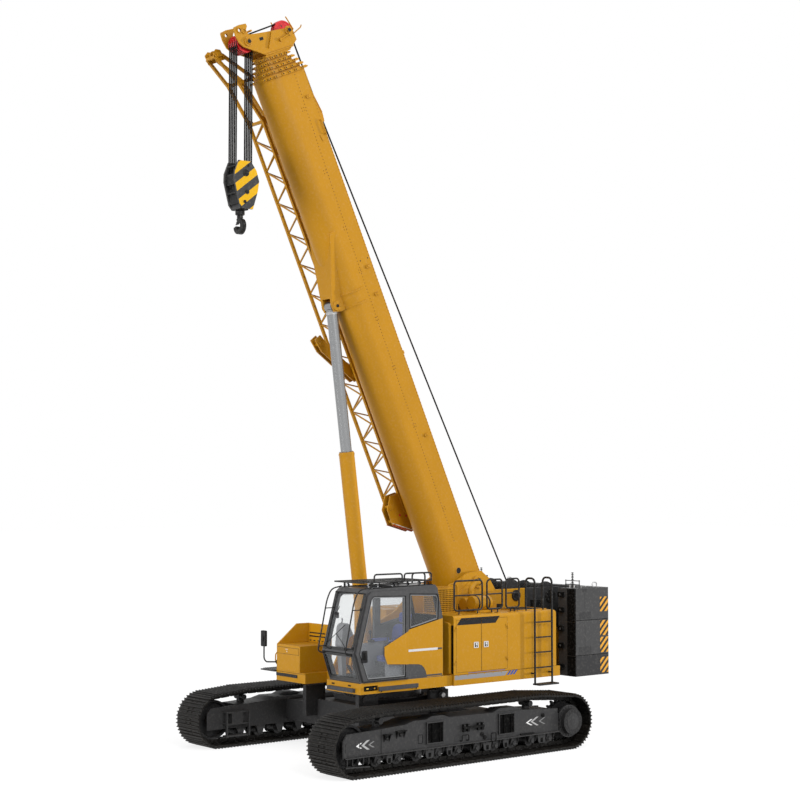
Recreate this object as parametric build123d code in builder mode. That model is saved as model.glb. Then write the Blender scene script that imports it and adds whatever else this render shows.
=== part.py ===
"""Telescopic boom crawler crane, in millimetres.

The origin is on the ground under the slewing axis. -Y is forward, +X is the
machine's left (the cab's side) and +Z is up.
"""
import math
import os

from build123d import *

os.makedirs("parts", exist_ok=True)

# ------------------------------------------------------------------ driving sizes
# crawlers
GAUGE = 4200.0                  # centre to centre of the tracks
SHOE_WIDTH = 760.0
SHOE_COUNT = 64
SHOE_PLATE = 38.0               # thickness of a shoe's plate
GROUSER = 24.0                  # height of a grouser bar
CHAIN_WIDTH = 220.0
CHAIN_DEPTH = 85.0              # link rail, inwards from the shoe plate
WHEEL_SPREAD = 2545.0           # idler and sprocket centres, from the middle
WHEEL_Z = 515.0
CARRIER_TOP = 1085.0            # grouser tips over the carrier rollers
FRAME_WIDTH = 540.0             # over a track frame's side plates
FRAME_PLATE = 30.0
FRAME_BOTTOM = 345.0
ROLLER_COUNT = 10
ROLLER_FIRST_Y = -WHEEL_SPREAD + 545
ROLLER_LAST_Y = WHEEL_SPREAD - 485
ROLLER_RADIUS = 85.0
ROLLER_FLANGE = 15.0            # flange above the roller's tread
AXLE_RADIUS = 32.0
HUB_RADIUS = 235.0
CARRIER_Y = (-1860.0, 1680.0)   # carrier rollers
CARRIER_DROP = (0.0, -10.0)     # how far each one stands below CARRIER_TOP's line
CARRIER_BEND = 200.0            # radius of the grouser tips over a carrier roller
SEAT = 0.05                     # clearance of a seated pin or wheel
RUN = 0.3                       # running clearance at a bearing, pad or gland
# carbody and slewing ring
BEAM_Y = (-765.0, 939.0)        # crossbeam centres
BEAM_LENGTH_Y = 400.0
BEAM_BOTTOM = 410.0
BEAM_TOP = 800.0
RING_BOTTOM = 1000.0
RING_SPLIT = 1110.0             # underside of the turning half
RING_RADIUS = 700.0
RING_WALL = 150.0
# superstructure
DECK_BOTTOM = 1240.0
DECK_TOP = 1430.0
HOUSE_X = 1500.0                # outer side of the housings
HOUSE_INNER_X = 500.0
HOUSE_FRONT = 440.0
HOUSE_REAR = 3080.0
HOUSE_TOP = 2520.0
HOUSE_WALL = 20.0
CHEEK_X = 425.0                 # middle of a boom cheek plate
CHEEK_THICK = 50.0
COUNTERWEIGHT_FRONT = 3610.0
COUNTERWEIGHT_REAR = 4550.0
COUNTERWEIGHT_LEVELS = (1178.0, 1577.0, 2240.0, 2900.0)
# cab
CAB_X = 1450.0                  # outer side of the cab's wall
CAB_WIDTH = 910.0
CAB_WALL = 50.0
GLASS = 8.0
DOOR_THICK = 34.0
DOOR_GAP = 6.0
# boom
BOOM_PIVOT = (1980.0, 3050.0)   # y, z
BOOM_ANGLE = 65.2
BOOM_TOP = 227.0                # top plate above the pivot line
# name, half width, depth, rear end, front end
SECTIONS = (
    ("boom_base", 340.0, 870.0, -250.0, 10420.0),
    ("boom_section_2", 304.0, 798.0, 300.0, 10505.0),
    ("boom_section_3", 268.0, 726.0, 340.0, 10590.0),
    ("boom_section_4", 232.0, 654.0, 380.0, 10675.0),
    ("boom_section_5", 196.0, 582.0, 420.0, 10760.0),
)
SECTION_WALL = 10.0
SECTION_STEP = 36.0             # between one section's outside and the next one's
COLLAR = 50.0                   # length of a section's front collar
COLLAR_RISE = 40.0              # collar above the base's top and sides
COLLAR_DROP = 8.0               # collar below the round bottom
# luffing cylinder
CYLINDER_FOOT = (-430.0, 1900.0)    # y, z
EYE_ALONG = 6090.0
EYE_DOWN = 760.0
BARREL_RADIUS = 145.0
BARREL_LENGTH = 3660.0
ROD_RADIUS = 105.0
# head
HEAD_AXLE = (11133.0, 690.0)    # along, down
REAR_AXLE = (11100.0, -260.0)
HEAD_SHEAVE = 180.0             # radius over the flanges
REAR_SHEAVE = 215.0
GROOVE = 25.0                   # depth of the rope's groove
SHEAVE_PITCH = 56.0
SHEAVE_COUNT = 5
ROPE_RADIUS = 10.0
HEAD_PLATE_X = 210.0
HEAD_PLATE = 30.0
FALL_LENGTH = 2190.0

BOOM_DIR = (0.0, -math.cos(math.radians(BOOM_ANGLE)), math.sin(math.radians(BOOM_ANGLE)))
SIDE = Plane.YZ                 # sketches in (y, z), normal +X


def save(piece, name):
    """Label one finished piece and write its STEP file."""
    piece.part.label = name
    export_step(piece.part, f"parts/{name}.step")


def boom_side(x=0.0):
    """Plane across the boom whose sketches are in (along, down)."""
    return Plane(origin=(x, *BOOM_PIVOT), x_dir=BOOM_DIR, z_dir=(1, 0, 0))


def boom_cross(along):
    """Plane square to the boom whose sketches are in (x, up)."""
    y = BOOM_PIVOT[0] + along * BOOM_DIR[1]
    z = BOOM_PIVOT[1] + along * BOOM_DIR[2]
    return Plane(origin=(0, y, z), x_dir=(1, 0, 0), z_dir=BOOM_DIR)


def boom_point(along, down):
    """(y, z) of a point given along and down from the boom's pivot line."""
    return (
        BOOM_PIVOT[0] + along * BOOM_DIR[1] - down * BOOM_DIR[2],
        BOOM_PIVOT[1] + along * BOOM_DIR[2] + down * BOOM_DIR[1],
    )


def prism(points, plane, half):
    """Straight-sided outline pushed out the same way on both sides of a plane."""
    with BuildPart() as piece:
        with BuildSketch(plane):
            with BuildLine():
                Polyline(*points, close=True)
            make_face()
        extrude(amount=half, both=True)
    return piece.part


def block(x, y, z):
    """Box from three (low, high) pairs."""
    with BuildPart() as piece:
        with Locations(((x[0] + x[1]) / 2, (y[0] + y[1]) / 2, (z[0] + z[1]) / 2)):
            Box(x[1] - x[0], y[1] - y[0], z[1] - z[0])
    return piece.part


def rod(start, end, radius):
    """Round bar between two points."""
    path = Vector(*end) - Vector(*start)
    with BuildPart() as piece:
        with BuildSketch(Plane(origin=start, z_dir=path)):
            Circle(radius)
        extrude(amount=path.length)
    return piece.part


def cross_rod(y, z, x0, x1, radius):
    """Round bar along X."""
    return rod((x0, y, z), (x1, y, z), radius)


# ------------------------------------------------------------------ crawlers
def belt(pulleys):
    """Taut belt round circles given as (y, z, radius) in order, counter-clockwise.

    Gives its straight runs and arcs as ("line", start, end) and
    ("arc", centre, radius, start angle, swept angle).
    """
    runs = []
    count = len(pulleys)
    for i in range(count):
        y0, z0, r0 = pulleys[i]
        y1, z1, r1 = pulleys[(i + 1) % count]
        span = math.hypot(y1 - y0, z1 - z0)
        normal = math.atan2(z1 - z0, y1 - y0) - math.acos((r0 - r1) / span)
        cos_n, sin_n = math.cos(normal), math.sin(normal)
        runs.append((normal, (y0 + r0 * cos_n, z0 + r0 * sin_n), (y1 + r1 * cos_n, z1 + r1 * sin_n)))
    path = []
    for i in range(count):
        normal, start, end = runs[i]
        path.append(("line", start, end))
        following = runs[(i + 1) % count][0]
        y1, z1, r1 = pulleys[(i + 1) % count]
        path.append(("arc", (y1, z1), r1, normal, (following - normal) % (2 * math.pi)))
    return path


def run_length(run):
    """Length of one of a belt's runs."""
    if run[0] == "line":
        return math.dist(run[1], run[2])
    return run[2] * run[4]


def belt_point(path, distance, height):
    """Point at a distance along a belt and a height out from it."""
    for run in path:
        length = run_length(run)
        if distance <= length:
            break
        distance -= length
    share = distance / length
    if run[0] == "line":
        (y0, z0), (y1, z1) = run[1], run[2]
        out = ((z1 - z0) / length, (y0 - y1) / length)
        return (y0 + share * (y1 - y0) + height * out[0], z0 + share * (z1 - z0) + height * out[1])
    angle = run[3] + share * run[4]
    return (
        run[1][0] + (run[2] + height) * math.cos(angle),
        run[1][1] + (run[2] + height) * math.sin(angle),
    )


def carrier_z(i):
    """Height of a carrier roller's axle."""
    return CARRIER_TOP - CARRIER_DROP[i] - CARRIER_BEND


def track_pulleys(inset):
    """Circles that carry the track, for a belt an inset below the grouser tips."""
    return (
        (-WHEEL_SPREAD, WHEEL_Z, WHEEL_Z - inset),
        (WHEEL_SPREAD, WHEEL_Z, WHEEL_Z - inset),
        (CARRIER_Y[1], carrier_z(1), CARRIER_BEND - inset),
        (CARRIER_Y[0], carrier_z(0), CARRIER_BEND - inset),
    )


def belt_face(path):
    """Draw a belt's runs as lines and arcs in the current line context."""
    for run in path:
        if run[0] == "line":
            Line(run[1], run[2])
        else:
            _, (y, z), radius, start, sweep = run
            ends = [
                (y + radius * math.cos(start + k * sweep), z + radius * math.sin(start + k * sweep))
                for k in (0, 0.5, 1)
            ]
            ThreePointArc(*ends)


# grouser bars across a shoe: (share of the pitch, half width at the root)
GROUSERS = ((0.16, 12.0), (0.5, 12.0), (0.84, 12.0))


CHAIN_INSET = GROUSER + SHOE_PLATE + CHAIN_DEPTH
LINK_X = 75.0                   # middle of a link rail, beside the sprocket's teeth
LINK_HALF = 35.0


def make_track(side):
    """One track: its shoes in the outline, with the link rail inside it."""
    x = side * GAUGE / 2
    outer = belt(track_pulleys(GROUSER))
    total = sum(run_length(run) for run in outer)
    pitch = total / SHOE_COUNT
    points = []
    for shoe in range(SHOE_COUNT):
        for share, half in GROUSERS:
            at = (shoe + share) * pitch
            points += [
                belt_point(outer, at - half, 0.0),
                belt_point(outer, at, GROUSER),
                belt_point(outer, at + half, 0.0),
            ]
    with BuildPart() as track:
        with BuildSketch(SIDE.offset(x)):
            with BuildLine():
                Polyline(*points, close=True)
            make_face()
            with BuildLine():
                belt_face(belt(track_pulleys(GROUSER + SHOE_PLATE)))
            make_face(mode=Mode.SUBTRACT)
        extrude(amount=SHOE_WIDTH / 2, both=True)
        for rail in (x - LINK_X, x + LINK_X):
            with BuildSketch(SIDE.offset(rail)):
                with BuildLine():
                    belt_face(belt(track_pulleys(GROUSER + SHOE_PLATE)))
                make_face()
                with BuildLine():
                    belt_face(belt(track_pulleys(CHAIN_INSET)))
                make_face(mode=Mode.SUBTRACT)
            extrude(amount=LINK_HALF, both=True)
    return track


ROLLER_Z = CHAIN_INSET + ROLLER_RADIUS
ROLLER_Y = [
    ROLLER_FIRST_Y + i * (ROLLER_LAST_Y - ROLLER_FIRST_Y) / (ROLLER_COUNT - 1) for i in range(ROLLER_COUNT)
]
CARRIER_ROLLER = CARRIER_BEND - CHAIN_INSET - SEAT
CARRIER_AXLE = 25.0
CARRIER_POST = 40.0             # half width of the post under a carrier roller

# side profile of a track frame: y, z
FRAME_NOSE = -WHEEL_SPREAD - 235
FRAME_TAIL = WHEEL_SPREAD - 299
FRAME_PROFILE = (
    (FRAME_NOSE, FRAME_BOTTOM), (FRAME_TAIL, FRAME_BOTTOM), (FRAME_TAIL, 775), (1150, 829), (-1240, 850),
    (-1445, 801), (-1990, 775), (FRAME_NOSE + 80, 750), (FRAME_NOSE, 640),
)
FORK_DEPTH = 465.0              # from a wheel's centre back to the end of its fork


def make_track_frame(side):
    """Box frame between the idler and the sprocket, open for the crossbeams."""
    x = side * GAUGE / 2
    inner = FRAME_WIDTH / 2 - FRAME_PLATE
    with BuildPart() as frame:
        add(prism(FRAME_PROFILE, SIDE.offset(x), FRAME_WIDTH / 2))
        # forks for the idler and the sprocket
        front = (FRAME_NOSE - 1, FORK_DEPTH - WHEEL_SPREAD)
        rear = (WHEEL_SPREAD - FORK_DEPTH, FRAME_TAIL + 1)
        for fork in (front, rear):
            add(block((x - inner, x + inner), fork, (0, 1200)), mode=Mode.SUBTRACT)
        for y in BEAM_Y:
            add(
                block(
                    (x - 400, x + 400),
                    (y - BEAM_LENGTH_Y / 2, y + BEAM_LENGTH_Y / 2),
                    (BEAM_BOTTOM, BEAM_TOP),
                ),
                mode=Mode.SUBTRACT,
            )
        # hangers that hold the bottom rollers' axles
        for y in ROLLER_Y:
            outline = (
                (y - 95, FRAME_BOTTOM + 5), (y - 50, ROLLER_Z - 45),
                (y + 50, ROLLER_Z - 45), (y + 95, FRAME_BOTTOM + 5),
            )
            for end in (-1, 1):
                add(prism(outline, SIDE.offset(x + end * (inner - FRAME_PLATE / 2)), FRAME_PLATE / 2))
        # posts under the carrier rollers
        for i, y in enumerate(CARRIER_Y):
            z = carrier_z(i)
            add(block((x - CARRIER_POST, x + CARRIER_POST), (y - 60, y + 60), (FRAME_BOTTOM + 50, z + 35)))
            add(cross_rod(y, z, x - 60, x + 60, CARRIER_AXLE + SEAT), mode=Mode.SUBTRACT)
        # final drive's round flange at the rear
        with BuildSketch(SIDE.offset(x + side * inner)):
            with Locations((WHEEL_SPREAD, WHEEL_Z)):
                Circle(300)
            with Locations((WHEEL_SPREAD - 345, WHEEL_Z)):
                Rectangle(300, 330)
            with Locations((WHEEL_SPREAD, WHEEL_Z)):
                Circle(HUB_RADIUS + SEAT, mode=Mode.SUBTRACT)
        extrude(amount=side * FRAME_PLATE)
    return frame.part


def make_rollers(side):
    """Bottom and carrier rollers of one track, each a spool on its axle."""
    x = side * GAUGE / 2
    seat = FRAME_WIDTH / 2 - 2 * FRAME_PLATE
    with BuildPart() as rollers:
        for y in ROLLER_Y:
            add(cross_rod(y, ROLLER_Z, x - seat, x + seat, AXLE_RADIUS))
            add(cross_rod(y, ROLLER_Z, x - 160, x + 160, ROLLER_RADIUS - SEAT))
            for end in (-1, 1):
                x0, x1 = sorted((x + end * 120, x + end * 160))
                add(cross_rod(y, ROLLER_Z, x0, x1, ROLLER_RADIUS + ROLLER_FLANGE))
        for i, y in enumerate(CARRIER_Y):
            z = carrier_z(i)
            add(cross_rod(y, z, x - 120, x + 120, CARRIER_AXLE))
            for end in (-1, 1):
                x0, x1 = sorted((x + end * CARRIER_POST, x + end * 140))
                add(cross_rod(y, z, x0, x1, CARRIER_ROLLER))
    return rollers.part


def make_idler(side):
    """Front idler wheel on its axle."""
    x = side * GAUGE / 2
    rim = WHEEL_Z - CHAIN_INSET - SEAT
    fork = FRAME_WIDTH / 2 - FRAME_PLATE
    # half section of the wheel: across, out from the axle
    section = (
        (-150, 0), (-150, 120), (-60, 140), (-60, rim - 60), (-115, rim - 40), (-115, rim),
        (115, rim), (115, rim - 40), (60, rim - 60), (60, 140), (150, 120), (150, 0),
    )
    with BuildPart() as idler:
        with BuildSketch(Plane.XZ.offset(WHEEL_SPREAD)):
            with BuildLine():
                Polyline(*[(x + across, WHEEL_Z + out) for across, out in section], close=True)
            make_face()
        revolve(axis=Axis((x, -WHEEL_SPREAD, WHEEL_Z), (1, 0, 0)))
        add(cross_rod(-WHEEL_SPREAD, WHEEL_Z, x - fork, x + fork, 70))
    return idler.part


SPROCKET_TEETH = 21
TOOTH_HALF = 30.0               # half thickness, inside the gap between the link rails


def make_sprocket(side):
    """Rear sprocket with its final drive out to the shoes' outer edge."""
    x = side * GAUGE / 2
    rim = WHEEL_Z - CHAIN_INSET
    # a tooth's outline: radius, angle
    tooth = ((rim - 40, -0.09), (rim + 45, -0.035), (rim + 45, 0.035), (rim - 40, 0.09))
    with BuildPart() as sprocket:
        add(cross_rod(WHEEL_SPREAD, WHEEL_Z, x - 55, x + 55, rim - 30))
        with BuildSketch(SIDE.offset(x)):
            for i in range(SPROCKET_TEETH):
                turn = 2 * math.pi * i / SPROCKET_TEETH
                with BuildLine():
                    Polyline(
                        *[
                            (WHEEL_SPREAD + r * math.cos(turn + a), WHEEL_Z + r * math.sin(turn + a))
                            for r, a in tooth
                        ],
                        close=True,
                    )
                make_face()
        extrude(amount=TOOTH_HALF, both=True)
        x0, x1 = sorted((x - side * 200, x + side * SHOE_WIDTH / 2))
        add(cross_rod(WHEEL_SPREAD, WHEEL_Z, x0, x1, HUB_RADIUS))
    return sprocket.part


save(make_track(1), "track_left")
save(make_track(-1), "track_right")
for name, maker in (("rollers", make_rollers), ("idlers", make_idler), ("sprockets", make_sprocket)):
    with BuildPart() as pair:
        for side in (-1, 1):
            add(maker(side))
    save(pair, name)

FRAME_INNER_X = GAUGE / 2 - FRAME_WIDTH / 2
STEP_Z = (200.0, 420.0, 640.0)
with BuildPart() as track_frames:
    for side in (-1, 1):
        add(make_track_frame(side))
        # boarding steps on the inner side plate
        outer, inner = sorted((side * FRAME_INNER_X, side * (FRAME_INNER_X - 120)), key=abs, reverse=True)
        low, high = sorted((inner, outer))
        for z in STEP_Z:
            add(block((low, high), (-2430, -1900), (z, z + 30)))
        for y in (-2430, -1930):
            add(block((inner - 20, inner + 20), (y, y + 30), (STEP_Z[0], STEP_Z[-1] + 30)))
        add(block((low, high), (-2300, -2050), (STEP_Z[1], STEP_Z[-1])))
save(track_frames, "track_frames")

# ------------------------------------------------------------------ carbody
with BuildPart() as carbody:
    add(block((-800, 800), (-1000, 1150), (420, 900)))
    add(prism(((-620, 890), (620, 890), (700, RING_BOTTOM), (-700, RING_BOTTOM)), Plane.XZ, 700))
    beam_end = GAUGE / 2 + FRAME_WIDTH / 2
    for y in BEAM_Y:
        half = BEAM_LENGTH_Y / 2
        add(block((-beam_end, beam_end), (y - half, y + half), (BEAM_BOTTOM, BEAM_TOP)))
    # upright brackets beside the pedestal, front ones square and rear ones rounded
    for side in (-1, 1):
        with BuildSketch(SIDE.offset(side * 810)):
            with Locations((-1045, 885)):
                Rectangle(450, 570)
            with Locations((640, 900)):
                Rectangle(440, 400)
            with Locations((700, 1000)):
                Circle(150)
        extrude(amount=50, both=True)
    # fixed half of the slewing ring
    with BuildSketch(Plane.XY.offset(RING_BOTTOM)):
        Circle(RING_RADIUS)
        Circle(RING_RADIUS - RING_WALL, mode=Mode.SUBTRACT)
    extrude(amount=RING_SPLIT - RUN - RING_BOTTOM)
save(carbody, "carbody")

# ------------------------------------------------------------------ superstructure frame
CENTRE_X = 470.0                # half width of the centre frame's floor
RECESS_REAR = 4340.0            # rear of the counterweight's recess
FRAME_REAR = RECESS_REAR - RUN
DECK_REAR = 3180.0
CAB_DECK_FRONT = -1700.0
BOX_DECK_FRONT = -1500.0
BOX_DECK_X = 1400.0
WINCH_TOP = 2880.0              # top of the plates that hold the winches
WINCH_BASE = 2060.0             # underside of the rear winch's frame
WINCH_FRAME_Y = 3250.0          # front of the rear winch's frame
# cheek plates: y, z
CHEEK_PROFILE = (
    (-900, DECK_TOP), (-900, 1500), (-620, 2060), (-260, 2120), (600, 2500), (1100, 2900),
    (1720, 3230), (2080, 3260), (2300, 3100), (2450, WINCH_TOP), (WINCH_FRAME_Y, WINCH_TOP),
    (WINCH_FRAME_Y, WINCH_BASE), (FRAME_REAR, WINCH_BASE), (FRAME_REAR, DECK_TOP),
)
# lugs at the cylinder's foot: y, z
FOOT_LUG = ((-700, DECK_TOP), (-560, 2020), (-430, 2060), (-300, 2020), (-100, DECK_TOP))
FOOT_LUG_X = 205.0
FOOT_LUG_HALF = 30.0
PIVOT_PIN = 70.0
FOOT_PIN = 60.0
with BuildPart() as turntable:
    add(block((-CENTRE_X, CENTRE_X), (-1000, FRAME_REAR), (DECK_BOTTOM, DECK_TOP)))
    for side in (-1, 1):
        add(prism(CHEEK_PROFILE, SIDE.offset(side * CHEEK_X), CHEEK_THICK / 2))
        add(prism(FOOT_LUG, SIDE.offset(side * FOOT_LUG_X), FOOT_LUG_HALF))
        # head of the cylinder's foot pin, on the lug's outer face
        x0, x1 = sorted((side * (FOOT_LUG_X + FOOT_LUG_HALF), side * (FOOT_LUG_X + FOOT_LUG_HALF + 20)))
        add(cross_rod(*CYLINDER_FOOT, x0, x1, FOOT_PIN))
    # cross members behind the boom's foot and between the winches
    add(block((-CHEEK_X, CHEEK_X), (2560, 2640), (DECK_TOP, 2300)))
    add(block((-CHEEK_X, CHEEK_X), (3480, 3540), (DECK_TOP, WINCH_BASE)))
    add(cross_rod(*BOOM_PIVOT, -CHEEK_X - 45, CHEEK_X + 45, PIVOT_PIN))
    # turning half of the slewing ring
    with BuildSketch(Plane.XY.offset(RING_SPLIT)):
        Circle(RING_RADIUS - 20)
        Circle(RING_RADIUS - RING_WALL, mode=Mode.SUBTRACT)
    extrude(amount=DECK_BOTTOM - RING_SPLIT)
save(turntable, "turntable_frame")

# the rear winch's frame: side plates that stand on the cheeks, with a tie at the rear
with BuildPart() as winch_frame:
    outline = (
        (WINCH_FRAME_Y + RUN, WINCH_BASE + RUN), (WINCH_FRAME_Y + RUN, WINCH_TOP),
        (FRAME_REAR - 40, WINCH_TOP), (FRAME_REAR - 1, 2700), (FRAME_REAR - 1, WINCH_BASE + RUN),
    )
    for side in (-1, 1):
        add(prism(outline, SIDE.offset(side * CHEEK_X), CHEEK_THICK / 2))
    add(block((-CHEEK_X, CHEEK_X), (FRAME_REAR - 60, FRAME_REAR - 10), (WINCH_BASE + RUN, 2300)))
    add(block((-CHEEK_X, CHEEK_X), (3400, 3450), (WINCH_BASE + RUN, 2260)))
save(winch_frame, "winch_frame")

with BuildPart() as decks:
    add(block((CENTRE_X, CAB_X), (CAB_DECK_FRONT, HOUSE_FRONT), (DECK_BOTTOM, DECK_TOP)))
    add(block((CENTRE_X, HOUSE_X), (HOUSE_FRONT, DECK_REAR), (DECK_BOTTOM, DECK_TOP)))
    add(block((-BOX_DECK_X, -CENTRE_X), (BOX_DECK_FRONT, DECK_REAR), (DECK_BOTTOM, DECK_TOP)))
    add(block((-HOUSE_X, -BOX_DECK_X), (HOUSE_FRONT, DECK_REAR), (DECK_BOTTOM, DECK_TOP)))
    # step plate out over the right track
    add(block((-1850, -BOX_DECK_X), (BOX_DECK_FRONT, -1150), (1390, 1425)))
    # lamp recess below the cab
    add(block((CAB_X - 60, CAB_X + 1), (-1615, -1300), (1290, 1380)), mode=Mode.SUBTRACT)
save(decks, "side_decks")

# ------------------------------------------------------------------ housings
DOOR_SPLIT_Y = 1130.0
DOOR_FRONT_Y = 500.0
DOOR_REAR_Y = 1790.0
DOOR_BOTTOM = 1470.0
DOOR_TOP = 2440.0
PANEL_GAP = 6.0


def housing(side):
    """Outer box of a housing with its long edges rounded."""
    x0, x1 = sorted((side * HOUSE_INNER_X, side * HOUSE_X))
    with BuildPart() as shell:
        add(block((x0, x1), (HOUSE_FRONT, HOUSE_REAR), (DECK_TOP, HOUSE_TOP)))
        outer = shell.edges().filter_by(Axis.Y).group_by(Axis.Z)[-1].sort_by(Axis.X)
        rear = shell.faces().sort_by(Axis.Y)[-1].edges()
        top_rear = rear.sort_by(Axis.Z)[-1]
        fillet([outer[-1] if side > 0 else outer[0], top_rear], 60)
    return shell.part


HINGE = 9.0                     # radius of a hinge's knuckle
HINGE_X = HOUSE_X + HINGE + RUN
HINGE_Z = (1620.0, 2230.0)      # undersides of the hinges
KNUCKLE = 40.0                  # length of each of a hinge's two knuckles


def knuckle(y, z, towards):
    """Knuckle of a hood door's hinge with its strap, which lies towards -Y or +Y."""
    y0, y1 = sorted((y, y + towards * 35))
    with BuildPart() as piece:
        add(rod((HINGE_X, y, z), (HINGE_X, y, z + KNUCKLE), HINGE))
        add(block((HOUSE_X, HINGE_X + 3), (y0, y1), (z, z + KNUCKLE)))
    return piece.part


COOLER = {"x": (560.0, 900.0), "y": (500.0, 1020.0), "top": 3000.0}
with BuildPart() as hood:
    add(housing(1))
    wall = HOUSE_WALL
    add(
        block(
            (HOUSE_INNER_X + wall, HOUSE_X - wall),
            (HOUSE_FRONT + wall, HOUSE_REAR - wall),
            (DECK_TOP - 1, HOUSE_TOP - wall),
        ),
        mode=Mode.SUBTRACT,
    )
    add(
        block((HOUSE_X - 100, HOUSE_X + 100), (DOOR_FRONT_Y, DOOR_REAR_Y), (DOOR_BOTTOM, DOOR_TOP)),
        mode=Mode.SUBTRACT,
    )
    for y, towards in ((DOOR_FRONT_Y + PANEL_GAP / 2, -1), (DOOR_REAR_Y - PANEL_GAP / 2, 1)):
        for z in HINGE_Z:
            add(knuckle(y, z, towards))
    # cooler's box on the roof, at its front inner corner
    add(block(COOLER["x"], COOLER["y"], (HOUSE_TOP - 1, COOLER["top"])))
save(hood, "engine_hood")

# name, front edge, rear edge, hinge's place, way from the hinge into the door
for name, y0, y1, hinge_y, towards in (
    ("hood_door_front", DOOR_FRONT_Y, DOOR_SPLIT_Y, DOOR_FRONT_Y + PANEL_GAP / 2, 1),
    ("hood_door_rear", DOOR_SPLIT_Y, DOOR_REAR_Y, DOOR_REAR_Y - PANEL_GAP / 2, -1),
):
    with BuildPart() as hood_door:
        for z in HINGE_Z:
            add(knuckle(hinge_y, z + KNUCKLE + RUN, towards))
        add(
            block(
                (HOUSE_X - HOUSE_WALL, HOUSE_X),
                (y0 + PANEL_GAP, y1 - PANEL_GAP),
                (DOOR_BOTTOM + PANEL_GAP, DOOR_TOP - PANEL_GAP),
            )
        )
    save(hood_door, name)

with BuildPart() as engine:
    add(block((620, 1280), (900, 2300), (DECK_TOP, 2300)))
save(engine, "engine_block")

with BuildPart() as right_housing:
    add(housing(-1))
save(right_housing, "right_housing")

BIN = {"x": (-1400.0, -650.0), "y": (-1500.0, -750.0), "sill": 1920.0, "top": 2280.0, "wall": 30.0}
with BuildPart() as tool_box:
    (x0, x1), (y0, y1) = BIN["x"], BIN["y"]
    add(block((x0, x1), (y0, y1), (DECK_TOP, BIN["sill"])))
    add(block((x1 - BIN["wall"], x1), (y0, y1), (BIN["sill"], BIN["top"])))
    add(block((x0, x1), (y1 - BIN["wall"], y1), (BIN["sill"], BIN["top"])))
    add(
        prism(
            ((y0, BIN["sill"]), (y0 + 450, BIN["top"]), (y1, BIN["top"]), (y1, BIN["sill"])),
            SIDE.offset(x0 + BIN["wall"] / 2), BIN["wall"] / 2,
        )
    )
    add(block((x0 + 60, x1 - 60), (y0, y0 + 60), (BIN["sill"], BIN["sill"] + 60)), mode=Mode.SUBTRACT)
save(tool_box, "tool_box")

# ------------------------------------------------------------------ counterweight
RECESS_X = 1040.0
for name, i in (("counterweight_base", 0), ("counterweight_middle", 1), ("counterweight_top", 2)):
    z0, z1 = COUNTERWEIGHT_LEVELS[i], COUNTERWEIGHT_LEVELS[i + 1]
    with BuildPart() as slab:
        add(block((-HOUSE_X, HOUSE_X), (COUNTERWEIGHT_FRONT, COUNTERWEIGHT_REAR), (z0, z1)))
        recess = RECESS_X if z1 > DECK_TOP + 200 else 480
        recess_y = (COUNTERWEIGHT_FRONT - 1, RECESS_REAR)
        add(block((-recess, recess), recess_y, (z0 - 1, z1 + 1)), mode=Mode.SUBTRACT)
        if i == 0:
            add(block((-RECESS_X, RECESS_X), recess_y, (DECK_BOTTOM, z1 + 1)), mode=Mode.SUBTRACT)
    save(slab, name)

# ------------------------------------------------------------------ winches
# name, y, z, drum radius, flange radius
WINCHES = (("winch_main", 3000.0, 2785.0, 190.0, 275.0), ("winch_aux", 3950.0, 2715.0, 185.0, 270.0))
DRUM_HALF = 300.0
WINCH_END = CHEEK_X - CHEEK_THICK / 2
for name, y, z, drum, flange in WINCHES:
    with BuildPart() as winch:
        add(cross_rod(y, z, -DRUM_HALF, DRUM_HALF, drum))
        for end in (-1, 1):
            x0, x1 = sorted((end * DRUM_HALF, end * (DRUM_HALF + 25)))
            add(cross_rod(y, z, x0, x1, flange))
            x0, x1 = sorted((end * DRUM_HALF, end * WINCH_END))
            add(cross_rod(y, z, x0, x1, 80))
    save(winch, name)

# ------------------------------------------------------------------ rails and ladder
TUBE = 17.0
RAIL_X = 1400.0
# front and rear posts of each rail: y
RAILS = ((540.0, 1240.0), (1360.0, 1750.0), (1850.0, 2190.0))
RAIL_BOTTOM = 2600.0
RAIL_MIDDLE = 2880.0
RAIL_TOP = 3150.0
RAIL_BEND = 70.0
FOOT_INSET = 120.0              # of a rail's feet from its posts
SLIM = TUBE - 4                 # radius of feet and middle bars


def tube_loop(x, low, high):
    """Closed loop of tube with rounded corners between two (y, z) corners."""
    (y0, z0), (y1, z1) = low, high
    with BuildPart() as loop:
        with BuildLine(SIDE.offset(x)) as path:
            FilletPolyline((y0, z0), (y1, z0), (y1, z1), (y0, z1), radius=RAIL_BEND, close=True)
        with BuildSketch(Plane(origin=path.line @ 0, z_dir=path.line % 0)):
            Circle(TUBE)
        sweep()
    return loop.part


with BuildPart() as handrails:
    for x, rails in ((RAIL_X, RAILS), (-RAIL_X, RAILS[-1:])):
        for y0, y1 in rails:
            add(tube_loop(x, (y0, RAIL_BOTTOM), (y1, RAIL_TOP)))
            add(rod((x, y0, RAIL_MIDDLE), (x, y1, RAIL_MIDDLE), SLIM))
            for y in (y0 + FOOT_INSET, y1 - FOOT_INSET):
                add(rod((x, y, HOUSE_TOP), (x, y, RAIL_BOTTOM), SLIM))
save(handrails, "handrails")

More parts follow.
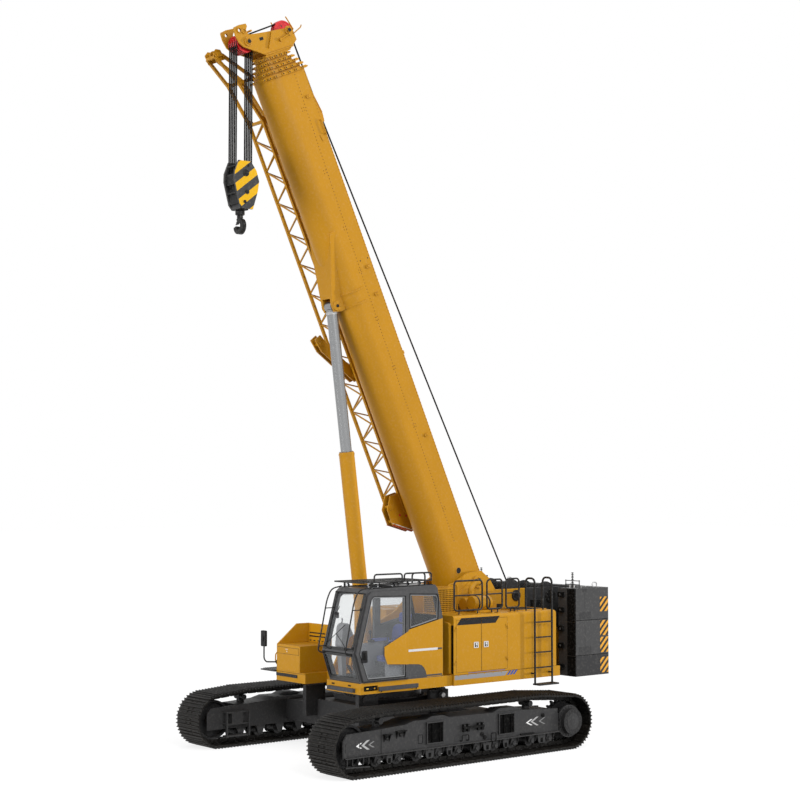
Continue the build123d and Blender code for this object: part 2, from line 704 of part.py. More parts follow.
LADDER_X = 1600.0
LADDER_Y = (2415.0, 2870.0)
RUNGS = (1445.0, 1735.0, 2020.0, 2310.0)
LADDER_FOOT = 1140.0
LADDER_TOP = 3145.0
STANDOFF_Z = 1335.0
HOOP_REACH = 250.0              # from a stile in over the roof
HOOP_BEND = 90.0
with BuildPart() as ladder:
    for y in LADDER_Y:
        with BuildLine() as stile:
            FilletPolyline(
                (LADDER_X, y, LADDER_FOOT), (LADDER_X, y, LADDER_TOP), (LADDER_X - HOOP_REACH, y, LADDER_TOP),
                (LADDER_X - HOOP_REACH, y, HOUSE_TOP), radius=HOOP_BEND,
            )
        with BuildSketch(Plane(origin=(LADDER_X, y, LADDER_FOOT))):
            Circle(20)
        sweep(path=stile.line)
        add(rod((LADDER_X, y, STANDOFF_Z), (HOUSE_X, y, STANDOFF_Z), 16))
    for z in RUNGS:
        add(rod((LADDER_X, LADDER_Y[0], z), (LADDER_X, LADDER_Y[1], z), 14))
    add(
        block(
            (LADDER_X - 30, LADDER_X + 160), (LADDER_Y[0] - 30, LADDER_Y[1] + 30),
            (LADDER_FOOT - 20, LADDER_FOOT + 10),
        )
    )
save(ladder, "ladder")

# ------------------------------------------------------------------ cab
# side profile of the cab: y, z
CAB_BOTTOM = DECK_TOP + RUN
CAB_PROFILE = (
    (-1680, CAB_BOTTOM), (-1860, 1950), (-1560, 3010), (-1470, 3080), (30, 3110), (90, 3050), (220, 2490),
    (220, CAB_BOTTOM),
)


def cab_prism(x0, x1, inset):
    """The cab's profile, set in by a distance, between two x values."""
    with BuildPart() as piece:
        with BuildSketch(SIDE.offset(x0)):
            with BuildLine():
                Polyline(*CAB_PROFILE, close=True)
            make_face()
            if inset:
                offset(amount=-inset, kind=Kind.INTERSECTION)
        extrude(amount=x1 - x0)
    return piece.part


# windows in the side walls: y, z
REAR_SIDE_WINDOW = ((-560, 2340), (-560, 2960), (80, 2930), (110, 2860), (100, 2480))
DOOR_WINDOW = ((-1560, 1500), (-1740, 1960), (-1480, 2900), (-1420, 2950), (-700, 2930), (-700, 1500))
DOOR_OUTLINE = (
    (-1640, 1450), (-1790, 1900), (-1820, 1960), (-1545, 2960), (-1470, 3030), (-630, 3040), (-630, 1450),
)
FRONT_TOP_WINDOW = (2050, 2990)     # z limits
FRONT_LOW_WINDOW = (1500, 1900)
CAB_IN_X = CAB_X - CAB_WIDTH
CAB_FLOOR = CAB_BOTTOM + CAB_WALL + RUN
WINDOW_MARGIN = 60.0
REAR_WINDOW = (2540.0, 2980.0)      # z limits
DOOR_X = CAB_X + DOOR_GAP       # inner face of the sliding door
DOOR_RAILS = (1460.0, 1930.0)   # undersides of its rails


def front_panel(z0, z1, depth0, depth1, x0, x1):
    """Solid that follows the cab's front face between two heights, from one depth to another."""
    lower, middle, upper = CAB_PROFILE[0], CAB_PROFILE[1], CAB_PROFILE[2]
    a, b = (lower, middle) if z1 < middle[1] else (middle, upper)

    def at(z):
        return a[0] + (z - a[1]) / (b[1] - a[1]) * (b[0] - a[0])

    return prism(
        ((at(z0) + depth0, z0), (at(z0) + depth1, z0), (at(z1) + depth1, z1), (at(z1) + depth0, z1)),
        SIDE.offset((x0 + x1) / 2), (x1 - x0) / 2,
    )


with BuildPart() as cab:
    add(cab_prism(CAB_IN_X, CAB_X, 0))
    add(cab_prism(CAB_IN_X + CAB_WALL, CAB_X - CAB_WALL, CAB_WALL), mode=Mode.SUBTRACT)
    x0, x1 = CAB_IN_X + WINDOW_MARGIN, CAB_X - WINDOW_MARGIN
    add(front_panel(*FRONT_TOP_WINDOW, -200, 90, x0, x1), mode=Mode.SUBTRACT)
    add(front_panel(*FRONT_LOW_WINDOW, -200, 90, x0, x1), mode=Mode.SUBTRACT)
    # door opening and rear side window on the left, windows on the right
    add(prism(DOOR_WINDOW, SIDE.offset(CAB_X), CAB_WALL + 1), mode=Mode.SUBTRACT)
    add(prism(REAR_SIDE_WINDOW, SIDE.offset(CAB_X), CAB_WALL + 1), mode=Mode.SUBTRACT)
    add(prism(REAR_SIDE_WINDOW, SIDE.offset(CAB_IN_X), CAB_WALL + 1), mode=Mode.SUBTRACT)
    add(prism(DOOR_WINDOW, SIDE.offset(CAB_IN_X), CAB_WALL + 1), mode=Mode.SUBTRACT)
    # rear window and roof window
    add(block((x0 + 60, x1 - 60), (0, 300), REAR_WINDOW), mode=Mode.SUBTRACT)
    add(block((x0 + 60, x1 - 60), (-1250, -650), (2990, 3200)), mode=Mode.SUBTRACT)
    # rails that the sliding door runs on
    for z in DOOR_RAILS:
        add(block((CAB_X - 1, DOOR_X - RUN), (-690, 195), (z, z + 30)))
save(cab, "cab_shell")

with BuildPart() as cab_glass:
    add(front_panel(*FRONT_TOP_WINDOW, 20, 20 + GLASS, x0, x1))
    add(front_panel(*FRONT_LOW_WINDOW, 20, 20 + GLASS, x0, x1))
    for x, outline in (
        (CAB_X - 20, REAR_SIDE_WINDOW), (CAB_IN_X + 20, REAR_SIDE_WINDOW), (CAB_IN_X + 20, DOOR_WINDOW),
    ):
        add(prism(outline, SIDE.offset(x), GLASS / 2))
    add(
        prism(
            (
                (205, REAR_WINDOW[0]), (197, REAR_WINDOW[0]), (102, REAR_WINDOW[1]), (110, REAR_WINDOW[1]),
            ),
            SIDE.offset((x0 + x1) / 2), (x1 - x0) / 2 - 60,
        )
    )
    add(block((x0 + 60, x1 - 60), (-1250, -650), (3050, 3050 + GLASS)))
save(cab_glass, "cab_glass")

with BuildPart() as cab_door:
    middle_plane = SIDE.offset(DOOR_X + DOOR_THICK / 2)
    add(prism(DOOR_OUTLINE, middle_plane, DOOR_THICK / 2))
    add(prism(DOOR_WINDOW, middle_plane, DOOR_THICK), mode=Mode.SUBTRACT)
save(cab_door, "cab_door")

with BuildPart() as door_glass:
    add(prism(DOOR_WINDOW, middle_plane, GLASS / 2))
save(door_glass, "door_glass")

with BuildPart() as seat:
    add(block((800, 1240), (-760, -300), (CAB_FLOOR, 1700)))
    add(block((780, 1260), (-860, -330), (1700, 1880)))
    add(prism(((-420, 1880), (-300, 2420), (-190, 2420), (-330, 1880)), SIDE.offset(1020), 230))
    add(prism(((-310, 2420), (-270, 2640), (-180, 2640), (-200, 2420)), SIDE.offset(1020), 140))
save(seat, "operator_seat")

with BuildPart() as console:
    add(block((650, 780), (-1250, -500), (CAB_FLOOR, 2050)))
    add(block((1270, 1380), (-1000, -500), (CAB_FLOOR, 2020)))
    screen = ((-1600, 1900), (-1560, 2330), (-1500, 2330), (-1480, CAB_FLOOR), (-1560, CAB_FLOOR))
    add(prism(screen, SIDE.offset(700), 60))
save(console, "control_console")

# front guard's bends: y, z
GUARD_BENDS = ((-1480, 3088), (-1700, 3060), (-1800, 2860), (-2000, 1950), (-1845, 1930))
GUARD_TUBE = 14.0
with BuildPart() as cab_guards:
    for x in (600, 1380):
        for y in (-1400, -150):
            add(block((x - 15, x + 15), (y - 15, y + 15), (3060, 3180)))
    add(block((580, 1400), (-1620, -100), (3180, 3205)))
    for y0, y1 in ((-1320, -697), (-627, -10)):
        for y in (y0, y1):
            add(rod((1380, y, 3190), (1380, y, 3330), GUARD_TUBE))
        add(rod((1380, y0 - 20, 3330), (1380, y1 + 20, 3330), GUARD_TUBE + 2))
    for x in (600, 1400):
        for (y0, z0), (y1, z1) in zip(GUARD_BENDS, GUARD_BENDS[1:]):
            add(rod((x, y0, z0), (x, y1, z1), GUARD_TUBE))
        for y, z in GUARD_BENDS[1:-1]:
            with Locations((x, y, z)):
                Sphere(GUARD_TUBE)
    add(cab.part, mode=Mode.SUBTRACT)
save(cab_guards, "cab_guards")

with BuildPart() as mirror:
    add(rod((BIN["x"][0], -1480, 1560), (-1850, -1480, 1560), GUARD_TUBE))
    add(rod((-1850, -1480, 1535), (-1850, -1480, 1840), GUARD_TUBE))
    add(block((-1940, -1780), (-1505, -1455), (1830, 2140)))
save(mirror, "mirror")

# ------------------------------------------------------------------ boom
def u_outline(half, depth, top, sweep_z):
    """Flat top and sides on a round bottom, in (x, up), in the current line context."""
    left = (-half, sweep_z)
    right = (half, sweep_z)
    Polyline(left, (-half, top), (half, top), right)
    ThreePointArc(right, (0, top - depth), left)


def u_bar(half, depth, top, sweep_z, start, end):
    """Solid bar of the boom's section between two places along it."""
    with BuildPart() as bar:
        with BuildSketch(boom_cross(start)):
            with BuildLine():
                u_outline(half, depth, top, sweep_z)
            make_face()
        extrude(amount=end - start)
    return bar.part


def make_section(i):
    """One boom section: a hollow bar with its front collar."""
    _, half, depth, start, end = SECTIONS[i]
    top = BOOM_TOP - i * SECTION_STEP
    bend = top - depth + half           # where the sides turn into the round bottom
    rise = COLLAR_RISE - i * 4
    wall = SECTION_WALL
    with BuildPart() as section:
        add(u_bar(half, depth, top, bend, start, end))
        add(u_bar(half + rise, depth + rise + COLLAR_DROP, top + rise, bend, end - COLLAR, end))
        if i == 0:
            add(cross_rod(*BOOM_PIVOT, -PIVOT_BOSS_X, PIVOT_BOSS_X, 130))
        inner = u_bar(half - wall, depth - 2 * wall, top - wall, bend, start - 1, end - COLLAR)
        add(inner, mode=Mode.SUBTRACT)
        if i + 1 < len(SECTIONS):
            # the collar and its pads close down to the next section
            inset = SECTION_STEP - RUN
            mouth = u_bar(half - inset, depth - 2 * inset, top - inset, bend, start, end + 1)
            add(mouth, mode=Mode.SUBTRACT)
    return section.part


PIVOT_BOSS_X = 380.0
# wedge that carries the rod's eye: along, down
WEDGE_PROFILE = ((5960, 500), (5960, 700), (6010, 850), (6160, 850), (7400, 470), (7400, 300))
WEDGE_TIP_X = 170.0             # half width at the eye
EYE_POCKET_X = 115.0
EYE_PIN = 50.0
# rope guide's side arms on the boom's back: along, down
GUIDE_ARM = ((9330, -380), (9330, -440), (9480, -460), (10400, -300), (10400, -220), (10250, -220))
GUIDE_ROLLER = (9420.0, -400.0)     # along, down
GUIDE_X = (0.0, 120.0)          # middles of the two arms
GUIDE_ARM_HALF = 10.0
GUIDE_PIN = 12.0
GUIDE_RADIUS = 35.0
JIB_HANGERS = (2600.0, 8600.0)  # along, where the jib is pinned to the boom's side
JIB_INNER_X = -450.0
JIB_CHORD = 26.0                # half width of a chord


def make_wedge():
    """Tapered bracket under the boom, pocketed for the rod's eye."""
    half = SECTIONS[0][1]
    under = Plane(origin=boom_cross(0).origin, x_dir=BOOM_DIR, z_dir=(0, -BOOM_DIR[2], BOOM_DIR[1]))
    # seen from below: along, across
    plan = (
        (5900, -WEDGE_TIP_X), (6200, -WEDGE_TIP_X), (7400, -half), (7400, half), (6200, WEDGE_TIP_X),
        (5900, WEDGE_TIP_X),
    )
    pocket = ((5900, 655), (5900, 900), (6260, 900), (6260, 655))
    wedge = prism(WEDGE_PROFILE, boom_side(), half) & prism(plan, under, 1000)
    return wedge - prism(pocket, boom_side(), EYE_POCKET_X)


eye = boom_point(EYE_ALONG, EYE_DOWN)
with BuildPart() as boom_base:
    base = SECTIONS[0]
    add(make_wedge())
    add(cross_rod(*eye, -WEDGE_TIP_X - 5, WEDGE_TIP_X + 5, EYE_PIN))
    wall = SECTION_WALL
    bend = BOOM_TOP - base[2] + base[1]
    add(
        u_bar(base[1] - wall, base[2] - 2 * wall, BOOM_TOP - wall, bend, base[3] - 1, base[4] - COLLAR),
        mode=Mode.SUBTRACT,
    )
    add(make_section(0))
    for x in GUIDE_X:
        add(prism(GUIDE_ARM, boom_side(x), GUIDE_ARM_HALF))
    add(cross_rod(*boom_point(*GUIDE_ROLLER), *GUIDE_X, GUIDE_PIN))
    for along in JIB_HANGERS:
        outline = ((along, -60), (along + 120, -60), (along + 120, 0), (along, 0))
        side_x = SECTIONS[0][1] - SECTION_WALL / 2
        reach = -JIB_INNER_X - JIB_CHORD
        add(prism(outline, boom_side(-(side_x + reach) / 2), (reach - side_x) / 2))
    add(cross_rod(*BOOM_PIVOT, -PIVOT_BOSS_X - 1, PIVOT_BOSS_X + 1, PIVOT_PIN + SEAT), mode=Mode.SUBTRACT)
save(boom_base, SECTIONS[0][0])

for i in range(1, len(SECTIONS)):
    with BuildPart() as section:
        add(make_section(i))
    save(section, SECTIONS[i][0])

# ------------------------------------------------------------------ luffing cylinder
foot_at = Vector(0, *CYLINDER_FOOT)
eye_at = Vector(0, *eye)
stroke_dir = (eye_at - foot_at).normalized()


def stroke_point(distance):
    """Point on the cylinder's axis at a distance from its foot."""
    return tuple(foot_at + stroke_dir * distance)


CYLINDER_LENGTH = (eye_at - foot_at).length
ROD_LENGTH = 3400.0
FOOT_BOSS = 130.0
EYE_BOSS = 100.0
with BuildPart() as barrel:
    add(rod(stroke_point(60), stroke_point(BARREL_LENGTH), BARREL_RADIUS))
    add(cross_rod(*CYLINDER_FOOT, -150, 150, FOOT_BOSS))
    add(rod(stroke_point(200), stroke_point(BARREL_LENGTH + 5), ROD_RADIUS + RUN), mode=Mode.SUBTRACT)
save(barrel, "luff_cylinder_barrel")

with BuildPart() as luff_rod:
    add(rod(stroke_point(CYLINDER_LENGTH - ROD_LENGTH), stroke_point(CYLINDER_LENGTH - 60), ROD_RADIUS))
    add(cross_rod(*eye, -EYE_BOSS, EYE_BOSS, EYE_BOSS))
    add(cross_rod(*eye, -EYE_BOSS - 1, EYE_BOSS + 1, EYE_PIN + SEAT), mode=Mode.SUBTRACT)
save(luff_rod, "luff_cylinder_rod")

# ------------------------------------------------------------------ boom head
HEAD_AXLE_RADIUS = 45.0
JIB_PIN = (11368.0, 790.0)      # along, down
JIB_PIN_RADIUS = 32.0
HEAD_PROFILE = (
    (10760, -150), (10760, 330), (10900, 540), (11060, 800), (11150, 870), (11300, 900), (11425, 890),
    (11440, 610), (11400, 590), (11330, 650), (11245, 620), (11200, 250), (11150, -250), (11110, -370),
    (10900, -380), (10840, -290),
)
with BuildPart() as head:
    for side in (-1, 1):
        add(prism(HEAD_PROFILE, boom_side(side * HEAD_PLATE_X), HEAD_PLATE / 2))
    add(prism(((10760, -170), (10800, -170), (10800, 420), (10760, 420)), boom_side(), HEAD_PLATE_X + 15))
    for along, down in (HEAD_AXLE, REAR_AXLE):
        add(cross_rod(*boom_point(along, down), -HEAD_PLATE_X - 60, HEAD_PLATE_X + 60, HEAD_AXLE_RADIUS))
    # holes that take the fly jib's pins
    pin_end = HEAD_PLATE_X + HEAD_PLATE
    add(cross_rod(*boom_point(*JIB_PIN), -pin_end, pin_end, JIB_PIN_RADIUS), mode=Mode.SUBTRACT)
save(head, "boom_head")

SHEAVE_STATIONS = [(k - (SHEAVE_COUNT - 1) / 2) * SHEAVE_PITCH for k in range(SHEAVE_COUNT)]
SHEAVE_HALF = SHEAVE_PITCH / 2 - 1


def sheave_stack(y, z, stations, radius):
    """Grooved sheaves side by side along X, each with a bore for its axle."""
    bore = HEAD_AXLE_RADIUS + SEAT
    groove = radius - GROOVE
    # half section of a sheave: across, out from the axle
    section = (
        (-SHEAVE_HALF, bore), (-SHEAVE_HALF, radius), (-18, radius), (-16, groove),
        (16, groove), (18, radius), (SHEAVE_HALF, radius), (SHEAVE_HALF, bore),
    )
    with BuildPart() as stack:
        for x in stations:
            with BuildSketch(Plane.XY.offset(z)):
                with BuildLine():
                    Polyline(*[(x + across, y + out) for across, out in section], close=True)
                make_face()
            revolve(axis=Axis((0, y, z), (1, 0, 0)))
    return stack


axle_y, axle_z = boom_point(*HEAD_AXLE)
rear_y, rear_z = boom_point(*REAR_AXLE)
save(sheave_stack(axle_y, axle_z, SHEAVE_STATIONS, HEAD_SHEAVE), "head_sheaves")
save(sheave_stack(rear_y, rear_z, (0.0, SHEAVE_PITCH), REAR_SHEAVE), "rear_sheaves")

# ------------------------------------------------------------------ hook block on its falls
FALL_OFFSET = HEAD_SHEAVE - GROOVE + RUN + ROPE_RADIUS
FALL_STATIONS = SHEAVE_STATIONS[:4]
BLOCK_AXLE_Z = axle_z - FALL_LENGTH - 180
with BuildPart() as falls:
    for x in FALL_STATIONS:
        for side in (-1, 1):
            y = axle_y + side * FALL_OFFSET
            add(rod((x, y, axle_z), (x, y, BLOCK_AXLE_Z), ROPE_RADIUS))
save(falls, "rope_falls")

BLOCK_FOOT = -640.0             # underside of the block, from its axle
# cheek outline from the block's axle: y, z
BLOCK_PROFILE = (
    (-150, 216), (110, 216), (230, 60), (285, -120), (260, -300), (155, BLOCK_FOOT), (-60, BLOCK_FOOT),
    (-130, -560), (-240, -150), (-235, 0),
)
with BuildPart() as hook_block:
    outline = [(axle_y + y, BLOCK_AXLE_Z + z) for y, z in BLOCK_PROFILE]
    for side in (-1, 1):
        add(prism(outline, SIDE.offset(side * 165), 20))
    add(
        block(
            (-150, 150), (axle_y - 90, axle_y + 90), (BLOCK_AXLE_Z + BLOCK_FOOT, BLOCK_AXLE_Z - 420),
        )
    )
    add(cross_rod(axle_y, BLOCK_AXLE_Z, -150, 150, 40))
    for x in FALL_STATIONS:
        add(cross_rod(axle_y, BLOCK_AXLE_Z, x - 27, x + 27, FALL_OFFSET - ROPE_RADIUS))
save(hook_block, "hook_block")

HOOK_Z = BLOCK_AXLE_Z + BLOCK_FOOT - RUN
HOOK_CENTRE = HOOK_Z - 300
HOOK_OUTER = 145.0
HOOK_INNER = 66.0
with BuildPart() as hook:
    add(rod((0, axle_y, HOOK_Z), (0, axle_y, HOOK_CENTRE + HOOK_INNER + 20), 38))
    with BuildSketch(Plane.XZ.offset(-axle_y)):
        with Locations((0, HOOK_CENTRE)):
            Circle(HOOK_OUTER)
            Circle(HOOK_INNER, mode=Mode.SUBTRACT)
        with BuildLine():
            Polyline(
                (-20, HOOK_CENTRE + 20), (-160, HOOK_CENTRE - 20), (-175, HOOK_CENTRE + 150),
                (-60, HOOK_CENTRE + 150), close=True,
            )
        make_face(mode=Mode.SUBTRACT)
    extrude(amount=42, both=True)
save(hook, "crane_hook")

# ------------------------------------------------------------------ roller of the rope guide
with BuildPart() as guide_roller:
    add(
        cross_rod(
            *boom_point(*GUIDE_ROLLER),
            GUIDE_X[0] + GUIDE_ARM_HALF + 5, GUIDE_X[1] - GUIDE_ARM_HALF - 5, GUIDE_RADIUS,
        )
    )
    add(cross_rod(*boom_point(*GUIDE_ROLLER), *GUIDE_X, GUIDE_PIN + RUN), mode=Mode.SUBTRACT)
save(guide_roller, "guide_roller")

# ------------------------------------------------------------------ hoist rope's long run
ROPE_SHARE = 0.88               # how much of the way to the winch moves with the boom
guide_y, guide_z = boom_point(GUIDE_ROLLER[0], GUIDE_ROLLER[1] - GUIDE_RADIUS - RUN - ROPE_RADIUS)
_, winch_y, winch_z, winch_drum, _ = WINCHES[0]
drop = Vector(0, winch_y + winch_drum - guide_y, winch_z - guide_z)
rope_x = (GUIDE_X[0] + GUIDE_X[1]) / 2
rope_end = (rope_x, guide_y + ROPE_SHARE * drop.Y, guide_z + ROPE_SHARE * drop.Z)
with BuildPart() as hoist_rope:
    add(rod((rope_x, guide_y, guide_z), rope_end, ROPE_RADIUS))
save(hoist_rope, "hoist_rope")

# ------------------------------------------------------------------ stowed lattice jib
# stations along the boom: along, down of the lower chords, down of the upper chords, inner x, outer x
JIB_START = 1700.0
JIB_END = 9700.0                # where the head's taper starts
JIB_STATIONS = (
    (JIB_START, 430, -40, JIB_INNER_X, -980), (4200, 430, -40, JIB_INNER_X, -980),
    (JIB_END, 470, 60, JIB_INNER_X, -900), (10500, 700, 350, JIB_INNER_X, -800),
    (11080, 1000, 850, JIB_INNER_X, -720),
)
JIB_BAYS = 26
JIB_LACING = 24.0               # width of a diagonal
# foot plates at the jib's lower end: along, down
JIB_FOOT = ((1290, 450), (1600, 820), (1920, 820), (2140, 640), (2100, 380), (1330, -60), (1290, 80))
JIB_FOOT_X = (JIB_INNER_X, JIB_INNER_X - 160)
JIB_FOOT_PINS = ((1640, 740), (1930, 700), (1400, 200))
# arm that the jib swings on, its two bars and its head: along, down
JIB_ARM = ((4480, 380), (4480, 470), (5300, 960), (5560, 1010), (5600, 860), (5400, 780), (4700, 380))
JIB_ARM_X = (-520.0, -660.0)
JIB_ARM_PINS = ((5440, 900), (4600, 430))


def jib_frame(along):
    """Chord places at a station, by straight runs between the jib's stations."""
    for low, high in zip(JIB_STATIONS, JIB_STATIONS[1:]):
        if along <= high[0]:
            break
    share = (along - low[0]) / (high[0] - low[0])
    lower, upper, inner, outer = (low[k] + share * (high[k] - low[k]) for k in (1, 2, 3, 4))
    return [(inner, lower), (outer, lower), (outer, upper), (inner, upper)]


def jib_point(along, corner):
    """World place of a chord at a station."""
    x, down = jib_frame(along)[corner]
    return (x, *boom_point(along, down))


def square_bar(start, end, width):
    """Square bar between two points."""
    path = Vector(*end) - Vector(*start)
    with BuildPart() as piece:
        with BuildSketch(Plane(origin=start, z_dir=path)):
            Rectangle(width, width)
        extrude(amount=path.length)
    return piece.part


with BuildPart() as jib:
    for corner in range(4):
        for low, high in zip(JIB_STATIONS, JIB_STATIONS[1:]):
            add(square_bar(jib_point(low[0], corner), jib_point(high[0], corner), 2 * JIB_CHORD))
    bay = (JIB_END - JIB_START) / JIB_BAYS
    for k in range(JIB_BAYS):
        a = JIB_START + k * bay
        for corner in range(4):
            turn = (k + corner) % 2
            start = jib_point(a, (corner + turn) % 4)
            end = jib_point(a + bay, (corner + 1 - turn) % 4)
            add(square_bar(start, end, JIB_LACING))
    for a in (JIB_START, *[station[0] for station in JIB_STATIONS[2:]]):
        for corner in range(4):
            add(square_bar(jib_point(a, corner), jib_point(a, (corner + 1) % 4), 50))
    # foot plates and swing arm, each a pair of plates on cross pins
    for outline, stations, half, pins, radius in (
        (JIB_FOOT, JIB_FOOT_X, 12, JIB_FOOT_PINS, 36),
        (JIB_ARM, JIB_ARM_X, 14, JIB_ARM_PINS, 45),
    ):
        for x in stations:
            add(prism(outline, boom_side(x), half))
        for place in pins:
            add(cross_rod(*boom_point(*place), stations[1] - 30, stations[0] + 30, radius))
save(jib, "fly_jib")
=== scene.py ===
"""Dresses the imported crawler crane: finishes, fine pieces, light and camera.

All lengths are metres in the model's own frame: -Y is forward, +X the
machine's left (its cab's side), +Z up, with the origin on the ground under
the slewing axis.
"""
from __future__ import annotations

import logging
import math
from dataclasses import dataclass, field
from enum import Enum
from typing import Sequence

import bmesh
import bpy
import numpy as np
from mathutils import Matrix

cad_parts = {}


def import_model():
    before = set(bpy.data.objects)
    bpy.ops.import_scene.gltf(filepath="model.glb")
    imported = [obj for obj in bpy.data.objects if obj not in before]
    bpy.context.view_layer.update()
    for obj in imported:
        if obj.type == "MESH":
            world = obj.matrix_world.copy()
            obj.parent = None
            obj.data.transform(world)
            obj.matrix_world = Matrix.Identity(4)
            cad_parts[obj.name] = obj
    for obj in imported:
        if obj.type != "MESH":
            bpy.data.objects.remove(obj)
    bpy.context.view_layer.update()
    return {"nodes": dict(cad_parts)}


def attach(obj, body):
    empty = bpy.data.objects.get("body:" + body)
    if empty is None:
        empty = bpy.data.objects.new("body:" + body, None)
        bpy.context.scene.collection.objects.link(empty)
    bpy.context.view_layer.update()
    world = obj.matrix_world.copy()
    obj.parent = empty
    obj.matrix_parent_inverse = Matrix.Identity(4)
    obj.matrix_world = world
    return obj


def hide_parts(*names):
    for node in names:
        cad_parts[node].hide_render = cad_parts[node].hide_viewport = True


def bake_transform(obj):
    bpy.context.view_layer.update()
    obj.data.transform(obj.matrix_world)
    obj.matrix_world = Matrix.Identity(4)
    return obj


LOG = logging.getLogger("scene")

Point = Sequence[float]

# ----------------------------------------------------------------- the boom's own frame
PIVOT = np.array((0.0, 1.980, 3.050))
LUFF = math.radians(65.2)
ALONG = np.array((0.0, -math.cos(LUFF), math.sin(LUFF)))
DOWN = np.array((0.0, -math.sin(LUFF), -math.cos(LUFF)))
EAST = np.array((1.0, 0.0, 0.0))
NORTH = np.array((0.0, 1.0, 0.0))
UP = np.array((0.0, 0.0, 1.0))
BOOM_HALF = 0.340
BOOM_TOP = 0.227


def boom_at(x: float, along: float, down: float) -> np.ndarray:
    """World place of a point given across, along and below the boom's pivot line.

    Args:
        x: Distance to the machine's left.
        along: Distance from the pivot towards the tip.
        down: Distance below the pivot line.

    Returns:
        The point as an array of three lengths.
    """
    return PIVOT + x * EAST + along * ALONG + down * DOWN


# ----------------------------------------------------------------- finishes
class Pattern(Enum):
    """Regular relief that a finish may carry."""

    NONE = 0
    WEAVE = 1
    STRANDS = 2
    BRUSHED = 3
    STRIPES = 4


@dataclass(frozen=True)
class Finish:
    """Look of one material, in linear colour and metres."""

    name: str
    color: tuple[float, float, float]
    roughness: float = 0.45
    metallic: float = 0.0
    coat: float = 0.0
    mottle: float = 0.06
    grain: float = 900.0
    relief: float = 0.00004
    edge: tuple[float, float, float] | None = None
    edge_reach: float = 0.006
    edge_amount: float = 0.5
    dust: float = 0.0
    dust_color: tuple[float, float, float] = (0.30, 0.24, 0.17)
    dust_top: float = 1.6
    sheen: float = 0.0
    specular: float = 0.5
    pattern: Pattern = Pattern.NONE
    second: tuple[float, float, float] = (0.0, 0.0, 0.0)
    pitch: float = 0.1
    tilt: tuple[float, float, float] = (0.0, 1.0, 1.0)
    phase: float = 0.0
    sides_only: bool = False

    def build(self) -> bpy.types.Material:
        """Make the node tree.

        Returns:
            The new material.
        """
        material = bpy.data.materials.new(self.name)
        material.use_nodes = True
        tree = Nodes(material.node_tree)
        shader = tree.node("ShaderNodeBsdfPrincipled")
        shader.inputs["Metallic"].default_value = self.metallic
        shader.inputs["Specular IOR Level"].default_value = self.specular
        shader.inputs["Coat Weight"].default_value = self.coat
        shader.inputs["Coat Roughness"].default_value = 0.12
        shader.inputs["Sheen Weight"].default_value = self.sheen
        place = tree.node("ShaderNodeTexCoord").outputs["Object"]
        broad = tree.noise(place, 1.7, 4.0)
        fine = tree.noise(place, 23.0, 6.0)
        base = self._base(tree, place)
        darker = tree.mix(tree.ramp(broad, 0.35, 0.70, 0.0, self.mottle), base, (0.0, 0.0, 0.0))
        paler = tree.mix(tree.ramp(fine, 0.50, 0.85, 0.0, self.mottle), darker, (0.85, 0.82, 0.76))
        color = paler
        rough = tree.ramp(fine, 0.30, 0.80, self.roughness * 0.86, min(1.0, self.roughness * 1.14))
        if self.edge is not None:
            worn = tree.edges(self.edge_reach, fine)
            color = tree.mix(tree.math("MULTIPLY", worn, self.edge_amount), color, self.edge)
        if self.dust > 0.0:
            settled = tree.dust(place, broad, fine, self.dust_top, self.dust)
            color = tree.mix(settled, color, self.dust_color)
            rough = tree.math("MAXIMUM", rough, tree.math("MULTIPLY", settled, 0.9))
        tree.link(color, shader.inputs["Base Color"])
        tree.link(rough, shader.inputs["Roughness"])
        tree.link(self._bump(tree, place), shader.inputs["Normal"])
        out = tree.node("ShaderNodeOutputMaterial")
        tree.link(shader.outputs["BSDF"], out.inputs["Surface"])
        return material

    def _base(self, tree: Nodes, place: bpy.types.NodeSocket) -> object:
        """Plain colour, or two colours in slanted stripes."""
        if self.pattern is not Pattern.STRIPES:
            return self.color
        across = tree.dot(place, self.tilt)
        share = tree.math("FRACT", tree.math("ADD", tree.math("DIVIDE", across, self.pitch), self.phase))
        stripes = tree.mix(tree.math("GREATER_THAN", share, 0.5), self.color, self.second)
        if not self.sides_only:
            return stripes
        facing = tree.node("ShaderNodeSeparateXYZ")
        tree.link(tree.node("ShaderNodeNewGeometry").outputs["Normal"], facing.inputs[0])
        sideways = tree.math("GREATER_THAN", tree.math("ABSOLUTE", facing.outputs["X"]), 0.7)
        reach = tree.node("ShaderNodeSeparateXYZ")
        tree.link(place, reach.inputs[0])
        outer = tree.math("GREATER_THAN", tree.math("ABSOLUTE", reach.outputs["X"]), 0.165)
        return tree.mix(tree.math("MULTIPLY", sideways, outer), self.second, stripes)

    def _bump(self, tree: Nodes, place: bpy.types.NodeSocket) -> bpy.types.NodeSocket:
        """Fine relief of the surface."""
        height = tree.noise(place, self.grain, 2.0)
        if self.pattern is Pattern.WEAVE:
            height = tree.weave(place, self.pitch)
        elif self.pattern is Pattern.BRUSHED:
            height = tree.noise(tree.scaled(place, (40.0, 40.0, 900.0)), 1.0, 2.0)
        elif self.pattern is Pattern.STRANDS:
            height = tree.strands(self.pitch)
        bump = tree.node("ShaderNodeBump")
        bump.inputs["Strength"].default_value = 0.6
        bump.inputs["Distance"].default_value = self.relief
        tree.link(height, bump.inputs["Height"])
        return bump.outputs["Normal"]


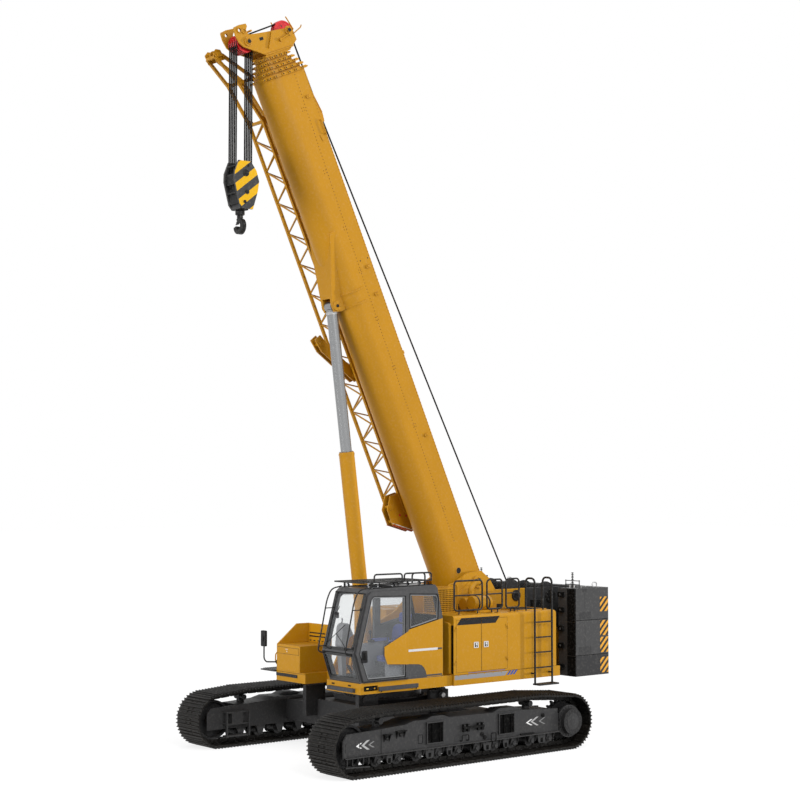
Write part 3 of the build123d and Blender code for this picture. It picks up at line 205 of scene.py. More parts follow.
class Nodes:
    """Short hand for making and linking shader nodes."""

    def __init__(self, tree: bpy.types.NodeTree) -> None:
        self.tree = tree
        tree.nodes.clear()

    def node(self, kind: str) -> bpy.types.Node:
        """Add one node by its type's name."""
        return self.tree.nodes.new(kind)

    def link(self, source: object, target: bpy.types.NodeSocket) -> None:
        """Feed a socket from another one, or set it to a number or a colour."""
        if isinstance(source, bpy.types.NodeSocket):
            self.tree.links.new(source, target)
        elif isinstance(source, tuple) and len(target.default_value) == 4:
            target.default_value = (*source, 1.0)
        else:
            target.default_value = source

    def noise(self, place: bpy.types.NodeSocket, scale: float, detail: float) -> bpy.types.NodeSocket:
        """Fractal noise over a place."""
        node = self.node("ShaderNodeTexNoise")
        node.inputs["Scale"].default_value = scale
        node.inputs["Detail"].default_value = detail
        self.link(place, node.inputs["Vector"])
        return node.outputs["Fac"]

    def math(self, operation: str, first: object, second: object = 0.0) -> bpy.types.NodeSocket:
        """One arithmetic step."""
        node = self.node("ShaderNodeMath")
        node.operation = operation
        self.link(first, node.inputs[0])
        self.link(second, node.inputs[1])
        return node.outputs[0]

    def dot(self, place: bpy.types.NodeSocket, direction: tuple[float, float, float]) -> bpy.types.NodeSocket:
        """Distance of a place along a direction."""
        node = self.node("ShaderNodeVectorMath")
        node.operation = "DOT_PRODUCT"
        self.link(place, node.inputs[0])
        node.inputs[1].default_value = direction
        return node.outputs["Value"]

    def scaled(self, place: bpy.types.NodeSocket,
               factors: tuple[float, float, float]) -> bpy.types.NodeSocket:
        """A place with each coordinate multiplied."""
        node = self.node("ShaderNodeVectorMath")
        node.operation = "MULTIPLY"
        self.link(place, node.inputs[0])
        node.inputs[1].default_value = factors
        return node.outputs[0]

    def ramp(self, value: object, low: float, high: float, start: float, end: float) -> bpy.types.NodeSocket:
        """Map a span of a value to another span, held at its ends."""
        node = self.node("ShaderNodeMapRange")
        self.link(value, node.inputs["Value"])
        for name, number in (("From Min", low), ("From Max", high), ("To Min", start), ("To Max", end)):
            node.inputs[name].default_value = number
        return node.outputs["Result"]

    def mix(self, share: object, first: object, second: object) -> bpy.types.NodeSocket:
        """Blend two colours by a share."""
        node = self.node("ShaderNodeMix")
        node.data_type = "RGBA"
        self.link(share, node.inputs["Factor"])
        self.link(first, node.inputs["A"] if node.inputs["A"].type == "RGBA" else node.inputs[6])
        self.link(second, node.inputs["B"] if node.inputs["B"].type == "RGBA" else node.inputs[7])
        return node.outputs[2]

    def edges(self, reach: float, breakup: bpy.types.NodeSocket) -> bpy.types.NodeSocket:
        """Mask of convex edges, broken up by noise, from a rounded normal."""
        rounded = self.node("ShaderNodeBevel")
        rounded.samples = 3
        rounded.inputs["Radius"].default_value = reach
        flat = self.node("ShaderNodeNewGeometry").outputs["Normal"]
        node = self.node("ShaderNodeVectorMath")
        node.operation = "DOT_PRODUCT"
        self.link(rounded.outputs["Normal"], node.inputs[0])
        self.link(flat, node.inputs[1])
        turned = self.ramp(node.outputs["Value"], 0.995, 0.80, 0.0, 1.0)
        return self.math("MULTIPLY", turned, self.ramp(breakup, 0.35, 0.62, 0.25, 1.0))

    def dust(
        self, place: bpy.types.NodeSocket, broad: object, fine: object, top: float, amount: float
    ) -> bpy.types.NodeSocket:
        """Mask of dust that thins out upwards and lies on faces that look up."""
        split = self.node("ShaderNodeSeparateXYZ")
        self.link(place, split.inputs[0])
        low = self.ramp(split.outputs["Z"], 0.0, top, 1.0, 0.0)
        facing = self.node("ShaderNodeSeparateXYZ")
        self.link(self.node("ShaderNodeNewGeometry").outputs["Normal"], facing.inputs[0])
        lying = self.ramp(facing.outputs["Z"], 0.2, 1.0, 0.25, 1.0)
        patchy = self.math("MULTIPLY", self.ramp(broad, 0.3, 0.7, 0.3, 1.0),
                           self.ramp(fine, 0.3, 0.7, 0.5, 1.0))
        return self.math("MULTIPLY", self.math("MULTIPLY", low, lying), self.math("MULTIPLY", patchy, amount))

    def weave(self, place: bpy.types.NodeSocket, pitch: float) -> bpy.types.NodeSocket:
        """Crossed threads as a product of two waves."""
        turn = 2.0 * math.pi / pitch
        split = self.node("ShaderNodeSeparateXYZ")
        self.link(self.scaled(place, (turn, turn, turn)), split.inputs[0])
        level = self.math("ADD", split.outputs["Y"], split.outputs["Z"])
        return self.math("MULTIPLY", self.math("SINE", split.outputs["X"]), self.math("SINE", level))

    def strands(self, turns: float) -> bpy.types.NodeSocket:
        """Laid strands from a tube's UV: around it and along it."""
        split = self.node("ShaderNodeSeparateXYZ")
        self.link(self.node("ShaderNodeTexCoord").outputs["UV"], split.inputs[0])
        around = self.math("MULTIPLY", split.outputs["X"], 2.0 * math.pi * 6.0)
        lay = self.math("MULTIPLY", split.outputs["Y"], 2.0 * math.pi / turns)
        return self.math("SINE", self.math("ADD", around, lay))


@dataclass(frozen=True)
class Glazing:
    """Clear pane that lets light straight through and mirrors at a slant."""

    name: str
    tint: tuple[float, float, float]
    veil: float
    veil_color: tuple[float, float, float] = (0.6, 0.62, 0.64)

    def build(self) -> bpy.types.Material:
        """Make the node tree.

        Returns:
            The new material.
        """
        material = bpy.data.materials.new(self.name)
        material.use_nodes = True
        tree = Nodes(material.node_tree)
        clear = tree.node("ShaderNodeBsdfTransparent")
        clear.inputs["Color"].default_value = (*self.tint, 1.0)
        film = tree.node("ShaderNodeBsdfPrincipled")
        film.inputs["Base Color"].default_value = (*self.veil_color, 1.0)
        film.inputs["Coat Weight"].default_value = 0.3
        place = tree.node("ShaderNodeTexCoord").outputs["Object"]
        smear = tree.noise(place, 6.0, 5.0)
        tree.link(tree.ramp(smear, 0.3, 0.7, 0.04, 0.16), film.inputs["Roughness"])
        fresnel = tree.node("ShaderNodeFresnel")
        inside = tree.node("ShaderNodeNewGeometry").outputs["Backfacing"]
        tree.link(tree.ramp(inside, 0.0, 1.0, 1.45, 1.0 / 1.45), fresnel.inputs["IOR"])
        cover = tree.ramp(smear, 0.3, 0.7, self.veil * 0.8, self.veil * 1.2)
        share = tree.math("ADD", fresnel.outputs[0], cover)
        blend = tree.node("ShaderNodeMixShader")
        tree.link(share, blend.inputs[0])
        tree.link(clear.outputs[0], blend.inputs[1])
        tree.link(film.outputs[0], blend.inputs[2])
        out = tree.node("ShaderNodeOutputMaterial")
        tree.link(blend.outputs[0], out.inputs["Surface"])
        return material


YELLOW = Finish("machine_yellow", (0.492, 0.234, 0.005), 0.45, coat=0.05, specular=0.26, mottle=0.05,
                grain=420.0,
                relief=0.00006, edge=(0.72, 0.47, 0.16), edge_reach=0.008, edge_amount=0.35, dust=0.10)
BOOM_YELLOW = Finish("boom_yellow", (0.468, 0.218, 0.005), 0.45, coat=0.05, specular=0.26, mottle=0.05,
                     grain=420.0,
                     relief=0.00006, edge=(0.74, 0.47, 0.16), edge_reach=0.008, edge_amount=0.3)
FRAME_BLACK = Finish("frame_black", (0.030, 0.030, 0.031), 0.50, specular=0.25, mottle=0.04, grain=600.0,
                     relief=0.00008, edge=(0.13, 0.125, 0.12), edge_amount=0.35, dust=0.06, dust_top=1.2)
TRACK_STEEL = Finish("track_steel", (0.009, 0.0085, 0.008), 0.50, specular=0.25, metallic=0.35, mottle=0.05,
                     grain=260.0,
                     relief=0.0003, edge=(0.10, 0.085, 0.07), edge_reach=0.004, edge_amount=0.45, dust=0.10,
                     dust_color=(0.12, 0.08, 0.045), dust_top=1.6)
# Near-black, low-gloss: painted shade in the beam pockets, the cooler's holes and the housing's front slot and
# grille, and dark gap lines on the track frames.
PIT_SHADE_AND_GAP_BLACK = Finish("pit_shade_and_gap_black", (0.004, 0.004, 0.004), 0.75, specular=0.03, mottle=0.03)
HUB_GREY = Finish("hub_grey", (0.021, 0.021, 0.022), 0.55, specular=0.2, mottle=0.04, edge=(0.12, 0.12, 0.12),
                  dust=0.04)
BRACKET_BLACK = Finish("bracket_black", (0.008, 0.008, 0.008), 0.55, specular=0.08, mottle=0.04)
CAB_GREY = Finish("cab_grey", (0.058, 0.058, 0.060), 0.42, specular=0.25, coat=0.2, mottle=0.05,
                  edge=(0.18, 0.18, 0.18), edge_amount=0.3)
BALLAST = Finish("ballast_grey", (0.058, 0.058, 0.059), 0.55, specular=0.25, mottle=0.06, grain=180.0,
                 relief=0.0003,
                 edge=(0.24, 0.24, 0.24), edge_amount=0.35)
BALLAST_DARK = Finish("ballast_dark", (0.032, 0.032, 0.033), 0.55, specular=0.25, mottle=0.06, grain=180.0,
                      relief=0.0003,
                      edge=(0.2, 0.2, 0.2), edge_amount=0.35)
BALLAST_FRONT = Finish("ballast_front", (0.003, 0.003, 0.003), 0.7, specular=0.06, mottle=0.06, grain=180.0,
                       relief=0.0003)
BALLAST_SEAM = Finish("ballast_seam", (0.044, 0.044, 0.045), 0.55, specular=0.2, mottle=0.06, grain=180.0,
                      relief=0.0003)
RAIL_BLACK = Finish("rail_black", (0.010, 0.010, 0.010), 0.38, specular=0.18, coat=0.2, mottle=0.08,
                    edge=(0.12, 0.12, 0.12), edge_reach=0.003, edge_amount=0.4)
PLASTIC = Finish("moulded_plastic", (0.014, 0.014, 0.015), 0.58, specular=0.2, mottle=0.05, grain=1500.0,
                 relief=0.00012)
RUBBER = Finish("rubber_seal", (0.006, 0.006, 0.006), 0.72, specular=0.12, mottle=0.05, grain=800.0,
                relief=0.0001)
GREY_PLASTIC = Finish("console_grey", (0.26, 0.26, 0.27), 0.5, mottle=0.05, grain=1500.0, relief=0.00012)
STEP_GREY = Finish("step_grey", (0.060, 0.060, 0.062), 0.55, specular=0.2, mottle=0.06, grain=500.0,
                   relief=0.0001)
PALE_SEAL = Finish("window_border", (0.20, 0.205, 0.21), 0.45, mottle=0.03)
GLOSS_BLACK = Finish("glass_border", (0.006, 0.006, 0.006), 0.15, specular=0.25, coat=0.4, mottle=0.02)
SCREEN = Finish("dark_screen", (0.010, 0.012, 0.016), 0.12, coat=0.6, mottle=0.02)
SEAT_BLUE = Finish("seat_cloth", (0.040, 0.070, 0.38), 0.85, mottle=0.10, sheen=0.3, pattern=Pattern.WEAVE,
                   pitch=0.006, relief=0.0006)
CHROME = Finish("chromed_rod", (0.29, 0.295, 0.30), 0.30, metallic=0.85, mottle=0.02, pattern=Pattern.BRUSHED,
                relief=0.00001)
BARE = Finish("bare_steel", (0.46, 0.46, 0.46), 0.30, metallic=0.9, mottle=0.06, pattern=Pattern.BRUSHED,
              relief=0.00003)
ZINC = Finish("zinc_plate", (0.68, 0.68, 0.68), 0.38, metallic=0.4, mottle=0.08)
SHEAVE_RED = Finish("sheave_red", (0.60, 0.010, 0.016), 0.36, coat=0.25, mottle=0.08,
                    edge=(0.7, 0.2, 0.18), edge_reach=0.003)
ROPE = Finish("steel_rope", (0.006, 0.006, 0.006), 0.45, specular=0.12, metallic=0.3, mottle=0.10,
              pattern=Pattern.STRANDS,
              pitch=0.11, relief=0.0018)
HOOK_BLACK = Finish("hook_black", (0.012, 0.012, 0.012), 0.45, specular=0.2, metallic=0.2, mottle=0.08,
                    edge=(0.14, 0.135, 0.13), edge_amount=0.5)
BLOCK_STRIPES = Finish("block_stripes", (0.70, 0.39, 0.006), 0.4, specular=0.2, mottle=0.06,
                       pattern=Pattern.STRIPES,
                       second=(0.045, 0.045, 0.046), pitch=0.262, tilt=(0.0, 0.62, -0.78), phase=0.0,
                       edge=(0.6, 0.5, 0.3), edge_amount=0.3, sides_only=True)
WARNING_STRIPES = Finish("warning_stripes", (0.76, 0.36, 0.025), 0.35, mottle=0.03, pattern=Pattern.STRIPES,
                         second=(0.006, 0.006, 0.006), pitch=0.100, tilt=(0.0, 0.70, -0.71), phase=0.2)
WARNING_REAR = Finish("warning_rear", (0.76, 0.36, 0.025), 0.35, mottle=0.03, pattern=Pattern.STRIPES,
                      second=(0.006, 0.006, 0.006), pitch=0.100, tilt=(0.70, 0.0, -0.71), phase=0.2)
ENGINE = Finish("engine_grey", (0.10, 0.10, 0.10), 0.6, metallic=0.3, mottle=0.2, grain=120.0, relief=0.002,
                edge=(0.3, 0.3, 0.3))
BAND_GREY = Finish("band_grey", (0.27, 0.27, 0.28), 0.4, mottle=0.02)
BAND_BLUE = Finish("band_blue", (0.010, 0.075, 0.33), 0.4, mottle=0.02)
WHITE_MARK = Finish("white_mark", (0.80, 0.80, 0.80), 0.45, mottle=0.03)
PALE_MARK = Finish("pale_mark", (0.40, 0.40, 0.40), 0.45, mottle=0.03)
DIM_MARK = Finish("dim_mark", (0.20, 0.20, 0.20), 0.45, mottle=0.03)
SIGN_YELLOW = Finish("sign_yellow", (0.75, 0.45, 0.03), 0.4, mottle=0.03)
# Darker yellow of the weld dots on the boom's sides: painted shade round each dot.
WELD_DOT_SHADE = Finish("weld_dot_shade", (0.190, 0.080, 0.007), 0.45, specular=0.2, mottle=0.05)
# Darker red of the sheaves' holes: painted shade.
SHEAVE_HOLE_SHADE = Finish("sheave_hole_shade", (0.20, 0.006, 0.008), 0.45, mottle=0.05)
# Near-black for printed marks, latches and seams, and painted shade in the boom's foot hole and the tool box's
# slots.
DARK_MARK_AND_HOLE_SHADE = Finish("dark_mark_and_hole_shade", (0.016, 0.016, 0.017), 0.4, specular=0.15, mottle=0.02)
LAMP = Finish("lamp_lens", (0.75, 0.76, 0.78), 0.12, coat=0.6, mottle=0.02)
RED_MARK = Finish("red_mark", (0.50, 0.02, 0.012), 0.4, mottle=0.04)
MIRROR = Finish("mirror_face", (0.85, 0.86, 0.87), 0.04, metallic=1.0, mottle=0.01, relief=0.000002)
CLEAR = Glazing("cab_glass_clear", (0.97, 0.975, 0.975), 0.012)
SMOKED = Glazing("door_glass_grey", (0.88, 0.89, 0.90), 0.07)


class Palette:
    """Builds each finish once and hands it out."""

    def __init__(self) -> None:
        self._made: dict[str, bpy.types.Material] = {}

    def get(self, finish: Finish | Glazing) -> bpy.types.Material:
        """Material of a finish, made when it is first asked for."""
        if finish.name not in self._made:
            self._made[finish.name] = finish.build()
        return self._made[finish.name]


PALETTE = Palette()


# ----------------------------------------------------------------- shapes
CUBE = np.array([[x, y, z] for x in (-0.5, 0.5) for y in (-0.5, 0.5) for z in (-0.5, 0.5)])
CUBE_FACES = np.array([[0, 1, 3, 2], [4, 6, 7, 5], [0, 4, 5, 1], [2, 3, 7, 6], [0, 2, 6, 4], [1, 5, 7, 3]])
WORLD = np.eye(3)
BOOM_AXES = np.stack((EAST, ALONG, DOWN))


class Shape:
    """Gathers surfaces worked out as whole arrays and turns them into one piece."""

    def __init__(self) -> None:
        self._points: list[np.ndarray] = []
        self._faces: list[tuple[int, ...]] = []
        self._marks: list[int] = []
        self._smooth: list[bool] = []
        self._uv: list[np.ndarray] = []
        self._count = 0

    def add(self, points: np.ndarray, faces: Sequence, mark: int = 0, smooth: bool = False,
            uv: np.ndarray | None = None) -> None:
        """Take in points and faces.

        Args:
            points: n by 3 places.
            faces: Rows of indices into the points.
            mark: Index of the piece's finish for these faces.
            smooth: Whether the faces are shaded as one round surface.
            uv: n by 2 surface coordinates, one for each point.
        """
        rows = [tuple(int(i) + self._count for i in face) for face in np.asarray(faces, dtype=object)]
        self._points.append(np.asarray(points, dtype=float))
        self._uv.append(np.zeros((len(points), 2)) if uv is None else uv)
        self._faces += rows
        self._marks += [mark] * len(rows)
        self._smooth += [smooth] * len(rows)
        self._count += len(points)

    def copies(self, points: np.ndarray, faces: np.ndarray, places: np.ndarray, axes: np.ndarray,
               mark: int = 0, smooth: bool = False) -> None:
        """Repeat a surface: each copy's points are its place plus the points in its own axes.

        Args:
            points: n by 3 points in a copy's own axes.
            faces: Rows of indices into the points.
            places: k by 3 origins.
            axes: k by 3 by 3 unit axes, one row per axis.
            mark: Index of the piece's finish.
            smooth: Whether the faces are shaded as one round surface.
        """
        places = np.atleast_2d(places)
        axes = np.broadcast_to(axes, (len(places), 3, 3))
        everything = places[:, None, :] + np.einsum("ni,kij->knj", points, axes)
        steps = np.arange(len(places)) * len(points)
        rows = [tuple(int(i) + int(step) for i in face) for step in steps for face in faces]
        self.add(everything.reshape(-1, 3), rows, mark, smooth)

    def box(self, centre: Point, size: Point, axes: np.ndarray = WORLD, mark: int = 0) -> None:
        """A block: the unit cube stretched to a size along its axes."""
        self.add(np.asarray(centre) + (CUBE * np.asarray(size)) @ axes, CUBE_FACES, mark)

    def span(self, low: Point, high: Point, mark: int = 0) -> None:
        """A block between two corners."""
        low, high = np.asarray(low, dtype=float), np.asarray(high, dtype=float)
        self.box((low + high) / 2, high - low, WORLD, mark)

    def prism(self, outline: Sequence, origin: Point, u: Point, v: Point, depth: float,
              mark: int = 0) -> None:
        """A flat outline in two directions, drawn out along their cross product."""
        flat = np.asarray(outline, dtype=float)
        u, v = np.asarray(u, dtype=float), np.asarray(v, dtype=float)
        front = np.asarray(origin) + flat[:, :1] * u + flat[:, 1:] * v
        back = front + depth * np.cross(u, v)
        n = len(flat)
        ring = np.arange(n)
        sides = [(i, (i + 1) % n, (i + 1) % n + n, i + n) for i in ring]
        self.add(np.vstack((front, back)), [tuple(ring[::-1]), tuple(ring + n), *sides], mark)

    def plate(self, outline: Sequence, x: float, depth: float, mark: int = 0) -> None:
        """A plate on a side face: an outline in (y, z) at x, drawn out by a signed depth along X."""
        self.prism(outline, (x, 0.0, 0.0), NORTH, UP, depth, mark)

    def border(self, outline: Sequence, inset: float, x: float, depth: float, mark: int = 0) -> None:
        """A flat frame on a side face between an outline in (y, z) and the same outline moved inwards."""
        outer = np.asarray(outline, dtype=float)
        inner = inset_outline(outer, inset)
        flat = np.stack((outer, inner, inner, outer))
        across = np.array((x, x, x + depth, x + depth))
        rings = np.concatenate((np.broadcast_to(across[:, None, None], (*flat.shape[:2], 1)), flat), -1)
        self.loft(rings, mark, False, True)

    def disc(self, centre: Point, axis: Point, radius: float, height: float, mark: int = 0,
             chamfer: float = 0.12, steps: int = 28) -> None:
        """A round boss with a chamfered rim."""
        rim = chamfer * min(radius, height)
        self.turned(((radius, 0.0), (radius, height - rim), (radius - rim, height)), centre, axis, steps,
                    mark, True)

    def ring(self, centre: Point, axis: Point, outer: float, inner: float, height: float, mark: int = 0,
             steps: int = 32) -> None:
        """A flat ring round an axis."""
        profile = ((inner, 0.0), (outer, 0.0), (outer, height), (inner, height), (inner, 0.0))
        axis_, across, other = axes_for(axis)
        turn = np.linspace(0.0, 2.0 * np.pi, steps, endpoint=False)
        spoke = np.cos(turn)[:, None] * across + np.sin(turn)[:, None] * other
        spans = np.asarray(profile)
        rings = np.asarray(centre) + spans[:, :1, None] * spoke[None] + spans[:, 1:, None] * axis_
        self.loft(rings, mark, True, False, False)

    def beads(self, places: np.ndarray, axis: Point, radius: float, height: float, mark: int = 0) -> None:
        """Low round dots, such as tack welds, one at each place."""
        turn = np.linspace(0.0, 2.0 * np.pi, 8, endpoint=False)
        profile = np.array(((1.0, 0.0), (0.78, 0.7), (0.35, 1.0)))
        rings = np.stack(np.broadcast_arrays(
            profile[:, None, 1] * height,
            profile[:, None, 0] * radius * np.cos(turn)[None],
            profile[:, None, 0] * radius * np.sin(turn)[None]), -1)
        row, column = np.meshgrid(np.arange(2), np.arange(8), indexing="ij")
        a, b = row * 8 + column, row * 8 + (column + 1) % 8
        faces = [tuple(face) for face in np.stack((a, b, b + 8, a + 8), -1).reshape(-1, 4)]
        faces.append(tuple(range(16, 24)))
        self.copies(rings.reshape(-1, 3), faces, np.atleast_2d(places), np.stack(axes_for(axis)), mark, True)

    def pipe(self, corners: Sequence, radius: float, bend: float = 0.08, mark: int = 0, sides: int = 12,
             closed: bool = False) -> None:
        """A bent bar: straight runs with rounded corners."""
        self.tube(rounded(corners, bend, 7, closed), radius, sides, closed, mark)

    def loft(self, rings: np.ndarray, mark: int = 0, smooth: bool = True, closed: bool = False,
             caps: bool = True, uv: np.ndarray | None = None) -> None:
        """Skin over rings of points: each ring's points are joined to the next ring's.

        Args:
            rings: m by n by 3 points, each ring going once round.
            mark: Index of the piece's finish.
            smooth: Whether it is shaded as one round surface.
            closed: Whether the last ring joins the first.
            caps: Whether the end rings are filled.
            uv: m by n by 2 surface coordinates.
        """
        m, n = rings.shape[:2]
        row, column = np.meshgrid(np.arange(m if closed else m - 1), np.arange(n), indexing="ij")
        a = row * n + column
        b = row * n + (column + 1) % n
        up = ((row + 1) % m) * n
        faces = np.stack((a, b, up + (column + 1) % n, up + column), -1).reshape(-1, 4)
        self.add(rings.reshape(-1, 3), faces, mark, smooth, None if uv is None else uv.reshape(-1, 2))
        if caps and not closed:
            self.add(rings[0], [tuple(range(n))[::-1]], mark)
            self.add(rings[-1], [tuple(range(n))], mark)

    def tube(self, path: Sequence, radius: float, sides: int = 10, closed: bool = False,
             mark: int = 0) -> None:
        """A round bar along a path: circles square to the mean of the directions before and after each point.

        Args:
            path: n by 3 points.
            radius: Of the bar.
            sides: Of each circle.
            closed: Whether the last point joins the first.
            mark: Index of the piece's finish.
        """
        path = np.asarray(path, dtype=float)
        steps = np.diff(path, axis=0, append=path[:1])
        steps /= np.linalg.norm(steps, axis=1, keepdims=True)
        if not closed:
            steps[-1] = steps[-2]
        before = np.roll(steps, 1, axis=0)
        if not closed:
            before[0] = steps[0]
        heading = steps + before
        heading /= np.linalg.norm(heading, axis=1, keepdims=True)
        spread = np.linalg.svd(path - path.mean(axis=0))[2]
        flat = spread[2] if len(path) > 2 else np.cross(heading[0],
                                                        spread[np.argmin(np.abs(spread @ heading[0]))])
        flat = np.broadcast_to(flat / np.linalg.norm(flat), heading.shape)
        side = np.cross(heading, flat)
        side /= np.linalg.norm(side, axis=1, keepdims=True)
        flat = np.cross(side, heading)
        stretch = 1.0 / np.clip(np.sum(steps * heading, axis=1, keepdims=True), 0.5, 1.0)
        turn = np.linspace(0.0, 2.0 * np.pi, sides, endpoint=False)
        rings = (path[:, None] + radius * np.cos(turn)[None, :, None] * flat[:, None]
                 + radius * np.sin(turn)[None, :, None] * (side * stretch)[:, None])
        run = np.concatenate(([0.0], np.cumsum(np.linalg.norm(np.diff(path, axis=0), axis=1))))
        uv = np.stack(np.broadcast_arrays(turn[None] / (2.0 * np.pi), run[:, None]), -1)
        self.loft(rings, mark, True, closed, True, uv)

    def turned(self, profile: Sequence, centre: Point, axis: Point, steps: int = 24, mark: int = 0,
               smooth: bool = True) -> None:
        """A surface of revolution: pairs of (radius, height) spun about an axis."""
        profile = np.asarray(profile, dtype=float)
        axis, across, other = axes_for(axis)
        turn = np.linspace(0.0, 2.0 * np.pi, steps, endpoint=False)
        spoke = np.cos(turn)[:, None] * across + np.sin(turn)[:, None] * other
        rings = np.asarray(centre) + profile[:, :1, None] * spoke[None] + profile[:, 1:, None] * axis
        self.loft(rings, mark, smooth)

    def bolts(self, places: Sequence, axis: Point, radius: float = 0.012, height: float = 0.009,
              mark: int = 0) -> None:
        """Hexagon heads with a chamfered top on a washer, one at each place."""
        profile = np.array(((1.45, 0.0), (1.45, 0.18), (1.0, 0.18), (1.0, 0.82), (0.82, 1.0)))
        turn = np.linspace(0.0, 2.0 * np.pi, 6, endpoint=False)
        rings = np.stack(np.broadcast_arrays(
            profile[:, None, 1] * height,
            profile[:, None, 0] * radius * np.cos(turn)[None],
            profile[:, None, 0] * radius * np.sin(turn)[None]), -1)
        count = len(profile) - 1
        row, column = np.meshgrid(np.arange(count), np.arange(6), indexing="ij")
        a, b = row * 6 + column, row * 6 + (column + 1) % 6
        faces = [tuple(face) for face in np.stack((a, b, b + 6, a + 6), -1).reshape(-1, 4)]
        faces.append(tuple(range(count * 6, count * 6 + 6)))
        self.copies(rings.reshape(-1, 3), faces, np.atleast_2d(places), np.stack(axes_for(axis)), mark)

    def piece(self, name: str, finishes: Sequence[Finish | Glazing], body: str | None, bevel: float = 0.0,
              replaces: Sequence[str] = (), angle: float = 40.0) -> bpy.types.Object:
        """Make the object and hang it on a body of the model.

        Args:
            name: Of the piece.
            finishes: One for each mark used.
            body: Whose motion it follows, or None to leave it hung on nothing.
            bevel: Width of the rounding of its edges.
            replaces: Nodes of the model that it stands for.
            angle: Widest bend in degrees that is shaded as round.

        Returns:
            The new object.
        """
        mesh = bpy.data.meshes.new(name)
        mesh.from_pydata(np.vstack(self._points).tolist(), [], self._faces)
        outwards = bmesh.new()
        outwards.from_mesh(mesh)
        bmesh.ops.recalc_face_normals(outwards, faces=outwards.faces)
        outwards.to_mesh(mesh)
        outwards.free()
        mesh.polygons.foreach_set("material_index", self._marks)
        mesh.polygons.foreach_set("use_smooth", self._smooth)
        loops = np.empty(len(mesh.loops), dtype=np.int32)
        mesh.loops.foreach_get("vertex_index", loops)
        mesh.uv_layers.new(name="surface").data.foreach_set("uv", np.vstack(self._uv)[loops].ravel())
        mesh.set_sharp_from_angle(angle=math.radians(angle))
        mesh.update()
        made = bpy.data.objects.new(name, mesh)
        bpy.context.scene.collection.objects.link(made)
        for finish in finishes:
            mesh.materials.append(PALETTE.get(finish))
        if bevel > 0.0:
            rounding = made.modifiers.new("rounding", "BEVEL")
            rounding.width = bevel
            rounding.segments = 2
            rounding.limit_method = "ANGLE"
            rounding.angle_limit = math.radians(45.0)
            rounding.use_clamp_overlap = True
        if body is not None:
            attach(made, body)
        if replaces:
            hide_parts(*replaces)
        LOG.info("piece %s: %d faces on %s", name, len(self._faces), body)
        return made


def axes_for(axis: Point) -> tuple[np.ndarray, np.ndarray, np.ndarray]:
    """An axis made one long, and two unit directions square to it."""
    axis = np.asarray(axis, dtype=float)
    axis = axis / np.linalg.norm(axis)
    helper = EAST if abs(axis[0]) < 0.9 else UP
    across = np.cross(axis, helper)
    across /= np.linalg.norm(across)
    return axis, across, np.cross(axis, across)


def inset_outline(outline: np.ndarray, inset: float) -> np.ndarray:
    """Outline moved inwards: each corner shifts along the mean of its sides' inward normals.

    Args:
        outline: n by 2 corners.
        inset: Distance between each side and its moved copy.

    Returns:
        The n moved corners.
    """
    ahead = np.roll(outline, -1, axis=0) - outline
    ahead /= np.linalg.norm(ahead, axis=1, keepdims=True)
    area = np.sum(outline[:, 0] * np.roll(outline[:, 1], -1) - np.roll(outline[:, 0], -1) * outline[:, 1])
    inward = np.stack((-ahead[:, 1], ahead[:, 0]), -1) * np.sign(area)
    both = inward + np.roll(inward, 1, axis=0)
    return outline + both * (2.0 * inset / np.sum(both**2, axis=1, keepdims=True))


def rounded(path: Sequence, radius: float, steps: int = 6, closed: bool = False) -> np.ndarray:
    """Path whose corners are arcs: each corner gives way to a quadratic curve between its tangent points.

    Args:
        path: Corner points in two or three dimensions.
        radius: Distance from a corner to its tangent points, cut to 45 % of the shorter side.
        steps: Points for each corner.
        closed: Whether the last corner joins the first.

    Returns:
        The denser path.
    """
    path = np.asarray(path, dtype=float)
    before, after = np.roll(path, 1, axis=0) - path, np.roll(path, -1, axis=0) - path
    long_before, long_after = np.linalg.norm(before, axis=1), np.linalg.norm(after, axis=1)
    reach = np.minimum(radius, 0.45 * np.minimum(long_before, long_after))[:, None]
    start, end = path + before / long_before[:, None] * reach, path + after / long_after[:, None] * reach
    share = np.linspace(0.0, 1.0, steps)[None, :, None]
    curve = (1 - share) ** 2 * start[:, None] + 2 * share * (1 - share) * path[:, None] + share**2 * end[:, None]
    if closed:
        return curve.reshape(-1, path.shape[1])
    return np.vstack((path[:1], curve[1:-1].reshape(-1, path.shape[1]), path[-1:]))


# ----------------------------------------------------------------- tracks
@dataclass(frozen=True)
class Belt:
    """Taut loop round circles in the side plane, each given as (y, z, radius)."""

    circles: tuple[tuple[float, float, float], ...]

    def frames(self, count: int) -> tuple[np.ndarray, np.ndarray, float]:
        """Evenly spaced places on the loop.

        A straight run leaves a circle where its normal's angle is the run's
        heading less the arc cosine of the radii's difference over the span;
        each circle's arc joins the normals of the runs before and after it.

        Args:
            count: Number of places.

        Returns:
            The places (y, z), the angles of the outward normals, and the pitch.
        """
        circles = np.array(self.circles)
        gap = np.roll(circles, -1, axis=0) - circles
        span = np.hypot(gap[:, 0], gap[:, 1])
        leave = np.arctan2(gap[:, 1], gap[:, 0]) - np.arccos(-gap[:, 2] / span)
        arrive = np.roll(leave, 1)
        sweep = (leave - arrive) % (2.0 * np.pi)
        angle = arrive[:, None] + sweep[:, None] * np.linspace(0.0, 1.0, 240)
        ring = circles[:, None, :2] + circles[:, None, 2:] * np.stack((np.cos(angle), np.sin(angle)), -1)
        ring = ring.reshape(-1, 2)
        ring = np.vstack((ring, ring[:1]))
        angle = np.unwrap(np.concatenate((angle.ravel(), angle[0, :1])))
        run = np.concatenate(([0.0], np.cumsum(np.hypot(*np.diff(ring, axis=0).T))))
        pitch = run[-1] / count
        at = (np.arange(count) + 0.5) * pitch
        places = np.stack([np.interp(at, run, ring[:, k]) for k in (0, 1)], -1)
        return places, np.interp(at, run, angle), pitch


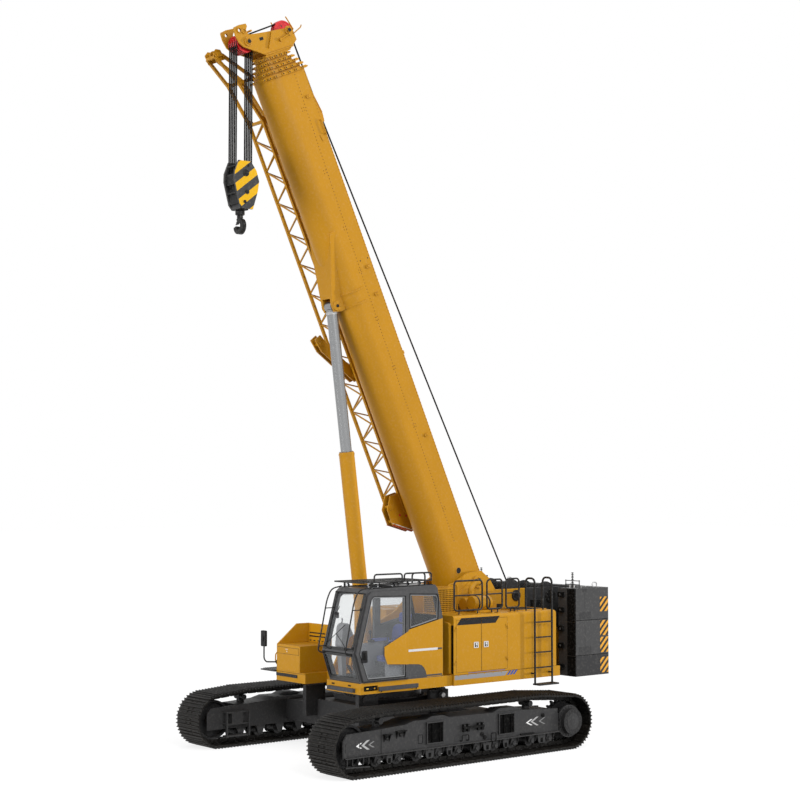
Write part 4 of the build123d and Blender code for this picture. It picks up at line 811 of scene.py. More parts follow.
@dataclass
class TrackChain:
    """Shoes, links, pins and bolts of both tracks."""

    gauge: float = 4.2
    width: float = 0.76
    shoes: int = 64
    tip: float = 0.024
    plate: float = 0.038
    chain: float = 0.085
    wheels: tuple[tuple[float, float, float], ...] = (
        (-2.545, 0.515, 0.515), (2.545, 0.515, 0.515), (1.680, 0.895, 0.200), (-1.860, 0.885, 0.200))
    link_x: float = 0.075
    grousers: tuple[float, ...] = (-0.335, 0.0, 0.335)

    def shoe_outline(self, pitch: float) -> np.ndarray:
        """Section of a shoe along the track: three bars, a dropped lip behind and a raised one in front."""
        low, root = -self.plate, -0.010
        half, crest = 0.014, 0.006
        points = [(-0.497 * pitch, low + 0.012), (-0.497 * pitch, root - 0.004)]
        for share in self.grousers:
            middle = share * pitch
            points += [(middle - half - 0.010, root), (middle - half, root + 0.006),
                       (middle - crest, self.tip),
                       (middle + crest, self.tip), (middle + half, root + 0.006),
                       (middle + half + 0.010, root)]
        points += [(0.493 * pitch, root - 0.006), (0.493 * pitch, low + 0.016),
                   (0.40 * pitch, low), (-0.43 * pitch, low)]
        return np.array(points)

    def link_outline(self, pitch: float) -> np.ndarray:
        """Section of a link: a flat rail inside, waisted towards the shoe, with a round end for each pin."""
        rail, seat = -self.tip - self.plate - self.chain + 0.024, -self.plate - 0.001
        share = np.array(((-0.47, 0.92), (-0.50, 0.55), (-0.46, 0.12), (-0.38, 0.0), (0.38, 0.0),
                          (0.46, 0.12),
                          (0.50, 0.55), (0.47, 0.92), (0.34, 1.0), (0.22, 0.86), (-0.22, 0.86), (-0.34, 1.0)))
        return np.stack((share[:, 0] * pitch * 0.985, rail + share[:, 1] * (seat - rail)), -1)

    def build(self) -> None:
        """Place every shoe on the belt in its own axes: across, along the belt, and outwards."""
        belt = Belt(tuple((y, z, radius - self.tip) for y, z, radius in self.wheels))
        places, angle, pitch = belt.frames(self.shoes)
        zero = np.zeros_like(angle)
        out = np.stack((zero, np.cos(angle), np.sin(angle)), -1)
        ahead = np.stack((zero, -np.sin(angle), np.cos(angle)), -1)
        axes = np.stack((np.broadcast_to(EAST, out.shape), ahead, out), 1)
        for side, node in ((1.0, "track_left"), (-1.0, "track_right")):
            middle = np.column_stack((np.full(len(places), side * self.gauge / 2), places))
            chain = Shape()
            self._extrude(chain, self.shoe_outline(pitch), 0.0, self.width, middle, axes)
            for x in (-self.link_x, self.link_x):
                self._extrude(chain, self.link_outline(pitch), x, 0.062, middle, axes)
            for x in (-self.link_x, self.link_x):
                for share in (-0.168, 0.168):
                    heads = middle + x * EAST + share * pitch * ahead - 0.011 * out
                    for place, frame in zip(heads, axes):
                        chain.bolts(place, frame[2], 0.015, 0.015)
            turn = np.linspace(0.0, 2.0 * np.pi, 10, endpoint=False)
            disc = np.stack((np.cos(turn) * 0.024, np.sin(turn) * 0.024), -1)
            self._extrude(chain, disc + (0.5 * pitch, -0.082), 0.0, 0.235, middle, axes)
            chain.piece(f"{node}_chain", (TRACK_STEEL,), "undercarriage", bevel=0.0022,
                        replaces=(node,))

    @staticmethod
    def _extrude(shape: Shape, outline: np.ndarray, x: float, width: float, places: np.ndarray,
                 axes: np.ndarray) -> None:
        """Copy a section, drawn out across the track, to every place."""
        n = len(outline)
        ends = [np.column_stack((np.full(n, x + half * width / 2), outline)) for half in (-1, 1)]
        ring = np.arange(n)
        faces = [tuple(ring[::-1]), tuple(ring + n)]
        faces += [(i, (i + 1) % n, (i + 1) % n + n, i + n) for i in ring]
        shape.copies(np.vstack(ends), faces, places, axes)


# ----------------------------------------------------------------- ropes
@dataclass
class Ropes:
    """Hoist rope over the guide roller and the head's sheaves, and the falls."""

    radius: float = 0.016
    winch: tuple[float, float] = (3.000, 2.785)
    drum: float = 0.2065
    guide: tuple[float, float] = (9.420, -0.400)
    guide_radius: float = 0.0515
    rear: tuple[float, float] = (11.100, -0.260)
    head: tuple[float, float] = (11.133, 0.690)
    rear_radius: float = 0.202
    head_radius: float = 0.167
    rope_x: float = 0.060
    fall_radius: float = 0.0145
    fall_x: tuple[float, ...] = (-0.112, -0.056, 0.0, 0.056, 0.112)
    fall_reach: float = 0.1653
    block_drop: float = 2.3706

    def build(self) -> None:
        """Run each straight length from tangent point to tangent point."""
        self._falls()
        guide = boom_at(self.rope_x, *self.guide)
        rear = boom_at(0.0, *self.rear)
        head = boom_at(0.0, *self.head)
        drum = np.array((self.rope_x, *self.winch))
        off_guide = guide - DOWN * self.guide_radius
        start = self._tangent(drum, self.drum, off_guide)
        lower = Shape()
        lower.tube(np.linspace(start, off_guide, 60), self.radius, 10)
        fall = lower.piece("hoist_rope_lower", (ROPE,), None, replaces=("hoist_rope",))
        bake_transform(fall)
        top = rear - DOWN * self.rear_radius
        turn = np.linspace(-0.25, 1.15, 16)
        over_rear = rear + np.outer(-np.cos(turn), DOWN) * self.rear_radius + np.outer(np.sin(turn),
                                                                                       ALONG) * (
            self.rear_radius)
        stages = ("boom", "tele_2", "tele_3", "tele_4", "tele_5")
        joints = np.linspace(off_guide, top, len(stages))
        for k, (inner, outer) in enumerate(zip(stages[:-1], stages[1:])):
            middle = Shape()
            middle.tube(np.linspace(joints[k], joints[k + 1], 16), self.radius, 10)
            slack = middle.piece(f"hoist_rope_middle_{k + 1}", (ROPE,), None)
            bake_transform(slack)
        upper = Shape()
        front = np.linspace(0.45, 1.2, 14)
        over_head = head + np.outer(np.cos(front - 1.2), ALONG) * self.head_radius + np.outer(
            np.sin(front - 1.2), DOWN) * self.head_radius
        for x in (0.0, 0.056):
            upper.tube(np.vstack((over_rear, over_head)) + x * EAST, self.fall_radius, 10)
        upper.piece("hoist_rope_upper", (ROPE,), "tele_5")

    def _falls(self) -> None:
        """Straight falls between the head's sheaves and the block's, round the block's sheaves below."""
        head = boom_at(0.0, *self.head)
        low = head - self.block_drop * UP
        turn = np.linspace(0.0, np.pi, 15)
        under = low + self.fall_reach * (np.outer(np.cos(turn), NORTH) - np.outer(np.sin(turn), UP))
        top = self.fall_reach * NORTH
        falls = Shape()
        for x in self.fall_x:
            path = np.vstack((head + top, under, head - top)) + x * EAST
            falls.tube(path, self.fall_radius, 10)
        falls.piece("block_falls", (ROPE,), "block", replaces=("rope_falls",))

    @staticmethod
    def _tangent(centre: np.ndarray, radius: float, target: np.ndarray) -> np.ndarray:
        """Point where a line from the target touches a drum's far side."""
        reach = target - centre
        span = float(np.linalg.norm(reach[1:]))
        lean = math.atan2(reach[2], reach[1]) - math.acos(radius / span)
        return centre + radius * np.array((0.0, math.cos(lean), math.sin(lean)))


# ----------------------------------------------------------------- markings
@dataclass
class Chevrons:
    """Three arrowheads at each end of the track frame's outer face, fading towards the rear."""

    face: float = 2.370
    proud: float = 0.0015
    panel: float = 0.0041
    # tip (y, z), arm's length, half height and thickness
    places: tuple[tuple[tuple[float, float], float, float, float], ...] = (
        ((-2.503, 0.540), 0.081, 0.045, 0.050), ((-2.389, 0.542), 0.120, 0.079, 0.060),
        ((-2.242, 0.540), 0.100, 0.050, 0.040), ((1.431, 0.578), 0.120, 0.055, 0.050),
        ((1.545, 0.587), 0.150, 0.078, 0.060), ((1.757, 0.578), 0.130, 0.060, 0.040))

    def build(self) -> None:
        """Lay the plates on the left frame's face."""
        marks = Shape()
        for k, ((y, z), arm, rise, thick) in enumerate(self.places):
            outline = ((y, z), (y + arm, z + rise), (y + arm + thick, z + rise), (y + thick, z),
                       (y + arm + thick, z - rise), (y + arm, z - rise))
            marks.plate(outline, self.face + (self.panel if k < 3 else 0.0), self.proud, k % 3)
        marks.piece("track_chevrons", (WHITE_MARK, PALE_MARK, DIM_MARK), "undercarriage")


# ----------------------------------------------------------------- undercarriage's trim
@dataclass
class TrackFrameTrim:
    """Pockets, brackets, guards, roller caps and bolts of both track frames."""

    face: float = 2.370
    hub_face: float = 2.480
    rollers: tuple[float, float, int] = (-2.000, 2.060, 10)
    roller_z: float = 0.232
    pockets: tuple[float, float] = (-0.765, 0.939)
    wheel: tuple[float, float] = (2.545, 0.515)

    def build(self) -> None:
        """Dress both sides the same way, mirrored."""
        for sign, name in ((1.0, "left"), (-1.0, "right")):
            trim = Shape()
            self._plates(trim, sign)
            self._pockets(trim, sign)
            self._rollers(trim, sign)
            self._drive(trim, sign)
            trim.piece(f"track_frame_trim_{name}", (FRAME_BLACK, PIT_SHADE_AND_GAP_BLACK, HUB_GREY, TRACK_STEEL), "undercarriage",
                       bevel=0.003)
            lugs = Shape()
            self._brackets(lugs, sign)
            lugs.piece(f"track_brackets_{name}", (BRACKET_BLACK, PIT_SHADE_AND_GAP_BLACK, FRAME_BLACK), "undercarriage",
                       bevel=0.003)
        self._carbody()

    def _plates(self, trim: Shape, sign: float) -> None:
        """Front panel, bottom ledge, top deflectors and their bolts."""
        x = sign * self.face
        trim.plate(((-2.765, 0.372), (-1.972, 0.372), (-1.972, 0.762), (-2.690, 0.736), (-2.765, 0.634)), x,
                   sign * 0.004)
        trim.plate(((-1.966, 0.36), (-1.956, 0.36), (-1.956, 0.77), (-1.966, 0.77)), x, sign * 0.002, 1)
        trim.plate(((2.268, 0.36), (2.284, 0.36), (2.284, 0.79), (2.268, 0.79)), x, sign * 0.003, 1)
        trim.plate(((-2.76, 0.345), (2.245, 0.345), (2.245, 0.362), (-2.76, 0.362)), x, sign * 0.055)
        for low, high in ((-0.98, -0.39), (0.62, 1.36)):
            top = ((low, 0.836), (low + 0.16, 0.895), (high - 0.16, 0.890), (high, 0.832))
            trim.plate(top, x - sign * 0.27, sign * 0.262)
        y = np.arange(-2.66, -1.99, 0.13)
        heads = np.stack((np.full_like(y, x + sign * 0.004), y, np.full_like(y, 0.392)), -1)
        trim.bolts(heads, (sign, 0, 0), 0.010, 0.008)

    def _pockets(self, trim: Shape, sign: float) -> None:
        """Ends of the crossbeams: a rim round a well whose near-black plate and two ribs are painted shade."""
        x = sign * self.face
        for y in self.pockets:
            outline = ((y - 0.196, 0.422), (y + 0.196, 0.422), (y + 0.196, 0.800), (y - 0.196, 0.800))
            trim.plate(outline, x, sign * 0.003, 1)
            trim.border(outline, 0.018, x, sign * 0.028)
            for rib in (y - 0.07, y + 0.10):
                trim.plate(((rib, 0.44), (rib + 0.012, 0.44), (rib + 0.012, 0.782), (rib, 0.782)), x,
                           sign * 0.022, 1)
            trim.plate(((y - 0.17, 0.60), (y - 0.09, 0.60), (y - 0.09, 0.615), (y - 0.17, 0.615)), x,
                       sign * 0.02, 1)
            corners = [(x + sign * 0.028, y + dy, z) for dy in (-0.187, 0.187) for z in (0.431, 0.791)]
            trim.bolts(corners, (sign, 0, 0), 0.008, 0.006)

    def _brackets(self, trim: Shape, sign: float) -> None:
        """Lugs, the mid bracket with its ears, an inspection slot, eyes and a rail."""
        x = sign * self.face
        for low, high, top in ((-1.925, -1.755, 0.684), (-1.65, -1.43, 0.718)):
            trim.plate(((low, top), (high, top), (high, top - 0.016), (low, top - 0.016)), x, sign * 0.062)
            for rib in (low + 0.02, high - 0.036):
                trim.prism(((0.0, 0.0), (0.055, 0.0), (0.0, -0.12)), (x, rib + 0.016, top - 0.016),
                           (sign, 0, 0), UP, sign * 0.016)
            trim.disc((x, (low + high) / 2, top - 0.075), (sign, 0, 0), 0.032, 0.020)
            trim.bolts([(x + sign * 0.02, (low + high) / 2, top - 0.075)], (sign, 0, 0), 0.012, 0.012, 2)
        slot = rounded(((x + sign * 0.002, -1.14, 0.452), (x + sign * 0.002, -1.04, 0.452),
                        (x + sign * 0.002, -1.04, 0.598), (x + sign * 0.002, -1.14, 0.598)), 0.02, 5, True)
        trim.tube(slot, 0.0045, 6, True, 1)
        trim.plate(((-0.13, 0.612), (0.365, 0.612), (0.365, 0.648), (-0.13, 0.648)), x, sign * 0.058)
        for ear in (-0.125, -0.03, 0.22, 0.315):
            trim.plate(((ear, 0.560), (ear + 0.045, 0.560), (ear + 0.045, 0.692), (ear, 0.692)), x,
                       sign * 0.048)
            trim.disc((x + sign * 0.048, ear + 0.022, 0.670), (sign, 0, 0), 0.013, 0.008, 2)
        for low, high, foot, top in ((-0.175, -0.02, 0.408, 0.51), (0.52, 0.635, 0.33, 0.485)):
            grip = ((x, low, foot), (x + sign * 0.06, low, foot), (x + sign * 0.06, low, top),
                    (x + sign * 0.06, high, top), (x + sign * 0.06, high, foot), (x, high, foot))
            trim.pipe(grip, 0.010, 0.03)
        for y, z in ((0.35, 0.475), (0.41, 0.415), (1.86, 0.68)):
            trim.disc((x, y, z), (sign, 0, 0), 0.040, 0.016)
            trim.bolts([(x + sign * 0.016, y, z)], (sign, 0, 0), 0.016, 0.013)
        trim.plate(((1.28, 0.375), (1.62, 0.375), (1.62, 0.395), (1.28, 0.395)), x, sign * 0.035)

    def _rollers(self, trim: Shape, sign: float) -> None:
        """Caps with bolts at the rollers' axles, and guards between the hangers."""
        first, last, count = self.rollers
        y = np.linspace(first, last, count)
        x = sign * (self.face - 0.030)
        for place in y:
            trim.disc((x, place, self.roller_z), (sign, 0, 0), 0.043, 0.024)
            around = np.radians(np.arange(4) * 90.0 + 45.0)
            heads = np.stack((np.full(4, x + sign * 0.024), place + 0.028 * np.cos(around),
                              self.roller_z + 0.028 * np.sin(around)), -1)
            trim.bolts(heads, (sign, 0, 0), 0.0065, 0.006, 2)
            for side in (-1.0, 1.0):
                foot = place + side * 0.085
                trim.prism(((0.0, 0.0), (0.052, 0.0), (0.0, -0.13)), (x, foot + 0.006, 0.345), (sign, 0, 0),
                           UP,
                           sign * 0.012)
        middle = (y[:-1] + y[1:]) / 2
        for k, place in enumerate(middle):
            if k % 3 == 1:
                continue
            half = 0.105 if k % 3 else 0.075
            guard = ((place - half, 0.345), (place + half, 0.345), (place + half - 0.02, 0.205),
                     (place + half - 0.05, 0.175), (place - half + 0.05, 0.175), (place - half + 0.02, 0.205))
            trim.plate(guard, x + sign * 0.012, sign * 0.016)
            trim.bolts([(x + sign * 0.028, place + dy, 0.318) for dy in (-0.045, 0.045)], (sign, 0, 0), 0.011,
                       0.009)
            trim.plate(((place - 0.03, 0.19), (place + 0.03, 0.19), (place + 0.03, 0.27),
                        (place - 0.03, 0.27)),
                       x + sign * 0.028, sign * 0.003, 1)
        for k in range(5):
            low = -2.70 + k * 0.115
            trim.prism(((0.0, 0.0), (0.045, 0.0), (0.045, -0.12), (0.012, -0.15), (0.0, -0.10)),
                       (x, low + 0.014, 0.345), (sign, 0, 0), UP, sign * 0.014)
        trim.plate(((-2.72, 0.19), (-2.21, 0.165), (-2.21, 0.185), (-2.72, 0.21)), x, sign * 0.045)

    def _drive(self, trim: Shape, sign: float) -> None:
        """Final drive's cover: a stepped dish, a ring of bolts and two plugs; and the idler's slide block."""
        y, z = self.wheel
        hub = np.array((sign * self.hub_face, y, z))
        trim.turned(((0.150, 0.0), (0.146, 0.005), (0.060, 0.006), (0.055, 0.008)), hub, (sign, 0, 0), 32, 0)
        around = np.linspace(0.0, 2.0 * np.pi, 16, endpoint=False)
        heads = hub + np.stack((np.zeros(16), 0.195 * np.cos(around), 0.195 * np.sin(around)), -1)
        trim.bolts(heads, (sign, 0, 0), 0.011, 0.008)
        trim.bolts([hub + (sign * 0.006, 0.05, -0.09), hub + (sign * 0.006, -0.09, 0.05)], (sign, 0, 0),
                   0.010, 0.003)
        flange = np.array((sign * (self.face + 0.001), y, z))
        around = np.linspace(0.0, 2.0 * np.pi, 24, endpoint=False)
        heads = flange + np.stack((np.zeros(24), 0.268 * np.cos(around), 0.268 * np.sin(around)), -1)
        trim.bolts(heads, (sign, 0, 0), 0.012, 0.010)
        trim.ring(flange, (sign, 0, 0), 0.250, 0.238, 0.020)
        slide = ((-2.72, 0.44), (-2.42, 0.44), (-2.42, 0.59), (-2.72, 0.59))
        trim.border(slide, 0.012, sign * (self.face + 0.003), sign * 0.006)

    def _carbody(self) -> None:
        """Ring bolts, bracket pins and plates on the middle of the undercarriage."""
        trim = Shape()
        around = np.linspace(0.0, 2.0 * np.pi, 48, endpoint=False)
        ring = np.stack((0.735 * np.cos(around), 0.735 * np.sin(around), np.full(48, 1.0)), -1)
        trim.ring((0.0, 0.0, 0.985), UP, 0.775, 0.60, 0.014, steps=64)
        trim.bolts(ring, UP, 0.016, 0.022)
        for sign in (1.0, -1.0):
            x = sign * 0.860
            trim.disc((x, 0.700, 1.000), (sign, 0, 0), 0.095, 0.030)
            trim.disc((x + sign * 0.03, 0.700, 1.000), (sign, 0, 0), 0.045, 0.022, 2)
            trim.disc((x, -1.120, 1.060), (sign, 0, 0), 0.070, 0.025)
            trim.bolts([(x, y, z) for y in (-1.22, -0.87) for z in (0.70, 1.10)], (sign, 0, 0), 0.014, 0.012)
            trim.border(((-1.24, 0.66), (-0.85, 0.66), (-0.85, 0.96), (-1.24, 0.96)), 0.012, x, sign * 0.012)
            for z in (0.215, 0.435, 0.655):
                edge = np.arange(-2.40, -1.92, 0.04)
                treads = np.stack((np.full_like(edge, sign * 1.77), edge, np.full_like(edge, z + 0.016)), -1)
                trim.beads(treads, UP, 0.010, 0.006)
        trim.piece("carbody_trim", (FRAME_BLACK, PIT_SHADE_AND_GAP_BLACK, ZINC), "undercarriage", bevel=0.003)


# ----------------------------------------------------------------- engine house
@dataclass
class HouseTrim:
    """Latches, seams, grilles, marks and roof fittings of the two housings and the decks."""

    side: float = 1.500
    roof: float = 2.520

    def build(self) -> None:
        """Dress the near house, its doors, the far house, the decks and the tool box."""
        self._seams()
        self._doors()
        self._marks()
        self._roof()
        self._cooler()
        self._front_column()
        self._far_side()
        self._tool_box()

    def _seams(self) -> None:
        """Dark gaskets in the door gaps and bolts on the walls."""
        trim = Shape()
        x = self.side
        for y in (1.130, 1.787, 0.503):
            trim.span((x - 0.019, y - 0.0028, 1.472), (x - 0.003, y + 0.0028, 2.438))
        for z in (1.418, 1.252):
            y = np.arange(0.56, 3.14, 0.215)
            trim.bolts(np.stack((np.full_like(y, x), y, np.full_like(y, z)), -1), EAST, 0.009, 0.007, 1)
        trim.plate(((0.445, 1.4305), (3.08, 1.4305), (3.08, 1.4365), (0.445, 1.4365)), x, 0.0015)
        trim.span((x - 0.03, 3.081, 1.45), (x - 0.02, 3.084, 2.44), 0)
        trim.piece("house_seams", (RUBBER, YELLOW), "upper", bevel=0.001)

    def _doors(self) -> None:
        """A paddle latch and a lower panel crease on each hood door."""
        for body, latch, low, high in (("hood_door_a", 0.995, 0.506, 1.124),
                                       ("hood_door_b", 1.243, 1.136, 1.784)):
            trim = Shape()
            x = self.side
            y, z = latch, 1.960
            trim.plate(((y - 0.058, z - 0.055), (y + 0.058, z - 0.055), (y + 0.058, z + 0.055),
                        (y - 0.058, z + 0.055)), x, 0.006)
            trim.plate(((y - 0.034, z - 0.040), (y + 0.034, z - 0.040), (y + 0.034, z + 0.040),
                        (y - 0.034, z + 0.040)), x + 0.006, 0.002, 1)
            trim.plate(((y - 0.020, z - 0.008), (y + 0.020, z - 0.008), (y + 0.020, z + 0.036),
                        (y - 0.020, z + 0.036)), x + 0.008, 0.006)
            trim.disc((x + 0.008, y, z - 0.026), EAST, 0.010, 0.004)
            trim.border(((low + 0.012, 1.490), (high - 0.012, 1.490), (high - 0.012, 2.420),
                         (low + 0.012, 2.420)),
                        0.006, x, 0.0012, 2)
            trim.piece(f"{body}_trim", (ZINC, DARK_MARK_AND_HOLE_SHADE, YELLOW), body, bevel=0.0012)

    def _marks(self) -> None:
        """Plain slanted panel across both doors, a grey band, a blue line and three short slashes."""
        x, proud = self.side, 0.0016
        low, high, cut, top = 2.345, 2.434, 2.441, 2.470

        def left(z: float) -> float:
            """Slanted end of the panel at a height."""
            return 0.515 + (z - low) * 0.90

        def right(z: float) -> float:
            """The other end of the panel."""
            return 1.483 + (z - low) * 0.90

        strip = Shape()
        strip.plate(((left(cut), cut), (right(cut), cut), (right(top), top), (left(top), top)), x, proud)
        band = ((0.462, 1.345), (1.722, 1.345), (1.800, 1.425), (0.462, 1.425))
        strip.plate(band, x, proud, 1)
        strip.plate(((0.80, 1.449), (1.722, 1.449), (1.722, 1.460), (0.80, 1.460)), x, proud, 2)
        for start in (1.768, 1.845, 1.922):
            strip.plate(((start, 1.350), (start + 0.050, 1.350), (start + 0.126, 1.430),
                         (start + 0.076, 1.430)),
                        x, proud, 2)
        strip.piece("house_marks", (DARK_MARK_AND_HOLE_SHADE, BAND_GREY, BAND_BLUE), "upper")
        for body, outline in (
            ("hood_door_a", ((left(low), low), (1.124, low), (1.124, high), (left(high), high))),
            ("hood_door_b", ((1.136, low), (right(low), low), (right(high), high), (1.136, high))),
        ):
            panel = Shape()
            panel.plate(outline, x, proud)
            panel.piece(f"{body}_mark", (DARK_MARK_AND_HOLE_SHADE,), body)

    def _roof(self) -> None:
        """Exhaust, air cleaner, hatch, feet under the rails and a grille on the near housing."""
        trim = Shape()
        z = self.roof
        for y0, y1 in ((0.54, 1.24), (1.36, 1.75), (1.85, 2.19)):
            for y in (y0 + 0.12, y1 - 0.12):
                trim.box((1.400, y, z + 0.006), (0.10, 0.07, 0.012))
                trim.bolts([(1.370, y, z + 0.012), (1.430, y, z + 0.012)], UP, 0.008, 0.008)
        trim.pipe(((0.78, 1.50, z), (0.78, 1.50, z + 0.46), (0.78, 1.72, z + 0.56)), 0.055, 0.12)
        trim.turned(((0.115, 0.0), (0.125, 0.02), (0.125, 0.38), (0.10, 0.42), (0.058, 0.44)),
                    (0.78, 1.30, z + 0.14),
                    NORTH, 28)
        trim.turned(((0.13, 0.0), (0.14, 0.02), (0.14, 0.42), (0.13, 0.44)), (1.02, 1.30, z + 0.17), NORTH,
                    28)
        for y in (1.38, 1.64):
            trim.ring((1.02, y, z + 0.17), NORTH, 0.147, 0.139, 0.03, 1)
        trim.box((1.02, 1.52, z + 0.02), (0.20, 0.36, 0.04))
        trim.box((0.78, 1.52, z + 0.012), (0.16, 0.40, 0.024))
        for k in range(12):
            trim.box((1.02, 2.28 + k * 0.055, z + 0.012), (0.62, 0.022, 0.010), mark=1)
        for x in (0.695, 1.345):
            trim.box((x, 2.585, z + 0.010), (0.03, 0.69, 0.020))
        for y in (2.225, 2.945):
            trim.box((1.02, y, z + 0.010), (0.68, 0.03, 0.020))
        trim.box((0.70, 2.02, z + 0.09), (0.26, 0.22, 0.18))
        trim.disc((0.70, 2.02, z + 0.18), UP, 0.055, 0.035, 1)
        arch = ((0.62, 1.06, z), (0.62, 1.06, z + 0.52), (0.62, 1.30, z + 0.52), (0.62, 1.30, z))
        trim.pipe(arch, 0.016, 0.10)
        trim.piece("house_roof_trim", (YELLOW, RAIL_BLACK), "upper", bevel=0.004)

    def _cooler(self) -> None:
        """Rows of round holes in the cooler's box, drawn as near-black discs of painted shade, its rim and a top
        grille.
        """
        holes = Shape()
        y, z = np.meshgrid(np.arange(0.53, 1.0, 0.036), np.arange(2.56, 2.97, 0.036), indexing="ij")
        side = np.stack((np.full(y.size, 0.9003), y.ravel(), z.ravel()), -1)
        holes.beads(side, EAST, 0.0125, 0.0012)
        x, z = np.meshgrid(np.arange(0.59, 0.88, 0.036), np.arange(2.56, 2.97, 0.036), indexing="ij")
        front = np.stack((x.ravel(), np.full(x.size, 0.4997), z.ravel()), -1)
        holes.beads(front, -NORTH, 0.0125, 0.0012)
        holes.piece("cooler_holes", (PIT_SHADE_AND_GAP_BLACK,), "upper")
        rim = Shape()
        for y in (0.507, 1.013):
            rim.box((0.9015, y, 2.76), (0.006, 0.020, 0.48))
        for z in (2.532, 2.992):
            rim.box((0.9015, 0.76, z), (0.006, 0.52, 0.016))
        for k in range(9):
            rim.box((0.73, 0.55 + k * 0.052, 3.006), (0.30, 0.02, 0.010))
        rim.piece("cooler_rim", (YELLOW,), "upper", bevel=0.002)

    def _front_column(self) -> None:
        """Duct, a dark slot and a grille on the housing's front, beside the cab; the slot and the panel behind the
        grille's slats are near-black painted shade.
        """
        trim = Shape()
        duct = rounded(((1.237, 1.436), (1.425, 1.436), (1.425, 2.385), (1.237, 2.405)), 0.05, 6, True)
        trim.prism(duct, (0.0, 0.4398, 0.0), EAST, UP, 0.055)
        trim.prism(((1.434, 1.46), (1.488, 1.46), (1.488, 2.345), (1.434, 2.345)), (0.0, 0.4398, 0.0), EAST,
                   UP,
                   0.004, 1)
        for z in (1.55, 1.95, 2.30):
            trim.bolts([(1.262, 0.3848, z), (1.400, 0.3848, z)], -NORTH, 0.008, 0.007, 0)
        trim.prism(((0.62, 1.60), (1.16, 1.60), (1.16, 2.36), (0.62, 2.36)), (0.0, 0.4398, 0.0), EAST, UP,
                   0.003, 1)
        for z in np.arange(1.64, 2.34, 0.05):
            trim.box((0.89, 0.430, z), (0.52, 0.012, 0.018))
        trim.piece("house_front_trim", (YELLOW, PIT_SHADE_AND_GAP_BLACK), "upper", bevel=0.003)

    def _far_side(self) -> None:
        """Doors, latches, louvres and a filler on the right housing."""
        trim = Shape()
        x = -self.side
        for low, high in ((0.52, 1.20), (1.22, 1.90), (1.92, 3.00)):
            trim.border(((low, 1.48), (high, 1.48), (high, 2.42), (low, 2.42)), 0.008, x, -0.003, 1)
            trim.plate(((low + 0.012, 1.492), (high - 0.012, 1.492), (high - 0.012, 2.408),
                        (low + 0.012, 2.408)),
                       x, -0.004)
            trim.plate(((high - 0.15, 1.90), (high - 0.05, 1.90), (high - 0.05, 2.00), (high - 0.15, 2.00)),
                       x - 0.004, -0.006, 2)
            trim.plate(((high - 0.13, 1.92), (high - 0.07, 1.92), (high - 0.07, 1.98), (high - 0.13, 1.98)),
                       x - 0.010, -0.002, 1)
        for z in np.arange(1.60, 2.34, 0.055):
            trim.prism(((0.0, 0.0), (-0.016, 0.010), (-0.016, 0.020), (0.0, 0.034)), (x - 0.004, 2.10, z),
                       EAST, UP, -0.72)
        trim.disc((-1.10, 2.60, self.roof), UP, 0.075, 0.05, 1)
        trim.box((-1.00, 1.30, self.roof + 0.008), (0.70, 0.90, 0.016))
        for y in (0.90, 1.70):
            trim.disc((-0.72, y, self.roof + 0.016), UP, 0.02, 0.03, 2)
        y = np.arange(0.56, 3.14, 0.215)
        trim.bolts(np.stack((np.full_like(y, x), y, np.full_like(y, 1.418)), -1), -EAST, 0.009, 0.007)
        trim.piece("far_house_trim", (YELLOW, RUBBER, ZINC), "upper", bevel=0.002)

    def _tool_box(self) -> None:
        """The open box, its slots as dark strips of painted shade, hatch, latch, seam and grab handle, and the
        black step beside it.
        """
        body = Shape()
        body.span((-1.400, -1.500, 1.430), (-0.650, -0.750, 1.920))
        body.span((-1.400, -0.780, 1.920), (-0.650, -0.750, 2.280))
        body.plate(((-1.500, 1.920), (-1.050, 2.280), (-0.780, 2.280), (-0.780, 1.920)), -1.400, 0.030)
        body.piece("tool_box_dressed", (YELLOW,), "upper", bevel=0.005,
                   replaces=("tool_box",))
        trim = Shape()
        wall = -0.7803
        # Slots in the back wall: dark strips of painted shade.
        for z in (2.100, 2.035):
            trim.prism(rounded(((-1.33, z - 0.012), (-0.82, z - 0.012), (-0.82, z + 0.012),
                                (-1.33, z + 0.012)),
                               0.012, 4, True), (0.0, wall, 0.0), EAST, UP, 0.002, 1)
        for k in range(5):
            low = -1.33 + k * 0.13
            trim.prism(((low, 1.945), (low + 0.06, 1.945), (low + 0.06, 1.965), (low, 1.965)),
                       (0.0, wall, 0.0),
                       EAST, UP, 0.002, 1)
        front = -1.5
        trim.prism(((-1.37, 1.755), (-0.68, 1.755), (-0.68, 1.868), (-1.37, 1.868)), (0.0, front, 0.0), EAST,
                   UP,
                   0.006)
        trim.prism(((-1.376, 1.749), (-0.674, 1.749), (-0.674, 1.874), (-1.376, 1.874)), (0.0, front, 0.0),
                   EAST, UP,
                   0.0015, 1)
        trim.prism(((-1.10, 1.835), (-1.02, 1.835), (-1.02, 1.845), (-1.10, 1.845)),
                   (0.0, front - 0.006, 0.0), EAST,
                   UP, 0.006, 2)
        trim.disc((-1.05, front - 0.006, 1.80), -NORTH, 0.012, 0.006, 2)
        trim.prism(((-1.40, 1.408), (-0.47, 1.408), (-0.47, 1.414), (-1.40, 1.414)), (0.0, front, 0.0), EAST,
                   UP,
                   0.0015, 1)
        for x in np.arange(-1.36, -0.64, 0.14):
            trim.bolts([(x, front, 1.45)], -NORTH, 0.007, 0.006)
        grab = ((-1.40, -1.46, 1.775), (-1.495, -1.46, 1.72), (-1.495, -1.46, 1.56), (-1.40, -1.46, 1.505))
        trim.pipe(grab, 0.012, 0.06)
        for z in (1.66, 1.78):
            trim.plate(((-1.42, z), (-0.83, z), (-0.83, z + 0.012), (-1.42, z + 0.012)), -1.4, -0.0015, 1)
